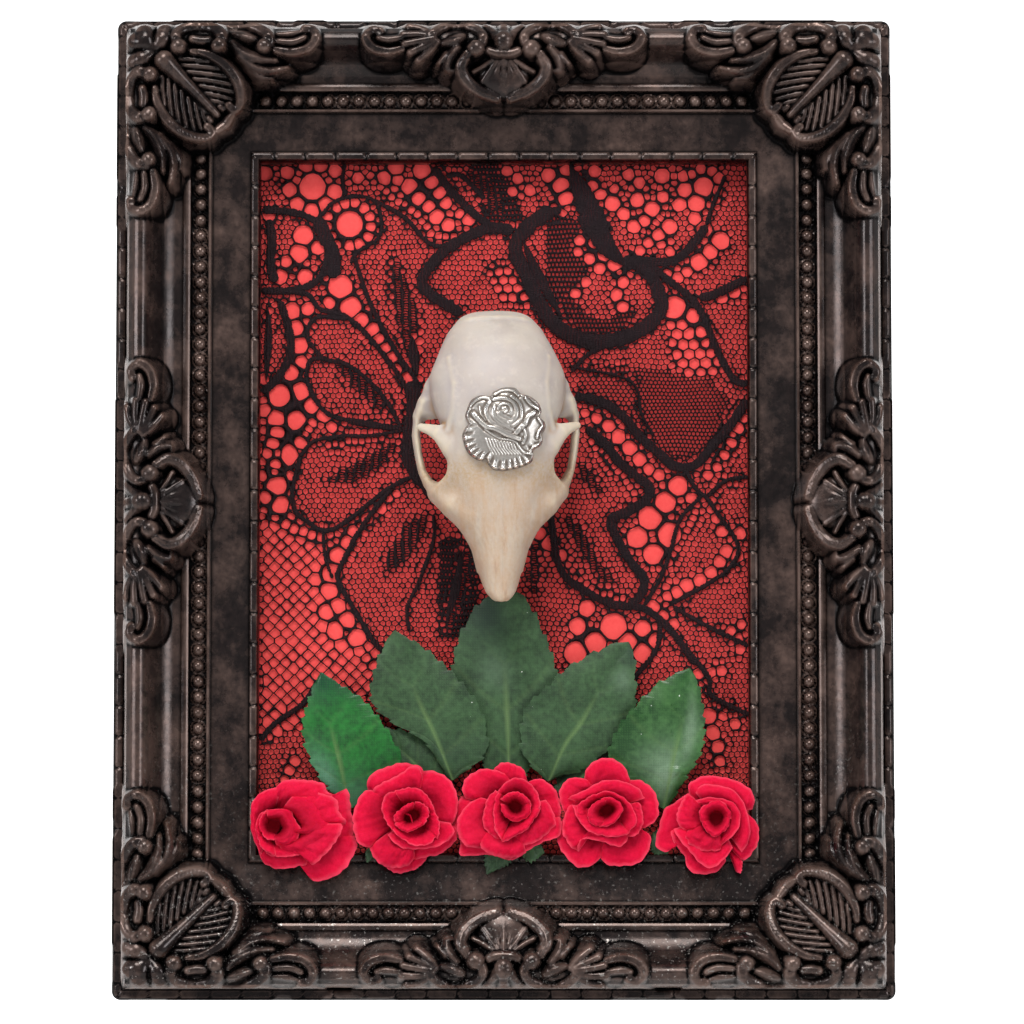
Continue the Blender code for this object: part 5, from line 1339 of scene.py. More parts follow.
# each leaf: middle vein and both edges from base to tip as (across, up), then how far out its ends lie
LEAVES = {
    "leaf_under_left": (
        ((-12.6, -59.6), (-19.0, -52.0), (-27.0, -45.0)),
        ((-13.0, -59.0), (-20.0, -55.6), (-25.6, -50.6), (-27.0, -45.0)),
        ((-10.6, -58.0), (-12.6, -51.0), (-18.6, -46.6), (-27.0, -45.0)),
        6.2, 6.6,
    ),
    "leaf_under_right": (
        ((12.6, -59.6), (19.0, -52.0), (26.0, -45.4)),
        ((10.4, -58.0), (12.6, -51.6), (18.4, -47.0), (26.0, -45.4)),
        ((13.4, -59.0), (20.2, -56.2), (24.6, -51.4), (26.0, -45.4)),
        6.2, 6.6,
    ),
    "leaf_middle": (
        ((1.0, -58.4), (0.9, -48.0), (0.3, -34.5), (-0.6, -17.6)),
        ((0.2, -58.4), (-5.6, -51.0), (-10.6, -42.0), (-10.6, -33.6), (-9.0, -26.4), (-4.8, -19.6),
         (-0.6, -17.6)),
        ((1.8, -58.4), (7.4, -51.0), (11.0, -42.0), (10.8, -33.6), (8.2, -26.0), (4.2, -18.6),
         (-0.6, -17.6)),
        6.2, 7.0,
    ),
    "leaf_left": (
        ((-10.4, -56.2), (-14.2, -47.0), (-17.8, -39.0), (-22.4, -25.6)),
        ((-11.0, -56.0), (-16.2, -48.4), (-22.4, -44.6), (-27.2, -39.8), (-26.2, -32.6), (-24.0, -27.8),
         (-22.4, -25.6)),
        ((-9.6, -55.6), (-3.6, -50.4), (-4.6, -42.0), (-9.6, -35.2), (-15.2, -30.0), (-18.8, -27.6),
         (-22.4, -25.6)),
        7.8, 8.6,
    ),
    "leaf_right": (
        ((9.2, -56.4), (12.6, -49.0), (15.8, -44.6), (20.4, -36.4), (25.6, -28.0)),
        ((8.4, -56.0), (3.8, -50.4), (4.2, -42.0), (9.4, -36.6), (13.4, -33.0), (21.6, -28.6),
         (25.6, -28.0)),
        ((10.0, -55.8), (17.4, -53.4), (23.6, -47.0), (26.8, -41.0), (27.0, -34.0), (26.6, -30.4),
         (25.6, -28.0)),
        7.8, 8.6,
    ),
    "leaf_far_left": (
        ((-31.4, -62.0), (-33.8, -52.0), (-36.2, -42.0), (-37.4, -34.2)),
        ((-32.2, -62.0), (-38.4, -54.4), (-41.2, -46.0), (-39.6, -38.6), (-38.2, -35.6), (-37.4, -34.2)),
        ((-30.6, -61.6), (-21.4, -54.0), (-22.6, -48.0), (-28.2, -40.4), (-33.0, -37.0), (-37.4, -34.2)),
        7.8, 8.8,
    ),
    "leaf_far_right": (
        ((32.6, -62.0), (34.8, -52.0), (36.8, -43.0), (38.0, -33.4)),
        ((31.8, -61.6), (25.4, -55.8), (21.4, -51.6), (24.0, -44.6), (30.8, -37.2), (35.0, -34.6),
         (38.0, -33.4)),
        ((33.4, -62.0), (36.8, -56.4), (40.4, -50.4), (41.0, -43.6), (39.8, -36.6), (38.0, -33.4)),
        9.2, 10.0,
    ),
    # tips that show below the roses
    "leaf_tip_left": (
        ((-25.4, -68.6), (-26.8, -71.0), (-27.8, -73.0)),
        ((-26.0, -68.4), (-27.9, -70.8), (-27.8, -73.0)),
        ((-24.8, -69.0), (-26.2, -71.8), (-27.8, -73.0)),
        11.6, 12.0,
    ),
    "leaf_tip_middle": (
        ((1.4, -67.6), (-0.9, -71.5), (-3.4, -75.4)),
        ((0.2, -67.8), (-3.6, -71.2), (-3.4, -75.4)),
        ((2.6, -68.4), (1.6, -72.6), (-3.4, -75.4)),
        11.6, 12.2,
    ),
    "leaf_tip_middle_right": (
        ((3.0, -67.6), (5.4, -69.8), (8.2, -71.0)),
        ((3.6, -66.6), (6.8, -68.4), (8.2, -71.0)),
        ((2.4, -69.0), (5.2, -72.8), (8.2, -71.0)),
        11.6, 12.0,
    ),
    "leaf_tip_right": (
        ((30.4, -67.0), (32.0, -69.4), (33.4, -71.2)),
        ((31.2, -66.4), (33.4, -68.6), (33.4, -71.2)),
        ((29.6, -67.8), (30.6, -71.0), (33.4, -71.2)),
        11.6, 12.0,
    ),
}
LEAF_THICKNESS = 0.32
LEAF_LEAST_OUT = 5.75
LEAF_TEETH = 11
LEAF_ARCH = 0.45
LEAF_GLUE = 0.45
VEINS_A_SIDE = 4.25
# tinted parts of a leaf, with painted shade as dark on the middle leaf's top and painted sheen as pale on the
# two far leaves: kind, how far along, side and share across, half length, half breadth, strength
LEAF_TINTS_AND_PAINTED_LIGHT = {
    "leaf_far_left": (("dark", 0.98, 0.0, 0.20, 2.0, 0.9), ("dark", 0.10, 0.9, 0.22, 0.5, 0.5),
                      ("pale_and_painted_sheen", 0.22, -0.75, 0.22, 0.50, 0.95), ("pale_and_painted_sheen", 0.05, 0.0, 0.16, 1.0, 0.7)),
    "leaf_far_right": (("pale_and_painted_sheen", 0.55, 0.40, 0.22, 0.28, 0.75), ("pale_and_painted_sheen", 0.26, -0.10, 0.20, 0.45, 0.80),
                       ("dark", 0.96, -0.3, 0.16, 0.8, 0.35), ("gloss", 0.27, 0.30, 0.035, 0.42, 1.0)),
    "leaf_middle": (("dark", 0.86, -0.5, 0.14, 0.6, 0.75), ("pale_and_painted_sheen", 0.60, -0.2, 0.10, 0.3, 0.30),
                    ("dark", 0.25, 0.0, 0.34, 0.05, 0.7)),
    "leaf_left": (("dark", 0.16, 0.0, 0.12, 1.0, 0.35),),
    "leaf_right": (("pale_and_painted_sheen", 0.76, 0.50, 0.07, 0.30, 0.45), ("dark", 0.93, 0.7, 0.08, 0.6, 0.5)),
}


def leaf_tint_and_painted_light(name, kind, share, across):
    """How strongly one line of a leaf takes its soft-edged parts of a kind: tints, painted shade, painted
    sheen, gloss.
    """
    amount = np.zeros(len(share))
    for part, along, side, long, broad, strength in LEAF_TINTS_AND_PAINTED_LIGHT.get(name, ()):
        if part == kind:
            far = ((share - along) / long) ** 2 + ((across - side) / broad) ** 2
            amount = np.maximum(amount, strength * np.exp(-far))
    return amount


def build_leaf(name, vein_line, left_edge, right_edge, base_out, tip_out, finish):
    """Lines of points from base to tip, side by side from the left edge across the vein to the right one."""
    columns = 160
    half = 12
    share = np.linspace(0.0, 1.0, columns)
    middle = even_line(vein_line, columns)
    seed = sum(ord(letter) for letter in name)
    rng = np.random.default_rng(seed)
    lines = []
    values = {"vein": [], "pale_and_painted_sheen": [], "dark": [], "gloss": []}
    for side, edge in ((-1, left_edge), (1, right_edge)):
        reach = even_line(edge, columns) - middle
        width = np.linalg.norm(reach, axis=1)
        full = ramp(width, 0.0, 3.0)
        uneven = share * LEAF_TEETH + 0.3 * np.sin(share * 9.0 + seed) + rng.uniform(0, 1)
        tooth = 0.80 * ((uneven % 1.0) ** 1.2 - 0.45) + 0.24 * ((uneven * 2.7) % 1.0 - 0.5)
        toothed = reach * (tooth * full * ramp(share, 1.0, 0.875) / np.maximum(width, 0.6))[:, None]
        levels = np.linspace(0.0, 1.0, half + 1)[1:] if side > 0 else np.linspace(1.0, 0.0, half + 1)
        for level in levels:
            place = middle + reach * level + toothed * level**5
            wide = level * width
            fold = 0.9 * (1 - np.exp(-wide / 2.2)) - 0.055 * wide
            ripple = 0.28 * level**2 * np.sin(share * 13.0 + side * 1.4 + seed)
            ribs = (share * VEINS_A_SIDE - level * 0.9 + 0.3) % 1.0
            rib = np.exp(-((np.minimum(ribs, 1 - ribs) / 0.055) ** 2)) * full * (level < 0.96)
            for kind in ("pale_and_painted_sheen", "dark", "gloss"):
                values[kind].append(leaf_tint_and_painted_light(name, kind, share, side * level))
            out = base_out + (tip_out - base_out) * share + LEAF_ARCH * np.sin(math.pi * share)
            out = out + 0.34 * fold + ripple - 0.35 * level**3 - 0.10 * rib + LEAF_GLUE * values["gloss"][-1]
            lines.append(np.column_stack((place[:, 0], out, place[:, 1])))
            main = np.exp(-((wide / 0.30) ** 2)) * ramp(share, 0.66, 0.41)
            values["vein"].append(np.maximum(main, 0.24 * rib * ramp(share, 0.80, 0.60)))
    points, faces = thick_sheet(np.vstack(lines), len(lines), columns, LEAF_THICKNESS)
    points[:, 1] = np.maximum(points[:, 1], LEAF_LEAST_OUT)
    own = [name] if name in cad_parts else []
    values = {kind: np.tile(np.concatenate(amounts), 2) for kind, amounts in values.items()}
    make_piece(name, points, faces, finish, own, values, 60.0)


# Paper roses

# each rose: middle in the frame, size of one drawing unit, the points drawn at its middle and at its cup,
# then its petals from low to high: rim height, fold (how far out it starts), drop beyond the fold, rim
ROSES = {
    "rose_far_left": (
        (-40.6, -66.3), 0.0308, (412, 437), (190, 415),
        (
            (8.4, 0.7, 0.6, ((752, 470), (757, 550), (735, 620), (680, 695), (610, 745), (540, 775),
                             (475, 775), (432, 728))),
            (8.8, 0.7, 0.7, ((560, 190), (640, 212), (690, 168), (714, 230), (725, 340), (745, 430),
                             (752, 510))),
            (9.4, 0.7, 0.6, ((110, 500), (122, 600), (160, 665), (240, 695), (340, 688), (462, 668))),
            (9.8, 0.7, 0.5, ((215, 172), (300, 112), (440, 116), (548, 140), (565, 182), (625, 205))),
            (10.4, 0.7, 0.5, ((130, 610), (85, 500), (66, 400), (68, 290), (120, 205), (200, 165),
                              (262, 160))),
            (10.6, 0.6, 0.8, ((470, 190), (560, 210), (632, 250), (650, 330), (712, 400))),
            (11.0, 0.8, 0.2, ((145, 560), (200, 612), (330, 615), (460, 596))),
            (11.4, 0.55, 0.9, ((680, 400), (642, 490), (572, 585), (478, 668), (455, 640))),
            (11.8, 0.9, 0.1, ((172, 300), (110, 370), (106, 470), (145, 560), (232, 612))),
            (12.0, 0.50, 1.9, ((610, 410), (590, 480), (500, 560), (400, 600), (290, 612))),
            (12.5, 0.36, 2.8, ((350, 205), (470, 240), (545, 320), (604, 430), (520, 470), (410, 470))),
            (12.3, 1.0, 0.0, ((240, 508), (165, 495), (128, 430), (132, 360), (165, 315))),
            (12.9, 0.42, 1.7, ((168, 312), (310, 308), (350, 360), (390, 450), (330, 535), (240, 548))),
        ),
    ),
    "rose_left": (
        (-19.8, -63.9), 0.0308, (1086, 359), (1120, 350),
        (
            (7.8, 0.7, 0.3, ((930, 650), (990, 716), (1080, 722), (1160, 690), (1222, 632))),
            (9.0, 0.7, 0.4, ((1405, 390), (1422, 480), (1385, 545), (1300, 602), (1200, 622), (1130, 640))),
            (9.3, 0.7, 0.4, ((818, 165), (825, 120), (900, 52), (1010, 8), (1110, 4), (1180, 22),
                             (1202, 70))),
            (9.8, 0.7, 0.4, ((1190, 45), (1280, 58), (1362, 98), (1412, 180), (1426, 270), (1415, 350),
                             (1390, 410))),
            (9.9, 0.7, 0.4, ((835, 562), (770, 525), (738, 440), (740, 330), (770, 240), (820, 182),
                             (900, 190))),
            (10.3, 0.8, 0.2, ((842, 190), (900, 150), (985, 105), (1060, 58), (1115, 24), (1175, 40),
                              (1195, 110))),
            (10.6, 0.56, 1.7, ((835, 560), (900, 650), (990, 690), (1090, 672), (1140, 632))),
            (11.3, 0.9, 0.1, ((960, 480), (1060, 562), (1160, 570), (1300, 548), (1392, 478), (1390, 400))),
            (12.1, 1.0, 0.0, ((1030, 178), (952, 215), (930, 290), (945, 370), (1005, 458))),
            (12.3, 1.0, 0.0, ((985, 432), (1070, 512), (1160, 546), (1250, 530), (1306, 470))),
            (12.5, 1.0, 0.0, ((1300, 505), (1309, 410), (1280, 320), (1240, 245))),
            (12.8, 0.78, 0.9, ((1262, 290), (1220, 212), (1120, 166), (1010, 184))),
            (11.0, 0.7, 0.3, ((1068, 330), (1108, 345), (1130, 400))),
            (12.8, 0.62, 0.8, ((1140, 258), (1070, 290), (1015, 350), (1018, 405))),
            (12.9, 0.80, 0.5, ((1018, 400), (1062, 445), (1140, 442), (1202, 408))),
            (12.6, 1.0, 0.0, ((1195, 418), (1236, 350), (1218, 280), (1150, 258))),
        ),
    ),
    "rose_middle": (
        (0.7, -63.1), 0.0426, (300, 290), (338, 262),
        (
            (8.8, 0.7, 0.5, ((320, 522), (240, 490), (150, 490), (78, 486), (80, 420), (48, 350), (48, 270),
                             (76, 208))),
            (9.0, 0.7, 0.4, ((228, 78), (270, 55), (322, 52), (372, 76), (398, 130))),
            (9.4, 0.7, 0.4, ((400, 135), (462, 125), (512, 160), (546, 212), (556, 275), (552, 335))),
            (9.6, 0.7, 0.4, ((92, 215), (88, 150), (130, 100), (190, 80), (245, 86), (305, 105))),
            (9.8, 0.7, 0.3, ((560, 310), (555, 392), (470, 425), (400, 468), (318, 524))),
            (10.6, 0.7, 0.5, ((168, 214), (110, 248), (68, 310), (63, 375), (95, 435), (165, 462))),
            (11.0, 0.76, 1.0, ((160, 408), (200, 468), (308, 500), (390, 482))),
            (11.3, 0.62, 1.1, ((490, 225), (516, 282), (530, 340), (472, 402), (402, 436), (340, 448))),
            (11.7, 0.72, 0.9, ((242, 178), (204, 235), (186, 312), (204, 375), (268, 425))),
            (12.2, 1.0, 0.0, ((248, 190), (300, 142), (352, 124), (402, 146), (442, 190), (458, 245),
                              (440, 292))),
            (12.2, 1.0, 0.0, ((278, 432), (248, 375), (236, 300), (243, 225), (260, 186))),
            (12.5, 0.85, 0.4, ((458, 262), (437, 312), (382, 372), (330, 402), (272, 434))),
            (12.9, 0.80, 0.3, ((268, 222), (312, 194), (348, 190), (392, 214), (414, 242))),
            (12.8, 0.62, 0.9, ((414, 234), (406, 292), (370, 322), (320, 322), (284, 292), (262, 244))),
        ),
    ),
    "rose_right": (
        (21.2, -63.1), 0.0426, (780, 290), (778, 272),
        (
            (8.8, 0.7, 0.4, ((945, 370), (982, 400), (976, 462), (930, 520), (852, 542), (780, 532),
                             (738, 502))),
            (8.9, 0.7, 0.4, ((745, 502), (700, 536), (640, 546), (590, 502), (548, 452), (538, 390),
                             (562, 310))),
            (9.2, 0.7, 0.4, ((664, 124), (680, 75), (730, 38), (792, 27), (852, 60), (882, 120),
                             (886, 155))),
            (9.4, 0.7, 0.4, ((890, 125), (952, 140), (1002, 190), (1022, 262), (1006, 325), (942, 366))),
            (9.7, 0.7, 0.4, ((682, 126), (604, 121), (556, 170), (552, 240), (578, 300))),
            (10.6, 0.7, 0.6, ((602, 245), (574, 300), (563, 372), (590, 432), (632, 478))),
            (10.8, 0.9, 0.1, ((632, 478), (652, 416), (740, 420), (838, 448), (885, 400))),
            (10.9, 0.8, 0.3, ((878, 402), (930, 382), (946, 310), (930, 235))),
            (11.3, 0.80, 0.6, ((575, 216), (660, 190), (750, 134), (832, 138), (912, 165), (962, 215))),
            (11.9, 0.9, 0.1, ((604, 252), (640, 322), (700, 382), (782, 400), (888, 388))),
            (12.1, 1.0, 0.0, ((880, 392), (914, 330), (896, 264), (850, 214), (776, 187), (708, 202))),
            (12.0, 1.0, 0.0, ((765, 184), (690, 214), (628, 260), (650, 310))),
            (12.9, 0.62, 0.8, ((764, 217), (710, 244), (680, 290), (698, 334), (748, 354))),
            (12.7, 0.85, 0.4, ((738, 354), (792, 342), (843, 286), (837, 244), (790, 217), (745, 220))),
        ),
    ),
    "rose_far_right": (
        (41.3, -65.2), 0.0426, (1251, 338), (1300, 312),
        (
            (8.0, 0.8, 0.2, ((1392, 500), (1418, 512), (1414, 568), (1394, 570))),
            (8.6, 0.7, 0.4, ((1165, 185), (1105, 235), (1050, 268), (1025, 350), (1003, 440), (1062, 470),
                             (1084, 400))),
            (8.8, 0.7, 0.4, ((1452, 288), (1490, 340), (1499, 402), (1480, 462), (1430, 512), (1372, 462))),
            (9.2, 0.7, 0.4, ((1076, 365), (1095, 430), (1140, 492), (1165, 552), (1220, 579), (1290, 566),
                             (1342, 520))),
            (9.4, 0.7, 0.4, ((1165, 195), (1168, 150), (1232, 110), (1330, 114), (1420, 146), (1470, 200),
                             (1476, 265))),
            (10.5, 0.8, 0.3, ((1422, 480), (1452, 400), (1442, 300), (1425, 235), (1370, 175), (1255, 148),
                              (1180, 170))),
            (10.7, 0.9, 0.1, ((1082, 366), (1112, 402), (1160, 462), (1222, 532), (1290, 540),
                              (1375, 458))),
            (11.6, 0.62, 1.1, ((1155, 192), (1120, 250), (1108, 312), (1126, 358), (1162, 374))),
            (11.5, 0.9, 0.1, ((1312, 452), (1375, 392), (1404, 320), (1386, 250), (1332, 220), (1250, 214),
                              (1190, 228))),
            (11.9, 0.56, 1.2, ((1138, 380), (1162, 430), (1230, 462), (1302, 466), (1316, 436))),
            (12.8, 0.72, 0.6, ((1222, 335), (1214, 280), (1250, 244), (1312, 234), (1357, 270),
                               (1362, 314))),
            (12.7, 0.72, 0.6, ((1361, 300), (1342, 360), (1290, 396), (1248, 372), (1218, 326))),
        ),
    ),
}
PAPER = 0.26
# a petal whose rim is higher than this belongs to the cup
CUP_PETAL_HIGH = 11.9
# where a petal starts, as a share of the way from the cup's middle to its rim, and how deep that lies
CUP_START = (0.42, 3.4)
OUTER_START = (0.24, 2.6)
ROSE_LEAST_OUT = LACE_FRONT_OUT + 0.35
ROSE_MOST_OUT = 18.6
CORE_RADIUS = 2.0
CORE_LOW = 0.5
CORE_HIGH = 9.2
CORE_RINGS = 16
CORE_SIDES = 40


def petal(rim, cup, high, fold, drop, rng):
    """Grid of points of one petal, from beside the cup out to its rim, with how near its rim for a painted
    highlight, how deep for painted shade.
    """
    rows = 22
    columns = 34
    line = even_line(rim, columns)
    reach = np.linalg.norm(line - cup, axis=1).mean()
    start, depth = CUP_START if high > CUP_PETAL_HIGH else OUTER_START
    u, v = np.meshgrid(np.linspace(0, 1, rows), np.linspace(-1, 1, columns), indexing="ij")
    crease = wave_noise(u * 3.0 + reach, v * 3.0, int(rng.integers(1, 9999)), 2.4, 3)
    fine = wave_noise(u * 14.0, v * 11.0 + reach, int(rng.integers(1, 9999)), 3.0, 2)
    waves = 0.16 * crease + 0.04 * fine + 0.06 * np.sin(23.0 * v + reach)
    share = start + (1.0 - start) * u**0.9 + waves * (0.2 + u) / max(reach, 3.0)
    rise = np.sin(np.clip(u / fold, 0.0, 1.0) * math.pi / 2)
    beyond = np.clip((u - fold) / max(1.0 - fold, 0.05), 0.0, 1.0)
    side = ramp(np.abs(v), 0.72, 1.0) ** 2
    height = high - depth + depth * rise - drop * beyond**1.6 - 0.9 * side
    height = height + 0.30 * crease * np.clip(u * 1.6, 0.0, 1.0) + 0.07 * fine
    spots = cup + (line - cup)[None] * (share * (1.0 - 0.04 * side))[:, :, None]
    points = np.stack((spots[:, :, 0], height, spots[:, :, 1]), axis=-1)
    # painted highlight near the petal's rim and sides
    rim_highlight_share = np.maximum(ramp(u, 0.90, 1.0), ramp(np.abs(v), 0.93, 1.0) * (u > 0.35))
    # painted shade, strongest at the petal's root by the cup
    deep = np.clip(1.0 - u * 1.25, 0.0, 1.0)
    return points.reshape(-1, 3), rows, columns, rim_highlight_share.ravel(), deep.ravel()


def stem_core(across, up):
    """A plain round core under the petals."""
    turns = np.linspace(0, 2 * math.pi, CORE_SIDES, endpoint=False)
    levels = np.linspace(CORE_LOW, CORE_HIGH, CORE_RINGS)
    ring = CORE_RADIUS * np.column_stack((np.cos(turns), 0 * turns, np.sin(turns)))
    points = [ring + (0.0, level, 0.0) for level in levels]
    points = np.vstack(points + [(0.0, CORE_LOW, 0.0), (0.0, CORE_HIGH, 0.0)])
    return points + np.array((across, 0.0, up)), tube(CORE_RINGS, CORE_SIDES)


def build_rose(name, place, unit, zero, cup, petals, finish):
    """A rose of thick paper petals, each a closed sheet of its own, round a core that fills its heart."""
    rng = np.random.default_rng(int(abs(place[0]) * 10 - place[1] * 3))
    cup_place = np.array(((cup[0] - zero[0]) * unit, (zero[1] - cup[1]) * unit))
    points, faces = stem_core(*cup_place)
    all_points = [points]
    all_faces = [faces]
    rims = [np.zeros(len(points))]
    painted_shade_shares = [np.ones(len(points))]
    count = len(points)
    for high, fold, drop, rim in petals:
        drawn = np.array([((right - zero[0]) * unit, (zero[1] - down) * unit) for right, down in rim])
        turned = np.cross(drawn[0] - cup_place, drawn[-1] - cup_place)
        drawn = drawn if turned > 0 else drawn[::-1]
        sheet, rows, columns, rim_highlight_share, deep = petal(drawn, cup_place, high, fold, drop, rng)
        shell, quads = thick_sheet(sheet, rows, columns, PAPER)
        all_points.append(shell)
        all_faces.append(triangles(quads) + count)
        rims.append(np.tile(rim_highlight_share, 2))
        painted_shade_shares.append(np.tile(deep, 2))
        count += len(shell)
    points = np.vstack(all_points) + np.array((place[0], LACE_FRONT_OUT, place[1]))
    points[:, 1] = np.clip(points[:, 1], ROSE_LEAST_OUT, ROSE_MOST_OUT)
    values = {"rim": np.concatenate(rims), "deep": np.concatenate(painted_shade_shares)}
    make_piece(name, points, np.vstack(all_faces), finish, [name], values, 55.0)


# Back

PLATE_BEVEL = 0.12
BOARD_PLAY = 0.3
# the card lies on the board, a hair apart
CARD_BACK_OUT = BOARD_FRONT_OUT - 0.24
BOARD_TOP_OUT = BOARD_FRONT_OUT - 0.25
HANGER_UP = 66.0
HANGER_WIDTH = 44.0
HANGER_HEIGHT = 9.0
HANGER_TEETH = 11
TOOTH_DEPTH = 1.8
# steel points: reach in from the rebate and place along it
STEEL_POINT = ((0.0, -3.5), (3.85, -3.5), (7.0, 0.0), (3.85, 3.5), (0.0, 3.5))
HANGER_BACK_OUT = 0.9
POINT_BACK_OUT = 1.1
STEEL_FRONT_OUT = 1.7
POINT_UP = 38.0
POINT_ACROSS = 28.0


def plate(name, outline, low_out, high_out, finish, nodes, centre=(0.0, 0.0)):
    """A flat plate with bevelled edges, from its outline as (across, up) about a centre."""
    outline = np.array(outline)
    away = outline - outline.mean(axis=0)
    away /= np.linalg.norm(away, axis=1, keepdims=True)
    levels = (low_out, low_out + PLATE_BEVEL, high_out - PLATE_BEVEL, high_out)
    points = []
    for out, inset in zip(levels, (PLATE_BEVEL, 0.0, 0.0, PLATE_BEVEL)):
        ring = outline - away * inset + np.array(centre)
        points.append(np.column_stack((ring[:, 0], np.full(len(ring), out), ring[:, 1])))
    count = len(outline)
    cap = np.array(ear_clip(outline))
    faces = np.vstack((triangles(grid_faces(4, count, closed=True)), cap[:, ::-1], cap + 3 * count))
    make_piece(name, np.vstack(points), faces, finish, nodes, None, 30.0)


def ear_clip(outline):
    """Triangles that fill a flat outline."""
    area = np.cross(outline, np.roll(outline, -1, axis=0)).sum()
    order = list(range(len(outline))) if area > 0 else list(range(len(outline)))[::-1]
    found = []
    while len(order) > 3:
        for k in range(len(order)):
            a, b, c = (outline[order[(k + n) % len(order)]] for n in (-1, 0, 1))
            turn = (b[0] - a[0]) * (c[1] - a[1]) - (b[1] - a[1]) * (c[0] - a[0])
            if turn <= 1e-9:
                continue
            rest = [outline[i] for i in order
                    if i not in (order[k - 1], order[k], order[(k + 1) % len(order)])]
            if any(in_triangle(point, a, b, c) for point in rest):
                continue
            found.append((order[k - 1], order[k], order[(k + 1) % len(order)]))
            del order[k]
            break
        else:
            break
    found.append(tuple(order))
    return found


def in_triangle(p, a, b, c):
    """Whether p lies inside the triangle of a, b and c, which turns left."""

    def side(u, v):
        return (v[0] - u[0]) * (p[1] - u[1]) - (v[1] - u[1]) * (p[0] - u[0])

    return side(a, b) > 0 and side(b, c) > 0 and side(c, a) > 0


def build_hanger(finish):
    """A steel strip with a row of teeth for a nail along its lower edge."""
    half = HANGER_WIDTH / 2
    low = -HANGER_HEIGHT / 2
    pitch = (HANGER_WIDTH - 12.0) / HANGER_TEETH
    outline = [(half, -low), (-half, -low), (-half, low / 2), (-half + 5.0, low)]
    for i in range(HANGER_TEETH):
        start = -half + 6.0 + i * pitch
        outline += [(start, low), (start + pitch / 2, low + TOOTH_DEPTH)]
    outline += [(half - 5.0, low), (half, low / 2)]
    plate("hanger", outline, HANGER_BACK_OUT, STEEL_FRONT_OUT, finish, ["hanger"],
          (0.0, HANGER_UP))


def build_back(steel, board, card):
    """Board and card in the rebate, the steel points that hold them, and the hanger."""
    half_across = FRAME_WIDTH / 2 - REBATE_EDGE - BOARD_PLAY
    half_up = FRAME_HEIGHT / 2 - REBATE_EDGE - BOARD_PLAY
    rectangle = [(x * half_across, z * half_up) for x, z in ((-1, -1), (1, -1), (1, 1), (-1, 1))]
    plate("backing_board", rectangle, BOARD_BACK_OUT, BOARD_TOP_OUT, board, ["backing_board"])
    plate("red_card", rectangle, CARD_BACK_OUT, BOARD_FRONT_OUT, card, ())
    build_hanger(steel)
    points = []
    for word, level in (("upper", POINT_UP), ("lower", -POINT_UP)):
        for side, sign in (("left", 1.0), ("right", -1.0)):
            shape = [(sign * reach, along) for reach, along in STEEL_POINT]
            points.append((f"point_{side}_{word}", shape, (-sign * half_across, level)))
    for word, place in (("left", -POINT_ACROSS), ("right", POINT_ACROSS)):
        shape = [(along, reach) for reach, along in STEEL_POINT]
        points.append((f"point_bottom_{word}", shape, (place, -half_up)))
    for name, shape, place in points:
        plate(name, shape, POINT_BACK_OUT, STEEL_FRONT_OUT, steel, [name], place)


# Lace: a drawing in steps of 0.0792 mm from the top left corner of the lace, right and down

LACE_STEP = 0.0792
LACE_CORNER = (-51.5, 73.7)
HOLE_STEP = 0.4335
QUARTER_SHIFT = 640.4
LACE_LOW_OUT = 4.84
NET_CREST_OUT = 5.14
CORD_CREST_OUT = 5.3
RING_OUT = 4.94
LACE_PLAY = 0.4
CORD_STEP = 0.22

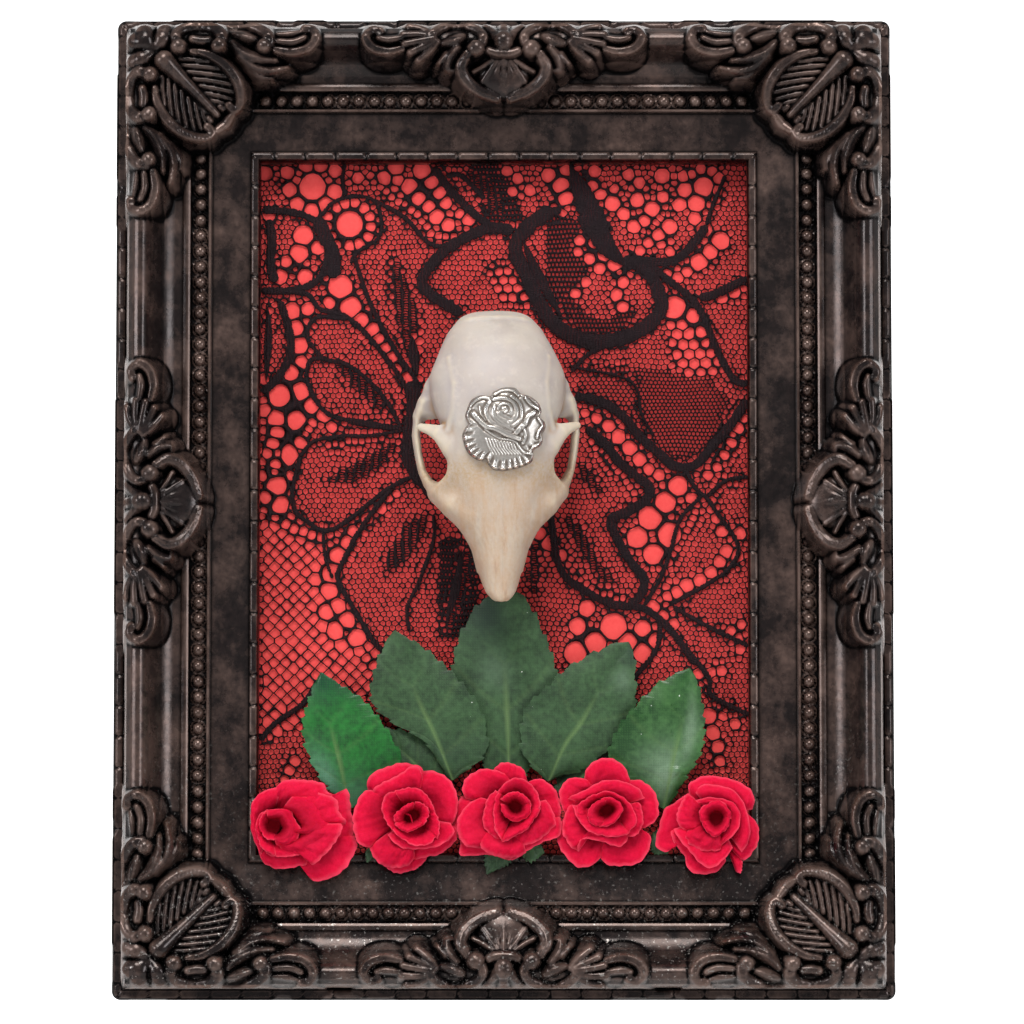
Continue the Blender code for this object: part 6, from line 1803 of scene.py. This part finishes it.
# outline cords: points along the middle, then the width
LACE_CORDS = (
    (((18, 150), (70, 152), (130, 165), (180, 200), (190, 262), (176, 318), (143, 348), (90, 362),
      (18, 362)), 20),
    (((36, 175), (44, 230), (40, 290), (52, 340)), 26),
    (((160, 169), (186, 225), (204, 269), (204, 329)), 40),
    (((173, 165), (204, 130), (260, 113), (312, 126), (330, 180), (321, 225), (269, 260), (250, 290)), 11),
    (((235, 20), (228, 70), (236, 112)), 12),
    (((303, 121), (390, 169), (451, 234), (503, 243), (577, 208)), 13),
    (((468, 39), (525, 113), (607, 186), (676, 204)), 22),
    (((500, 60), (540, 60), (600, 120)), 14),
    (((676, 204), (607, 199), (503, 251), (438, 329), (455, 368), (500, 398), (540, 424)), 30),
    (((18, 365), (108, 366), (143, 376), (173, 412), (243, 433), (321, 511), (390, 607), (407, 676)), 14),
    (((260, 277), (303, 399), (368, 520), (425, 607), (416, 676)), 13),
    (((66, 390), (90, 470), (92, 530), (60, 590), (20, 630)), 22),
    (((143, 498), (138, 465), (165, 432), (243, 436)), 12),
    (((143, 498), (180, 540), (240, 556), (300, 600), (350, 660), (382, 722)), 12),
    (((133, 590), (147, 545), (190, 540)), 12),
    (((133, 590), (160, 650), (200, 690), (260, 704), (330, 716), (400, 730)), 12),
    (((240, 702), (320, 716), (400, 728)), 18),
    (((407, 600), (412, 660), (404, 727), (400, 800), (425, 844), (470, 900)), 34),
    (((121, 796), (156, 757), (225, 744), (310, 742), (384, 728)), 11),
    (((121, 796), (100, 883), (108, 939), (143, 970), (186, 991), (243, 965), (347, 883), (425, 844)), 13),
    (((180, 990), (186, 1060), (205, 1115)), 9),
    (((355, 883), (277, 987), (225, 1087), (221, 1122), (251, 1178), (312, 1278), (345, 1310)), 14),
    (((468, 950), (468, 1013), (433, 1117), (400, 1190), (404, 1250)), 11),
    (((468, 900), (530, 960), (570, 1010)), 12),
    (((779, 147), (718, 191), (680, 250), (718, 338), (740, 390), (779, 447), (835, 484), (900, 496),
      (978, 480),
      (1040, 440), (1062, 390), (1020, 303), (961, 286)), 40),
    (((690, 198), (730, 170), (800, 148)), 22),
    (((1017, 277), (1074, 329), (1139, 381), (1173, 433), (1204, 511), (1247, 590), (1285, 610)), 20),
    (((961, 280), (1017, 283), (1095, 283), (1152, 232), (1180, 190)), 24),
    (((1160, 380), (1200, 372), (1285, 330)), 24),
    (((1180, 190), (1200, 130), (1230, 60)), 12),
    (((835, 640), (880, 646), (930, 668), (969, 700), (1008, 748), (1056, 790), (1095, 822), (1147, 820),
      (1195, 768),
      (1240, 715), (1285, 650)), 26),
    (((826, 575), (870, 530), (930, 500)), 14),
    (((865, 722), (917, 766), (952, 813), (1000, 852), (1030, 878), (1020, 910), (975, 940), (930, 962),
      (943, 1008),
      (982, 1074), (1015, 1117), (1005, 1160), (975, 1186)), 26),
    (((770, 945), (800, 1095), (883, 1160), (943, 1186), (1008, 1192), (1056, 1222), (1100, 1270),
      (1150, 1340)), 20),
    (((1120, 826), (1150, 880), (1178, 905), (1199, 935), (1260, 1030), (1235, 1090), (1180, 1130),
      (1091, 1180)), 12),
    (((1165, 900), (1110, 960), (1085, 1040), (1060, 1110), (1015, 1186)), 12),
    (((1180, 900), (1230, 860), (1285, 850)), 12),
    (((1091, 1190), (1180, 1240), (1285, 1290)), 13),
    (((1100, 1270), (1180, 1370), (1190, 1420), (1285, 1470)), 14),
    (((18, 1535), (60, 1490), (130, 1440), (170, 1380)), 16),
    (((1056, 1222), (1050, 1290), (1010, 1350), (960, 1400)), 14),
    (((820, 560), (980, 600), (1010, 690), (1040, 740)), 8),
)
# woven leaves, solid and hatched: points along the middle, then the greatest width
LACE_SOLID = (
    (((822, 30), (857, 108), (883, 173), (917, 243), (975, 300)), 66),
    (((30, 395), (36, 450), (34, 520), (30, 600)), 22),
    (((700, 230), (740, 320), (800, 430)), 30),
    (((410, 480), (415, 530), (424, 585)), 30),
    (((540, 1040), (528, 1130), (500, 1230)), 24),
)
LACE_HATCHED = (
    (((358, 262), (385, 370), (405, 470), (424, 580)), 60),
    (((560, 40), (600, 100), (650, 165)), 52),
    (((200, 545), (265, 590), (345, 690)), 46),
    (((190, 862), (277, 831), (372, 762)), 52),
    (((452, 940), (400, 1020), (336, 1100)), 62),
    (((548, 1010), (540, 1110), (500, 1260)), 50),
    (((840, 810), (870, 850), (905, 895)), 40),
    (((800, 930), (848, 1009), (900, 1095), (960, 1130)), 40),
    (((722, 1010), (728, 1090), (722, 1170)), 36),
)
# slits of a hatched leaf: pitch across, pitch down, half width of the threads
HATCHED = (21.0, 6.4, 1.6)
# areas of net that differ from the plain one: corners, pitch across, pitch down, half width of the threads,
# reach of the holes' corners
LACE_NETS = (
    (((18, 978), (190, 978), (240, 1200), (345, 1330), (300, 1420), (130, 1500), (18, 1540)), 35, 17.5,
     1.35, 2.2),
    (((1074, 425), (1160, 425), (1215, 560), (1180, 600), (1090, 560)), 29, 25, 1.4, 1.45),
    (((20, 590), (110, 600), (150, 700), (110, 800), (90, 960), (20, 980)), 34, 44, 1.4, 1.45),
    (((600, 290), (690, 300), (720, 400), (640, 400)), 24, 22, 1.5, 1.45),
    (((760, 170), (830, 165), (900, 260), (840, 400), (900, 440), (1010, 400), (960, 470), (860, 480),
      (760, 380)),
     10, 13, 2.0, 1.45),
    (((1000, 560), (1180, 590), (1240, 650), (1190, 760), (1120, 810), (1060, 780), (990, 690)), 11, 10,
     1.6, 1.45),
    (((838, 560), (1000, 560), (1000, 690), (850, 640)), 13, 11, 1.5, 1.45),
    (((480, 1010), (585, 1010), (585, 1270), (480, 1270)), 9, 16, 2.4, 1.45),
    (((560, 20), (660, 20), (700, 180), (600, 170)), 9, 15, 2.4, 1.45),
)
# holes worked one by one: a quarter's shift across and down, then (across, down, radius) in quarter steps
LACE_HOLES = (
    (0, 0, (
        (85, 375, 40), (290, 500, 65), (375, 575, 45), (265, 605, 60), (200, 660, 45), (150, 755, 45),
        (300, 745, 50), (90, 700, 35), (515, 815, 80), (455, 900, 45), (575, 930, 70), (650, 1010, 55),
        (710, 1070, 50), (750, 1125, 45), (785, 1180, 40), (820, 1240, 35), (860, 1310, 40),
        (900, 1370, 35), (1010, 110, 60), (930, 200, 50), (1055, 185, 52), (985, 265, 52), (1105, 250, 45),
        (1045, 320, 45), (1095, 385, 50), (1160, 430, 45), (1150, 300, 40), (1240, 370, 35),
        (1280, 400, 40), (225, 950, 48), (315, 950, 42), (260, 1060, 45), (275, 1170, 40), (285, 1270, 40),
        (240, 1330, 50), (175, 1480, 70), (280, 1440, 50), (345, 1530, 45), (60, 120, 48), (190, 120, 40),
        (345, 205, 80), (480, 110, 42), (620, 150, 34), (780, 150, 45), (850, 90, 52), (860, 160, 40),
    )),
    (1, 0, (
        (300, 140, 50), (355, 200, 55), (390, 265, 50), (565, 190, 40), (600, 250, 35), (675, 310, 48),
        (745, 365, 42), (690, 220, 30), (830, 290, 45), (840, 180, 35), (775, 130, 35), (570, 110, 40),
        (810, 445, 42), (870, 405, 40), (915, 340, 45), (980, 270, 38), (980, 140, 45), (1110, 140, 35),
        (1115, 225, 42), (1225, 205, 60), (1190, 300, 55), (1080, 315, 42), (1320, 150, 35),
        (1310, 235, 32), (1175, 395, 38), (1025, 450, 50), (955, 500, 42), (890, 545, 32), (1235, 460, 45),
        (1325, 530, 60), (1270, 595, 50), (1195, 660, 52), (1130, 720, 32), (1075, 760, 30),
        (1340, 875, 38), (1410, 845, 35), (930, 750, 50), (1050, 940, 75), (980, 830, 40), (1150, 990, 38),
        (40, 110, 32), (110, 160, 34), (180, 230, 36), (70, 230, 30), (480, 530, 34), (560, 560, 38),
        (620, 620, 34), (470, 600, 30), (540, 640, 36), (600, 700, 36), (680, 690, 34), (740, 780, 38),
        (700, 860, 34), (740, 930, 38), (520, 780, 32), (450, 850, 32),
    )),
    (0, 1, (
        (165, 50, 65), (345, 50, 45), (245, 120, 45), (130, 140, 45), (125, 210, 45), (110, 280, 45),
        (210, 350, 55), (90, 340, 40), (130, 400, 40), (135, 540, 58), (90, 610, 50), (150, 655, 58),
        (420, 110, 45), (465, 180, 35), (500, 960, 55), (470, 1060, 62), (600, 810, 40), (680, 740, 40),
        (760, 670, 38), (560, 880, 42), (460, 1170, 50), (500, 1260, 50), (560, 1350, 50), (620, 1450, 50),
        (440, 1290, 48), (500, 1400, 48),
    )),
    (1, 1, (
        (512, 98, 28), (578, 130, 33), (650, 175, 40), (712, 240, 43), (780, 310, 45), (838, 378, 42),
        (895, 435, 36), (950, 470, 33), (1065, 540, 66), (990, 640, 70), (905, 735, 73), (825, 850, 66),
        (1018, 830, 74), (920, 945, 64), (1150, 610, 38), (1000, 990, 38), (525, 1270, 50), (470, 1380, 56),
        (680, 1385, 84), (570, 1480, 70), (765, 1470, 60), (855, 1400, 54), (925, 1475, 56),
        (455, 1540, 74), (860, 1540, 62), (1265, 680, 25), (1295, 735, 30), (1330, 810, 38),
        (1440, 825, 38), (1360, 935, 45), (1320, 990, 40), (1265, 1060, 38), (1200, 1105, 40),
        (1120, 1135, 40), (1060, 1180, 36), (1005, 1200, 30), (915, 1265, 40), (985, 1320, 30),
        (1045, 1370, 32), (300, 880, 50), (240, 830, 44), (360, 960, 44), (1420, 960, 44), (1250, 470, 34),
        (1300, 420, 34), (1350, 350, 36), (1400, 280, 36), (1440, 190, 34), (1190, 420, 30),
        (1246, 1918, 46), (1276, 2020, 44), (1300, 2104, 38), (1312, 2182, 38), (1336, 1924, 28),
        (1408, 1966, 34), (1192, 1666, 34), (1261, 1660, 28), (1330, 1654, 26), (1384, 1414, 32),
        (1426, 1450, 30), (1438, 1522, 30), (1444, 1366, 28),
    )),
    (0, 1, ((252, 2194, 34), (216, 2242, 36), (192, 2296, 30))),
)
# rings of holes: middle across and down, ring radius, number, radius of each hole
LACE_ROSETTES = ((149.5, 88.9, 60, 9, 19), (247.0, 186.4, 56, 13, 15), (1172, 88, 46, 10, 14),
                 (1045, 280, 44, 9, 13))
# the hole in the heart of the large rosette: across, down, radius, half width of its threads
ROSETTE_HEART = (247.0, 186.4, 34, 1.8)
# ladders: holes so close along a line that they get narrow across it: line, pitch, radius
LACE_LADDERS = (
    (((300, 60), (350, 110), (420, 160), (470, 215), (560, 215)), 19, 9),
    (((195, 765), (260, 757), (330, 750)), 15, 9),
    (((60, 790), (48, 860), (60, 950), (120, 990), (175, 1010)), 22, 13),
    (((370, 895), (300, 945), (240, 1030), (205, 1090)), 20, 11),
    (((200, 1160), (230, 1230), (265, 1290), (310, 1340)), 22, 12),
    (((1170, 840), (1215, 800), (1255, 740), (1280, 700)), 16, 10),
    (((1085, 850), (1130, 870), (1150, 930), (1120, 1000), (1090, 1060), (1050, 1130)), 17, 9),
    (((880, 760), (920, 800), (960, 850), (990, 890)), 15, 8),
    (((770, 990), (800, 1050), (840, 1110), (900, 1150), (960, 1165)), 16, 8),
    (((1040, 320), (1060, 345), (1080, 370)), 13, 8),
)
NET_PITCH = (15.0, 13.0)
NET_HALF_THREAD = 0.95
# how far a hole's corners may reach, as a share of its half width
ROUND_HOLE = 1.45
SLIT_HOLE = 6.0


def in_outline(points, outline):
    """Which points lie inside a closed outline."""
    inside = np.zeros(len(points), dtype=bool)
    x, y = points.T
    for (x0, y0), (x1, y1) in zip(outline, outline[1:] + outline[:1]):
        if y0 == y1:
            continue
        crosses = (y0 > y) != (y1 > y)
        inside ^= crosses & (x < (x1 - x0) * (y - y0) / (y1 - y0) + x0)
    return inside


def net_sites(low, high, pitch, seed, jitter, stagger=0.5):
    """A brick pattern of sites between two corners, a little uneven."""
    rng = np.random.default_rng(seed)
    across, down = pitch
    rows = np.arange(low[1], high[1], down)
    columns = np.arange(low[0], high[0], across)
    x = columns[None, :] + (np.arange(len(rows)) % 2)[:, None] * across * stagger
    y = rows[:, None] + 0 * x
    sites = np.column_stack((x.ravel(), y.ravel()))
    sway = np.column_stack([wave_noise(sites[:, 0], sites[:, 1], seed + k, 260.0, 2) for k in (1, 2)])
    return sites + sway * 5.0 + rng.uniform(-jitter, jitter, sites.shape) * np.array(pitch)


def run_length(line):
    return np.linalg.norm(np.diff(np.array(line, dtype=float), axis=0), axis=1).sum()


def square_to(line):
    """A unit step square to a line at each of its points."""
    run = np.gradient(line, axis=0)
    run /= np.linalg.norm(run, axis=1, keepdims=True)
    return np.column_stack((-run[:, 1], run[:, 0]))


def on_lace(flat, out):
    """Points (across, out, up) of places in the drawing."""
    x = LACE_CORNER[0] + flat[..., 0] * LACE_STEP
    z = LACE_CORNER[1] - flat[..., 1] * LACE_STEP
    return np.stack((x, out, z), axis=-1)


def leaf_outline(line, width):
    """A closed pointed shape about a line."""
    middle = even_line(line, 24)
    half = width / 2 * np.sin(np.linspace(0.02, 3.12, 24)) ** 0.75
    side = square_to(middle) * half[:, None]
    return [tuple(corner) for corner in np.vstack((middle + side, (middle - side)[::-1])).tolist()]


def worked_holes():
    """Holes worked one by one, in rings and in ladders, where earlier ones leave room for them."""
    found = []
    for right, down, holes in LACE_HOLES:
        for x, y, radius in holes:
            found.append((x * HOLE_STEP + right * QUARTER_SHIFT, y * HOLE_STEP + down * QUARTER_SHIFT,
                          radius * HOLE_STEP, 1.5))
    for x, y, reach, number, radius in LACE_ROSETTES:
        for i in range(number):
            turn = 2 * math.pi * (i + 0.3) / number
            found.append((x + reach * math.cos(turn), y + reach * math.sin(turn), radius, 1.6))
    found.append(ROSETTE_HEART)
    for line, pitch, radius in LACE_LADDERS:
        for x, y in even_line(line, max(2, round(run_length(line) / pitch))):
            found.append((x, y, radius, 1.4))
    kept = []
    for hole in found:
        if all(math.hypot(hole[0] - x, hole[1] - y) > 0.62 * (hole[2] + radius) for x, y, radius, _ in kept):
            kept.append(hole)
    return np.array(kept)


def sites_within(outline, pitch, seed, jitter, stagger=0.5):
    """Net sites inside an outline."""
    corners = np.array(outline, dtype=float)
    sites = net_sites(corners.min(axis=0), corners.max(axis=0), pitch, seed, jitter, stagger)
    return sites[in_outline(sites, outline)]


def net_groups(low, high):
    """The nets' holes, area by area: sites, radius, half width of the threads, reach of the corners."""
    coarse = 1.0
    slower = min(coarse, 1.5)
    groups = []
    outlines = []
    for number, (outline, across, down, half, corner) in enumerate(LACE_NETS):
        sites = sites_within(outline, (across * slower, down * slower), 40 + number, 0.07)
        groups.append((sites, 0.5 * min(across, down) - 0.5, half, corner))
        outlines.append(outline)
    across, down, half = HATCHED
    for number, (line, width) in enumerate(LACE_HATCHED):
        outline = leaf_outline(line, width)
        groups = [(sites[~in_outline(sites, outline)], *rest) for sites, *rest in groups]
        sites = sites_within(outline, (across, down * coarse), 80 + number, 0.05, 0.0)
        groups.append((sites, 0.5 * down, half, SLIT_HOLE))
        outlines.append(outline)
    plain = net_sites(low, high, (NET_PITCH[0] * coarse, NET_PITCH[1] * coarse), 31, 0.20)
    for outline in outlines:
        plain = plain[~in_outline(plain, outline)]
    groups.append((plain, 0.5 * NET_PITCH[1], NET_HALF_THREAD, ROUND_HOLE))
    return groups


def lace_sites(low, high):
    """Every hole of the lace: across, down, radius, half width of its threads, reach of its corners."""
    worked = worked_holes()
    cords = [(even_line(line, 60), width) for line, width in LACE_CORDS + LACE_SOLID]
    found = [np.column_stack((worked, np.full(len(worked), ROUND_HOLE)))]
    for sites, radius, half, corner in net_groups(low, high):
        keep = np.ones(len(sites), dtype=bool)
        for x, y, hole, _ in worked:
            keep &= np.hypot(sites[:, 0] - x, sites[:, 1] - y) > hole + radius * 0.9
        for core, width in cords:
            beside = (sites > core.min(axis=0) - width) & (sites < core.max(axis=0) + width)
            near = np.where(beside.all(axis=1))[0]
            if len(near):
                away = np.linalg.norm(sites[near, None] - core[None], axis=2).min(axis=1)
                keep[near[away < 0.30 * width]] = False
        sites = sites[keep]
        rest = [np.full(len(sites), value) for value in (radius, half, corner)]
        found.append(np.column_stack((sites, *rest)))
    return np.vstack(found)


def clip_by(polygon, nx, ny, limit):
    """The part of a polygon where nx x + ny y is at most the limit."""
    kept = []
    count = len(polygon)
    for i in range(count):
        x0, y0 = polygon[i]
        x1, y1 = polygon[(i + 1) % count]
        d0 = nx * x0 + ny * y0 - limit
        d1 = nx * x1 + ny * y1 - limit
        if d0 <= 0:
            kept.append((x0, y0))
        if (d0 < 0) != (d1 < 0) and d0 != d1:
            t = d0 / (d0 - d1)
            kept.append((x0 + (x1 - x0) * t, y0 + (y1 - y0) * t))
    return kept


def lace_cells(sites, low, high):
    """Each site's cell: the places nearer to its hole than to any other."""
    tree = KDTree(len(sites))
    for i, (x, y, *_) in enumerate(sites):
        tree.insert((x, y, 0.0), i)
    tree.balance()
    largest = sites[:, 2].max()
    values = sites.tolist()
    cells = []
    for i, (x, y, radius, half, corner) in enumerate(values):
        polygon = [(low[0], low[1]), (high[0], low[1]), (high[0], high[1]), (low[0], high[1])]
        reach = 2000.0
        for _, j, away in tree.find_n((x, y, 0.0), 150)[1:]:
            if away < 1e-6:
                continue
            other = values[j]
            split = (away**2 + radius**2 - other[2] ** 2) / (2 * away)
            if split >= reach:
                if (away**2 + radius**2 - largest**2) / (2 * away) > reach:
                    break
                continue
            nx = (other[0] - x) / away
            ny = (other[1] - y) / away
            polygon = clip_by(polygon, nx, ny, nx * x + ny * y + split)
            if len(polygon) < 3:
                break
            reach = max(math.hypot(px - x, py - y) for px, py in polygon)
        if len(polygon) >= 3:
            cells.append((polygon, half, corner))
    return cells


def cell_edges(polygon, centre, low, high, shared):
    """Short parts of a cell's edges: number of the first point, distance of the edge, whether on the border."""
    parts = []
    for k, (x0, y0) in enumerate(polygon):
        x1, y1 = polygon[(k + 1) % len(polygon)]
        length = math.hypot(x1 - x0, y1 - y0)
        if length < 0.02:
            continue
        number = 1 if length < 7.0 else min(5, int(length / 6.0) + 1)
        away = abs((x1 - x0) * (centre[1] - y0) - (y1 - y0) * (centre[0] - x0)) / length
        border = min(abs(x0 - low[0]) + abs(x1 - low[0]), abs(x0 - high[0]) + abs(x1 - high[0]),
                     abs(y0 - low[1]) + abs(y1 - low[1]), abs(y0 - high[1]) + abs(y1 - high[1])) < 0.01
        for i in range(number):
            t = i / number
            parts.append((shared(x0 + (x1 - x0) * t, y0 + (y1 - y0) * t), away, border))
    return [part for k, part in enumerate(parts) if part[0] != parts[k - 1][0]]


def build_net(finish):
    """Knotted threads: round each hole a ring, which rises to a crest shared with its neighbours."""
    half_across = FRAME_WIDTH / 2 - REBATE_EDGE - LACE_PLAY
    half_up = FRAME_HEIGHT / 2 - REBATE_EDGE - LACE_PLAY
    low = ((-half_across - LACE_CORNER[0]) / LACE_STEP, (LACE_CORNER[1] - half_up) / LACE_STEP)
    high = ((half_across - LACE_CORNER[0]) / LACE_STEP, (LACE_CORNER[1] + half_up) / LACE_STEP)
    index = {}
    crest = []
    rings = []
    strips = []
    walls = []

    def shared(x, y):
        key = (round(x, 2), round(y, 2))
        if key not in index:
            index[key] = len(crest)
            crest.append(key)
        return index[key]

    for polygon, half, slack in lace_cells(lace_sites(low, high), low, high):
        middle_x, middle_y = (sum(values) / len(polygon) for values in zip(*polygon))
        parts = cell_edges(polygon, (middle_x, middle_y), low, high, shared)
        if len(parts) < 3:
            continue
        inner = min(away for _, away, _ in parts)
        room = max(inner - half, 0.22 * inner)
        first = len(rings)
        for k, (corner, _, border) in enumerate(parts):
            x, y = crest[corner]
            away = math.hypot(x - middle_x, y - middle_y) + 1e-6
            reach = away * room / inner
            reach = (reach**-6 + (room * slack) ** -6) ** (-1 / 6)
            rings.append((middle_x + (x - middle_x) * reach / away,
                          middle_y + (y - middle_y) * reach / away))
            after = (k + 1) % len(parts)
            strips.append((corner, parts[after][0], first + after, first + k))
            if border:
                walls.append((corner, parts[after][0]))
    crest, rings, strips, walls = (np.array(rows) for rows in (crest, rings, strips, walls))
    count = len(crest)
    rough = wave_noise(crest[:, 0], crest[:, 1], 71, 26.0, 2)
    out = (NET_CREST_OUT + 0.05 * rough, np.full(count, LACE_LOW_OUT), np.full(len(rings), RING_OUT))
    points = on_lace(np.vstack((crest, crest, rings)), np.concatenate(out))
    ring_shift = np.array((0, 0, 2 * count, 2 * count))
    upper = strips + ring_shift
    lower = (strips + ring_shift + np.array((count, count, 0, 0)))[:, ::-1]
    edge = np.column_stack((walls[:, 1], walls[:, 0], walls[:, 0] + count, walls[:, 1] + count))
    faces = np.vstack((upper, lower, edge))
    return make_piece("lace", points, faces, finish, ["lace_panel"], None, 180.0)


def cord_strip(line, width, taper, seed):
    """A flat cord of crossing strands along a line of the drawing."""
    length = run_length(line)
    rows = max(8, round(length * LACE_STEP / CORD_STEP))
    columns = 11 if width > 18 else 7
    middle = even_line(line, rows)
    share = np.linspace(0, 1, rows)
    rng = np.random.default_rng(seed)
    wave = wave_noise(share * length, share * 0, seed, 24.0, 3)
    wide = width / 2 * (0.96 + 0.13 * wave) + rng.uniform(-1.4, 1.4, rows)
    if taper:
        wide = wide * np.maximum(np.sin(math.pi * share), 0.02) ** 0.75
    else:
        wide = wide * np.clip(np.minimum(share, 1 - share) * length / width * 2.2 + 0.35, 0.0, 1.0)
    v = np.linspace(-1, 1, columns)
    flat = middle[:, None] + square_to(middle)[:, None] * wide[:, None, None] * v[None, :, None]
    strands = np.cos(flat[..., 0] * 2 * math.pi / 8.5
                     + 1.3 * wave_noise(flat[..., 0], flat[..., 1], seed, 60.0, 2))
    rungs = np.cos(flat[..., 1] * 2 * math.pi / 4.6)
    rib = 0.10 * strands + 0.04 * rungs + rng.uniform(-0.05, 0.05, strands.shape)
    thick = (CORD_CREST_OUT - 0.10 - LACE_LOW_OUT) * np.sqrt(1 - 0.75 * v**2)[None, :]
    out = LACE_LOW_OUT + np.maximum(thick + rib, 0.12)
    front = on_lace(flat, np.minimum(out, CORD_CREST_OUT + 0.1)).reshape(-1, 3)
    back = front.copy()
    back[:, 1] = LACE_LOW_OUT - 0.02
    return np.vstack((front, back)), shell_faces(rows, columns)


def build_lace(finish):
    net = build_net(finish)
    points = []
    faces = []
    count = 0
    for number, (line, width) in enumerate(LACE_CORDS + LACE_SOLID):
        part, quads = cord_strip(line, width, number >= len(LACE_CORDS), 300 + number)
        points.append(part)
        faces.append(quads + count)
        count += len(part)
    make_piece("lace_cords", np.vstack(points), np.vstack(faces), finish, (), None, 180.0)


# Camera, lights and floor

CAMERA_TARGET = Vector((0.00169, -0.010, -0.0888))
CAMERA_AWAY = 1.0
CAMERA_BELOW = math.radians(4.5)
CAMERA_LENS = 171.4


def build_camera():
    data = bpy.data.cameras.new("camera")
    data.lens = CAMERA_LENS
    data.sensor_width = 36.0
    data.clip_end = 20.0
    camera = bpy.data.objects.new("camera", data)
    away = Vector((0.0, -math.cos(CAMERA_BELOW), -math.sin(CAMERA_BELOW))) * CAMERA_AWAY
    camera.location = CAMERA_TARGET + away
    camera.rotation_euler = (-away).to_track_quat("-Z", "Y").to_euler()
    bpy.context.scene.collection.objects.link(camera)
    bpy.context.scene.camera = camera


def add_light(name, place, size, power, colour=(1.0, 1.0, 1.0)):
    data = bpy.data.lights.new(name, "AREA")
    data.shape = "DISK"
    data.size = size
    data.energy = power
    data.color = colour
    lamp = bpy.data.objects.new(name, data)
    lamp.location = place
    lamp.rotation_euler = (CAMERA_TARGET - Vector(place)).to_track_quat("-Z", "Y").to_euler()
    bpy.context.scene.collection.objects.link(lamp)


def build_studio():
    world = bpy.data.worlds.new("studio")
    world.use_nodes = True
    world.node_tree.nodes["Background"].inputs["Color"].default_value = (0.96, 0.98, 1.0, 1.0)
    world.node_tree.nodes["Background"].inputs["Strength"].default_value = 0.30
    bpy.context.scene.world = world
    bpy.context.scene.view_settings.view_transform = "Standard"
    add_light("key", (-0.10, -1.0, 1.0), 0.8, 18.0, (1.0, 0.985, 0.96))
    add_light("left", (-1.1, -0.8, 0.1), 0.5, 6.0, (0.95, 0.97, 1.0))
    add_light("right", (1.1, -0.8, 0.0), 0.5, 5.0, (0.95, 0.97, 1.0))
    backdrop = Nodes("backdrop")
    backdrop.set(Base_Color=(1.0, 1.0, 1.0), Emission_Color=(1.0, 1.0, 1.0), Emission_Strength=1.0)
    bpy.ops.mesh.primitive_plane_add(size=2.0, location=(0.0, 1.6, -0.1), rotation=(math.pi / 2, 0.0, 0.0))
    wall = bpy.context.object
    wall.name = "backdrop"
    wall.data.materials.append(backdrop.material)
    floor = Nodes("floor")
    floor.set(Base_Color=(0.8, 0.79, 0.78), Roughness=0.8)
    bpy.ops.mesh.primitive_plane_add(size=3.0, location=(0.0, 0.0, -0.60))
    plane = bpy.context.object
    plane.name = "floor"
    plane.data.materials.append(floor.material)


build_frame(frame_finish())
bone = bone_finish()
build_cranium(bone)
build_incisors(tooth_finish())
build_charm(pewter_finish())
steel = steel_finish()
build_back(steel, board_finish(), card_finish())
build_lace(lace_finish())
leaf = leaf_finish("leaf_fabric", (0.009, 0.032, 0.009), (0.040, 0.100, 0.035), 0.46, (0.16, 0.24, 0.17),
                   (0.012, 0.030, 0.022))
bright = leaf_finish("leaf_bright", (0.004, 0.050, 0.009), (0.014, 0.170, 0.024), 0.34, (0.11, 0.26, 0.17),
                     (0.003, 0.050, 0.022))
glossy = leaf_finish("leaf_glossy", (0.012, 0.054, 0.013), (0.050, 0.145, 0.040), 0.26, (0.21, 0.31, 0.21),
                     (0.010, 0.075, 0.014))
LEAF_FINISHES = {"leaf_far_left": bright, "leaf_far_right": glossy}
for name, parts in LEAVES.items():
    build_leaf(name, *parts, LEAF_FINISHES.get(name, leaf))
rose = rose_finish()
for name, parts in ROSES.items():
    build_rose(name, *parts, rose)
build_camera()
build_studio()
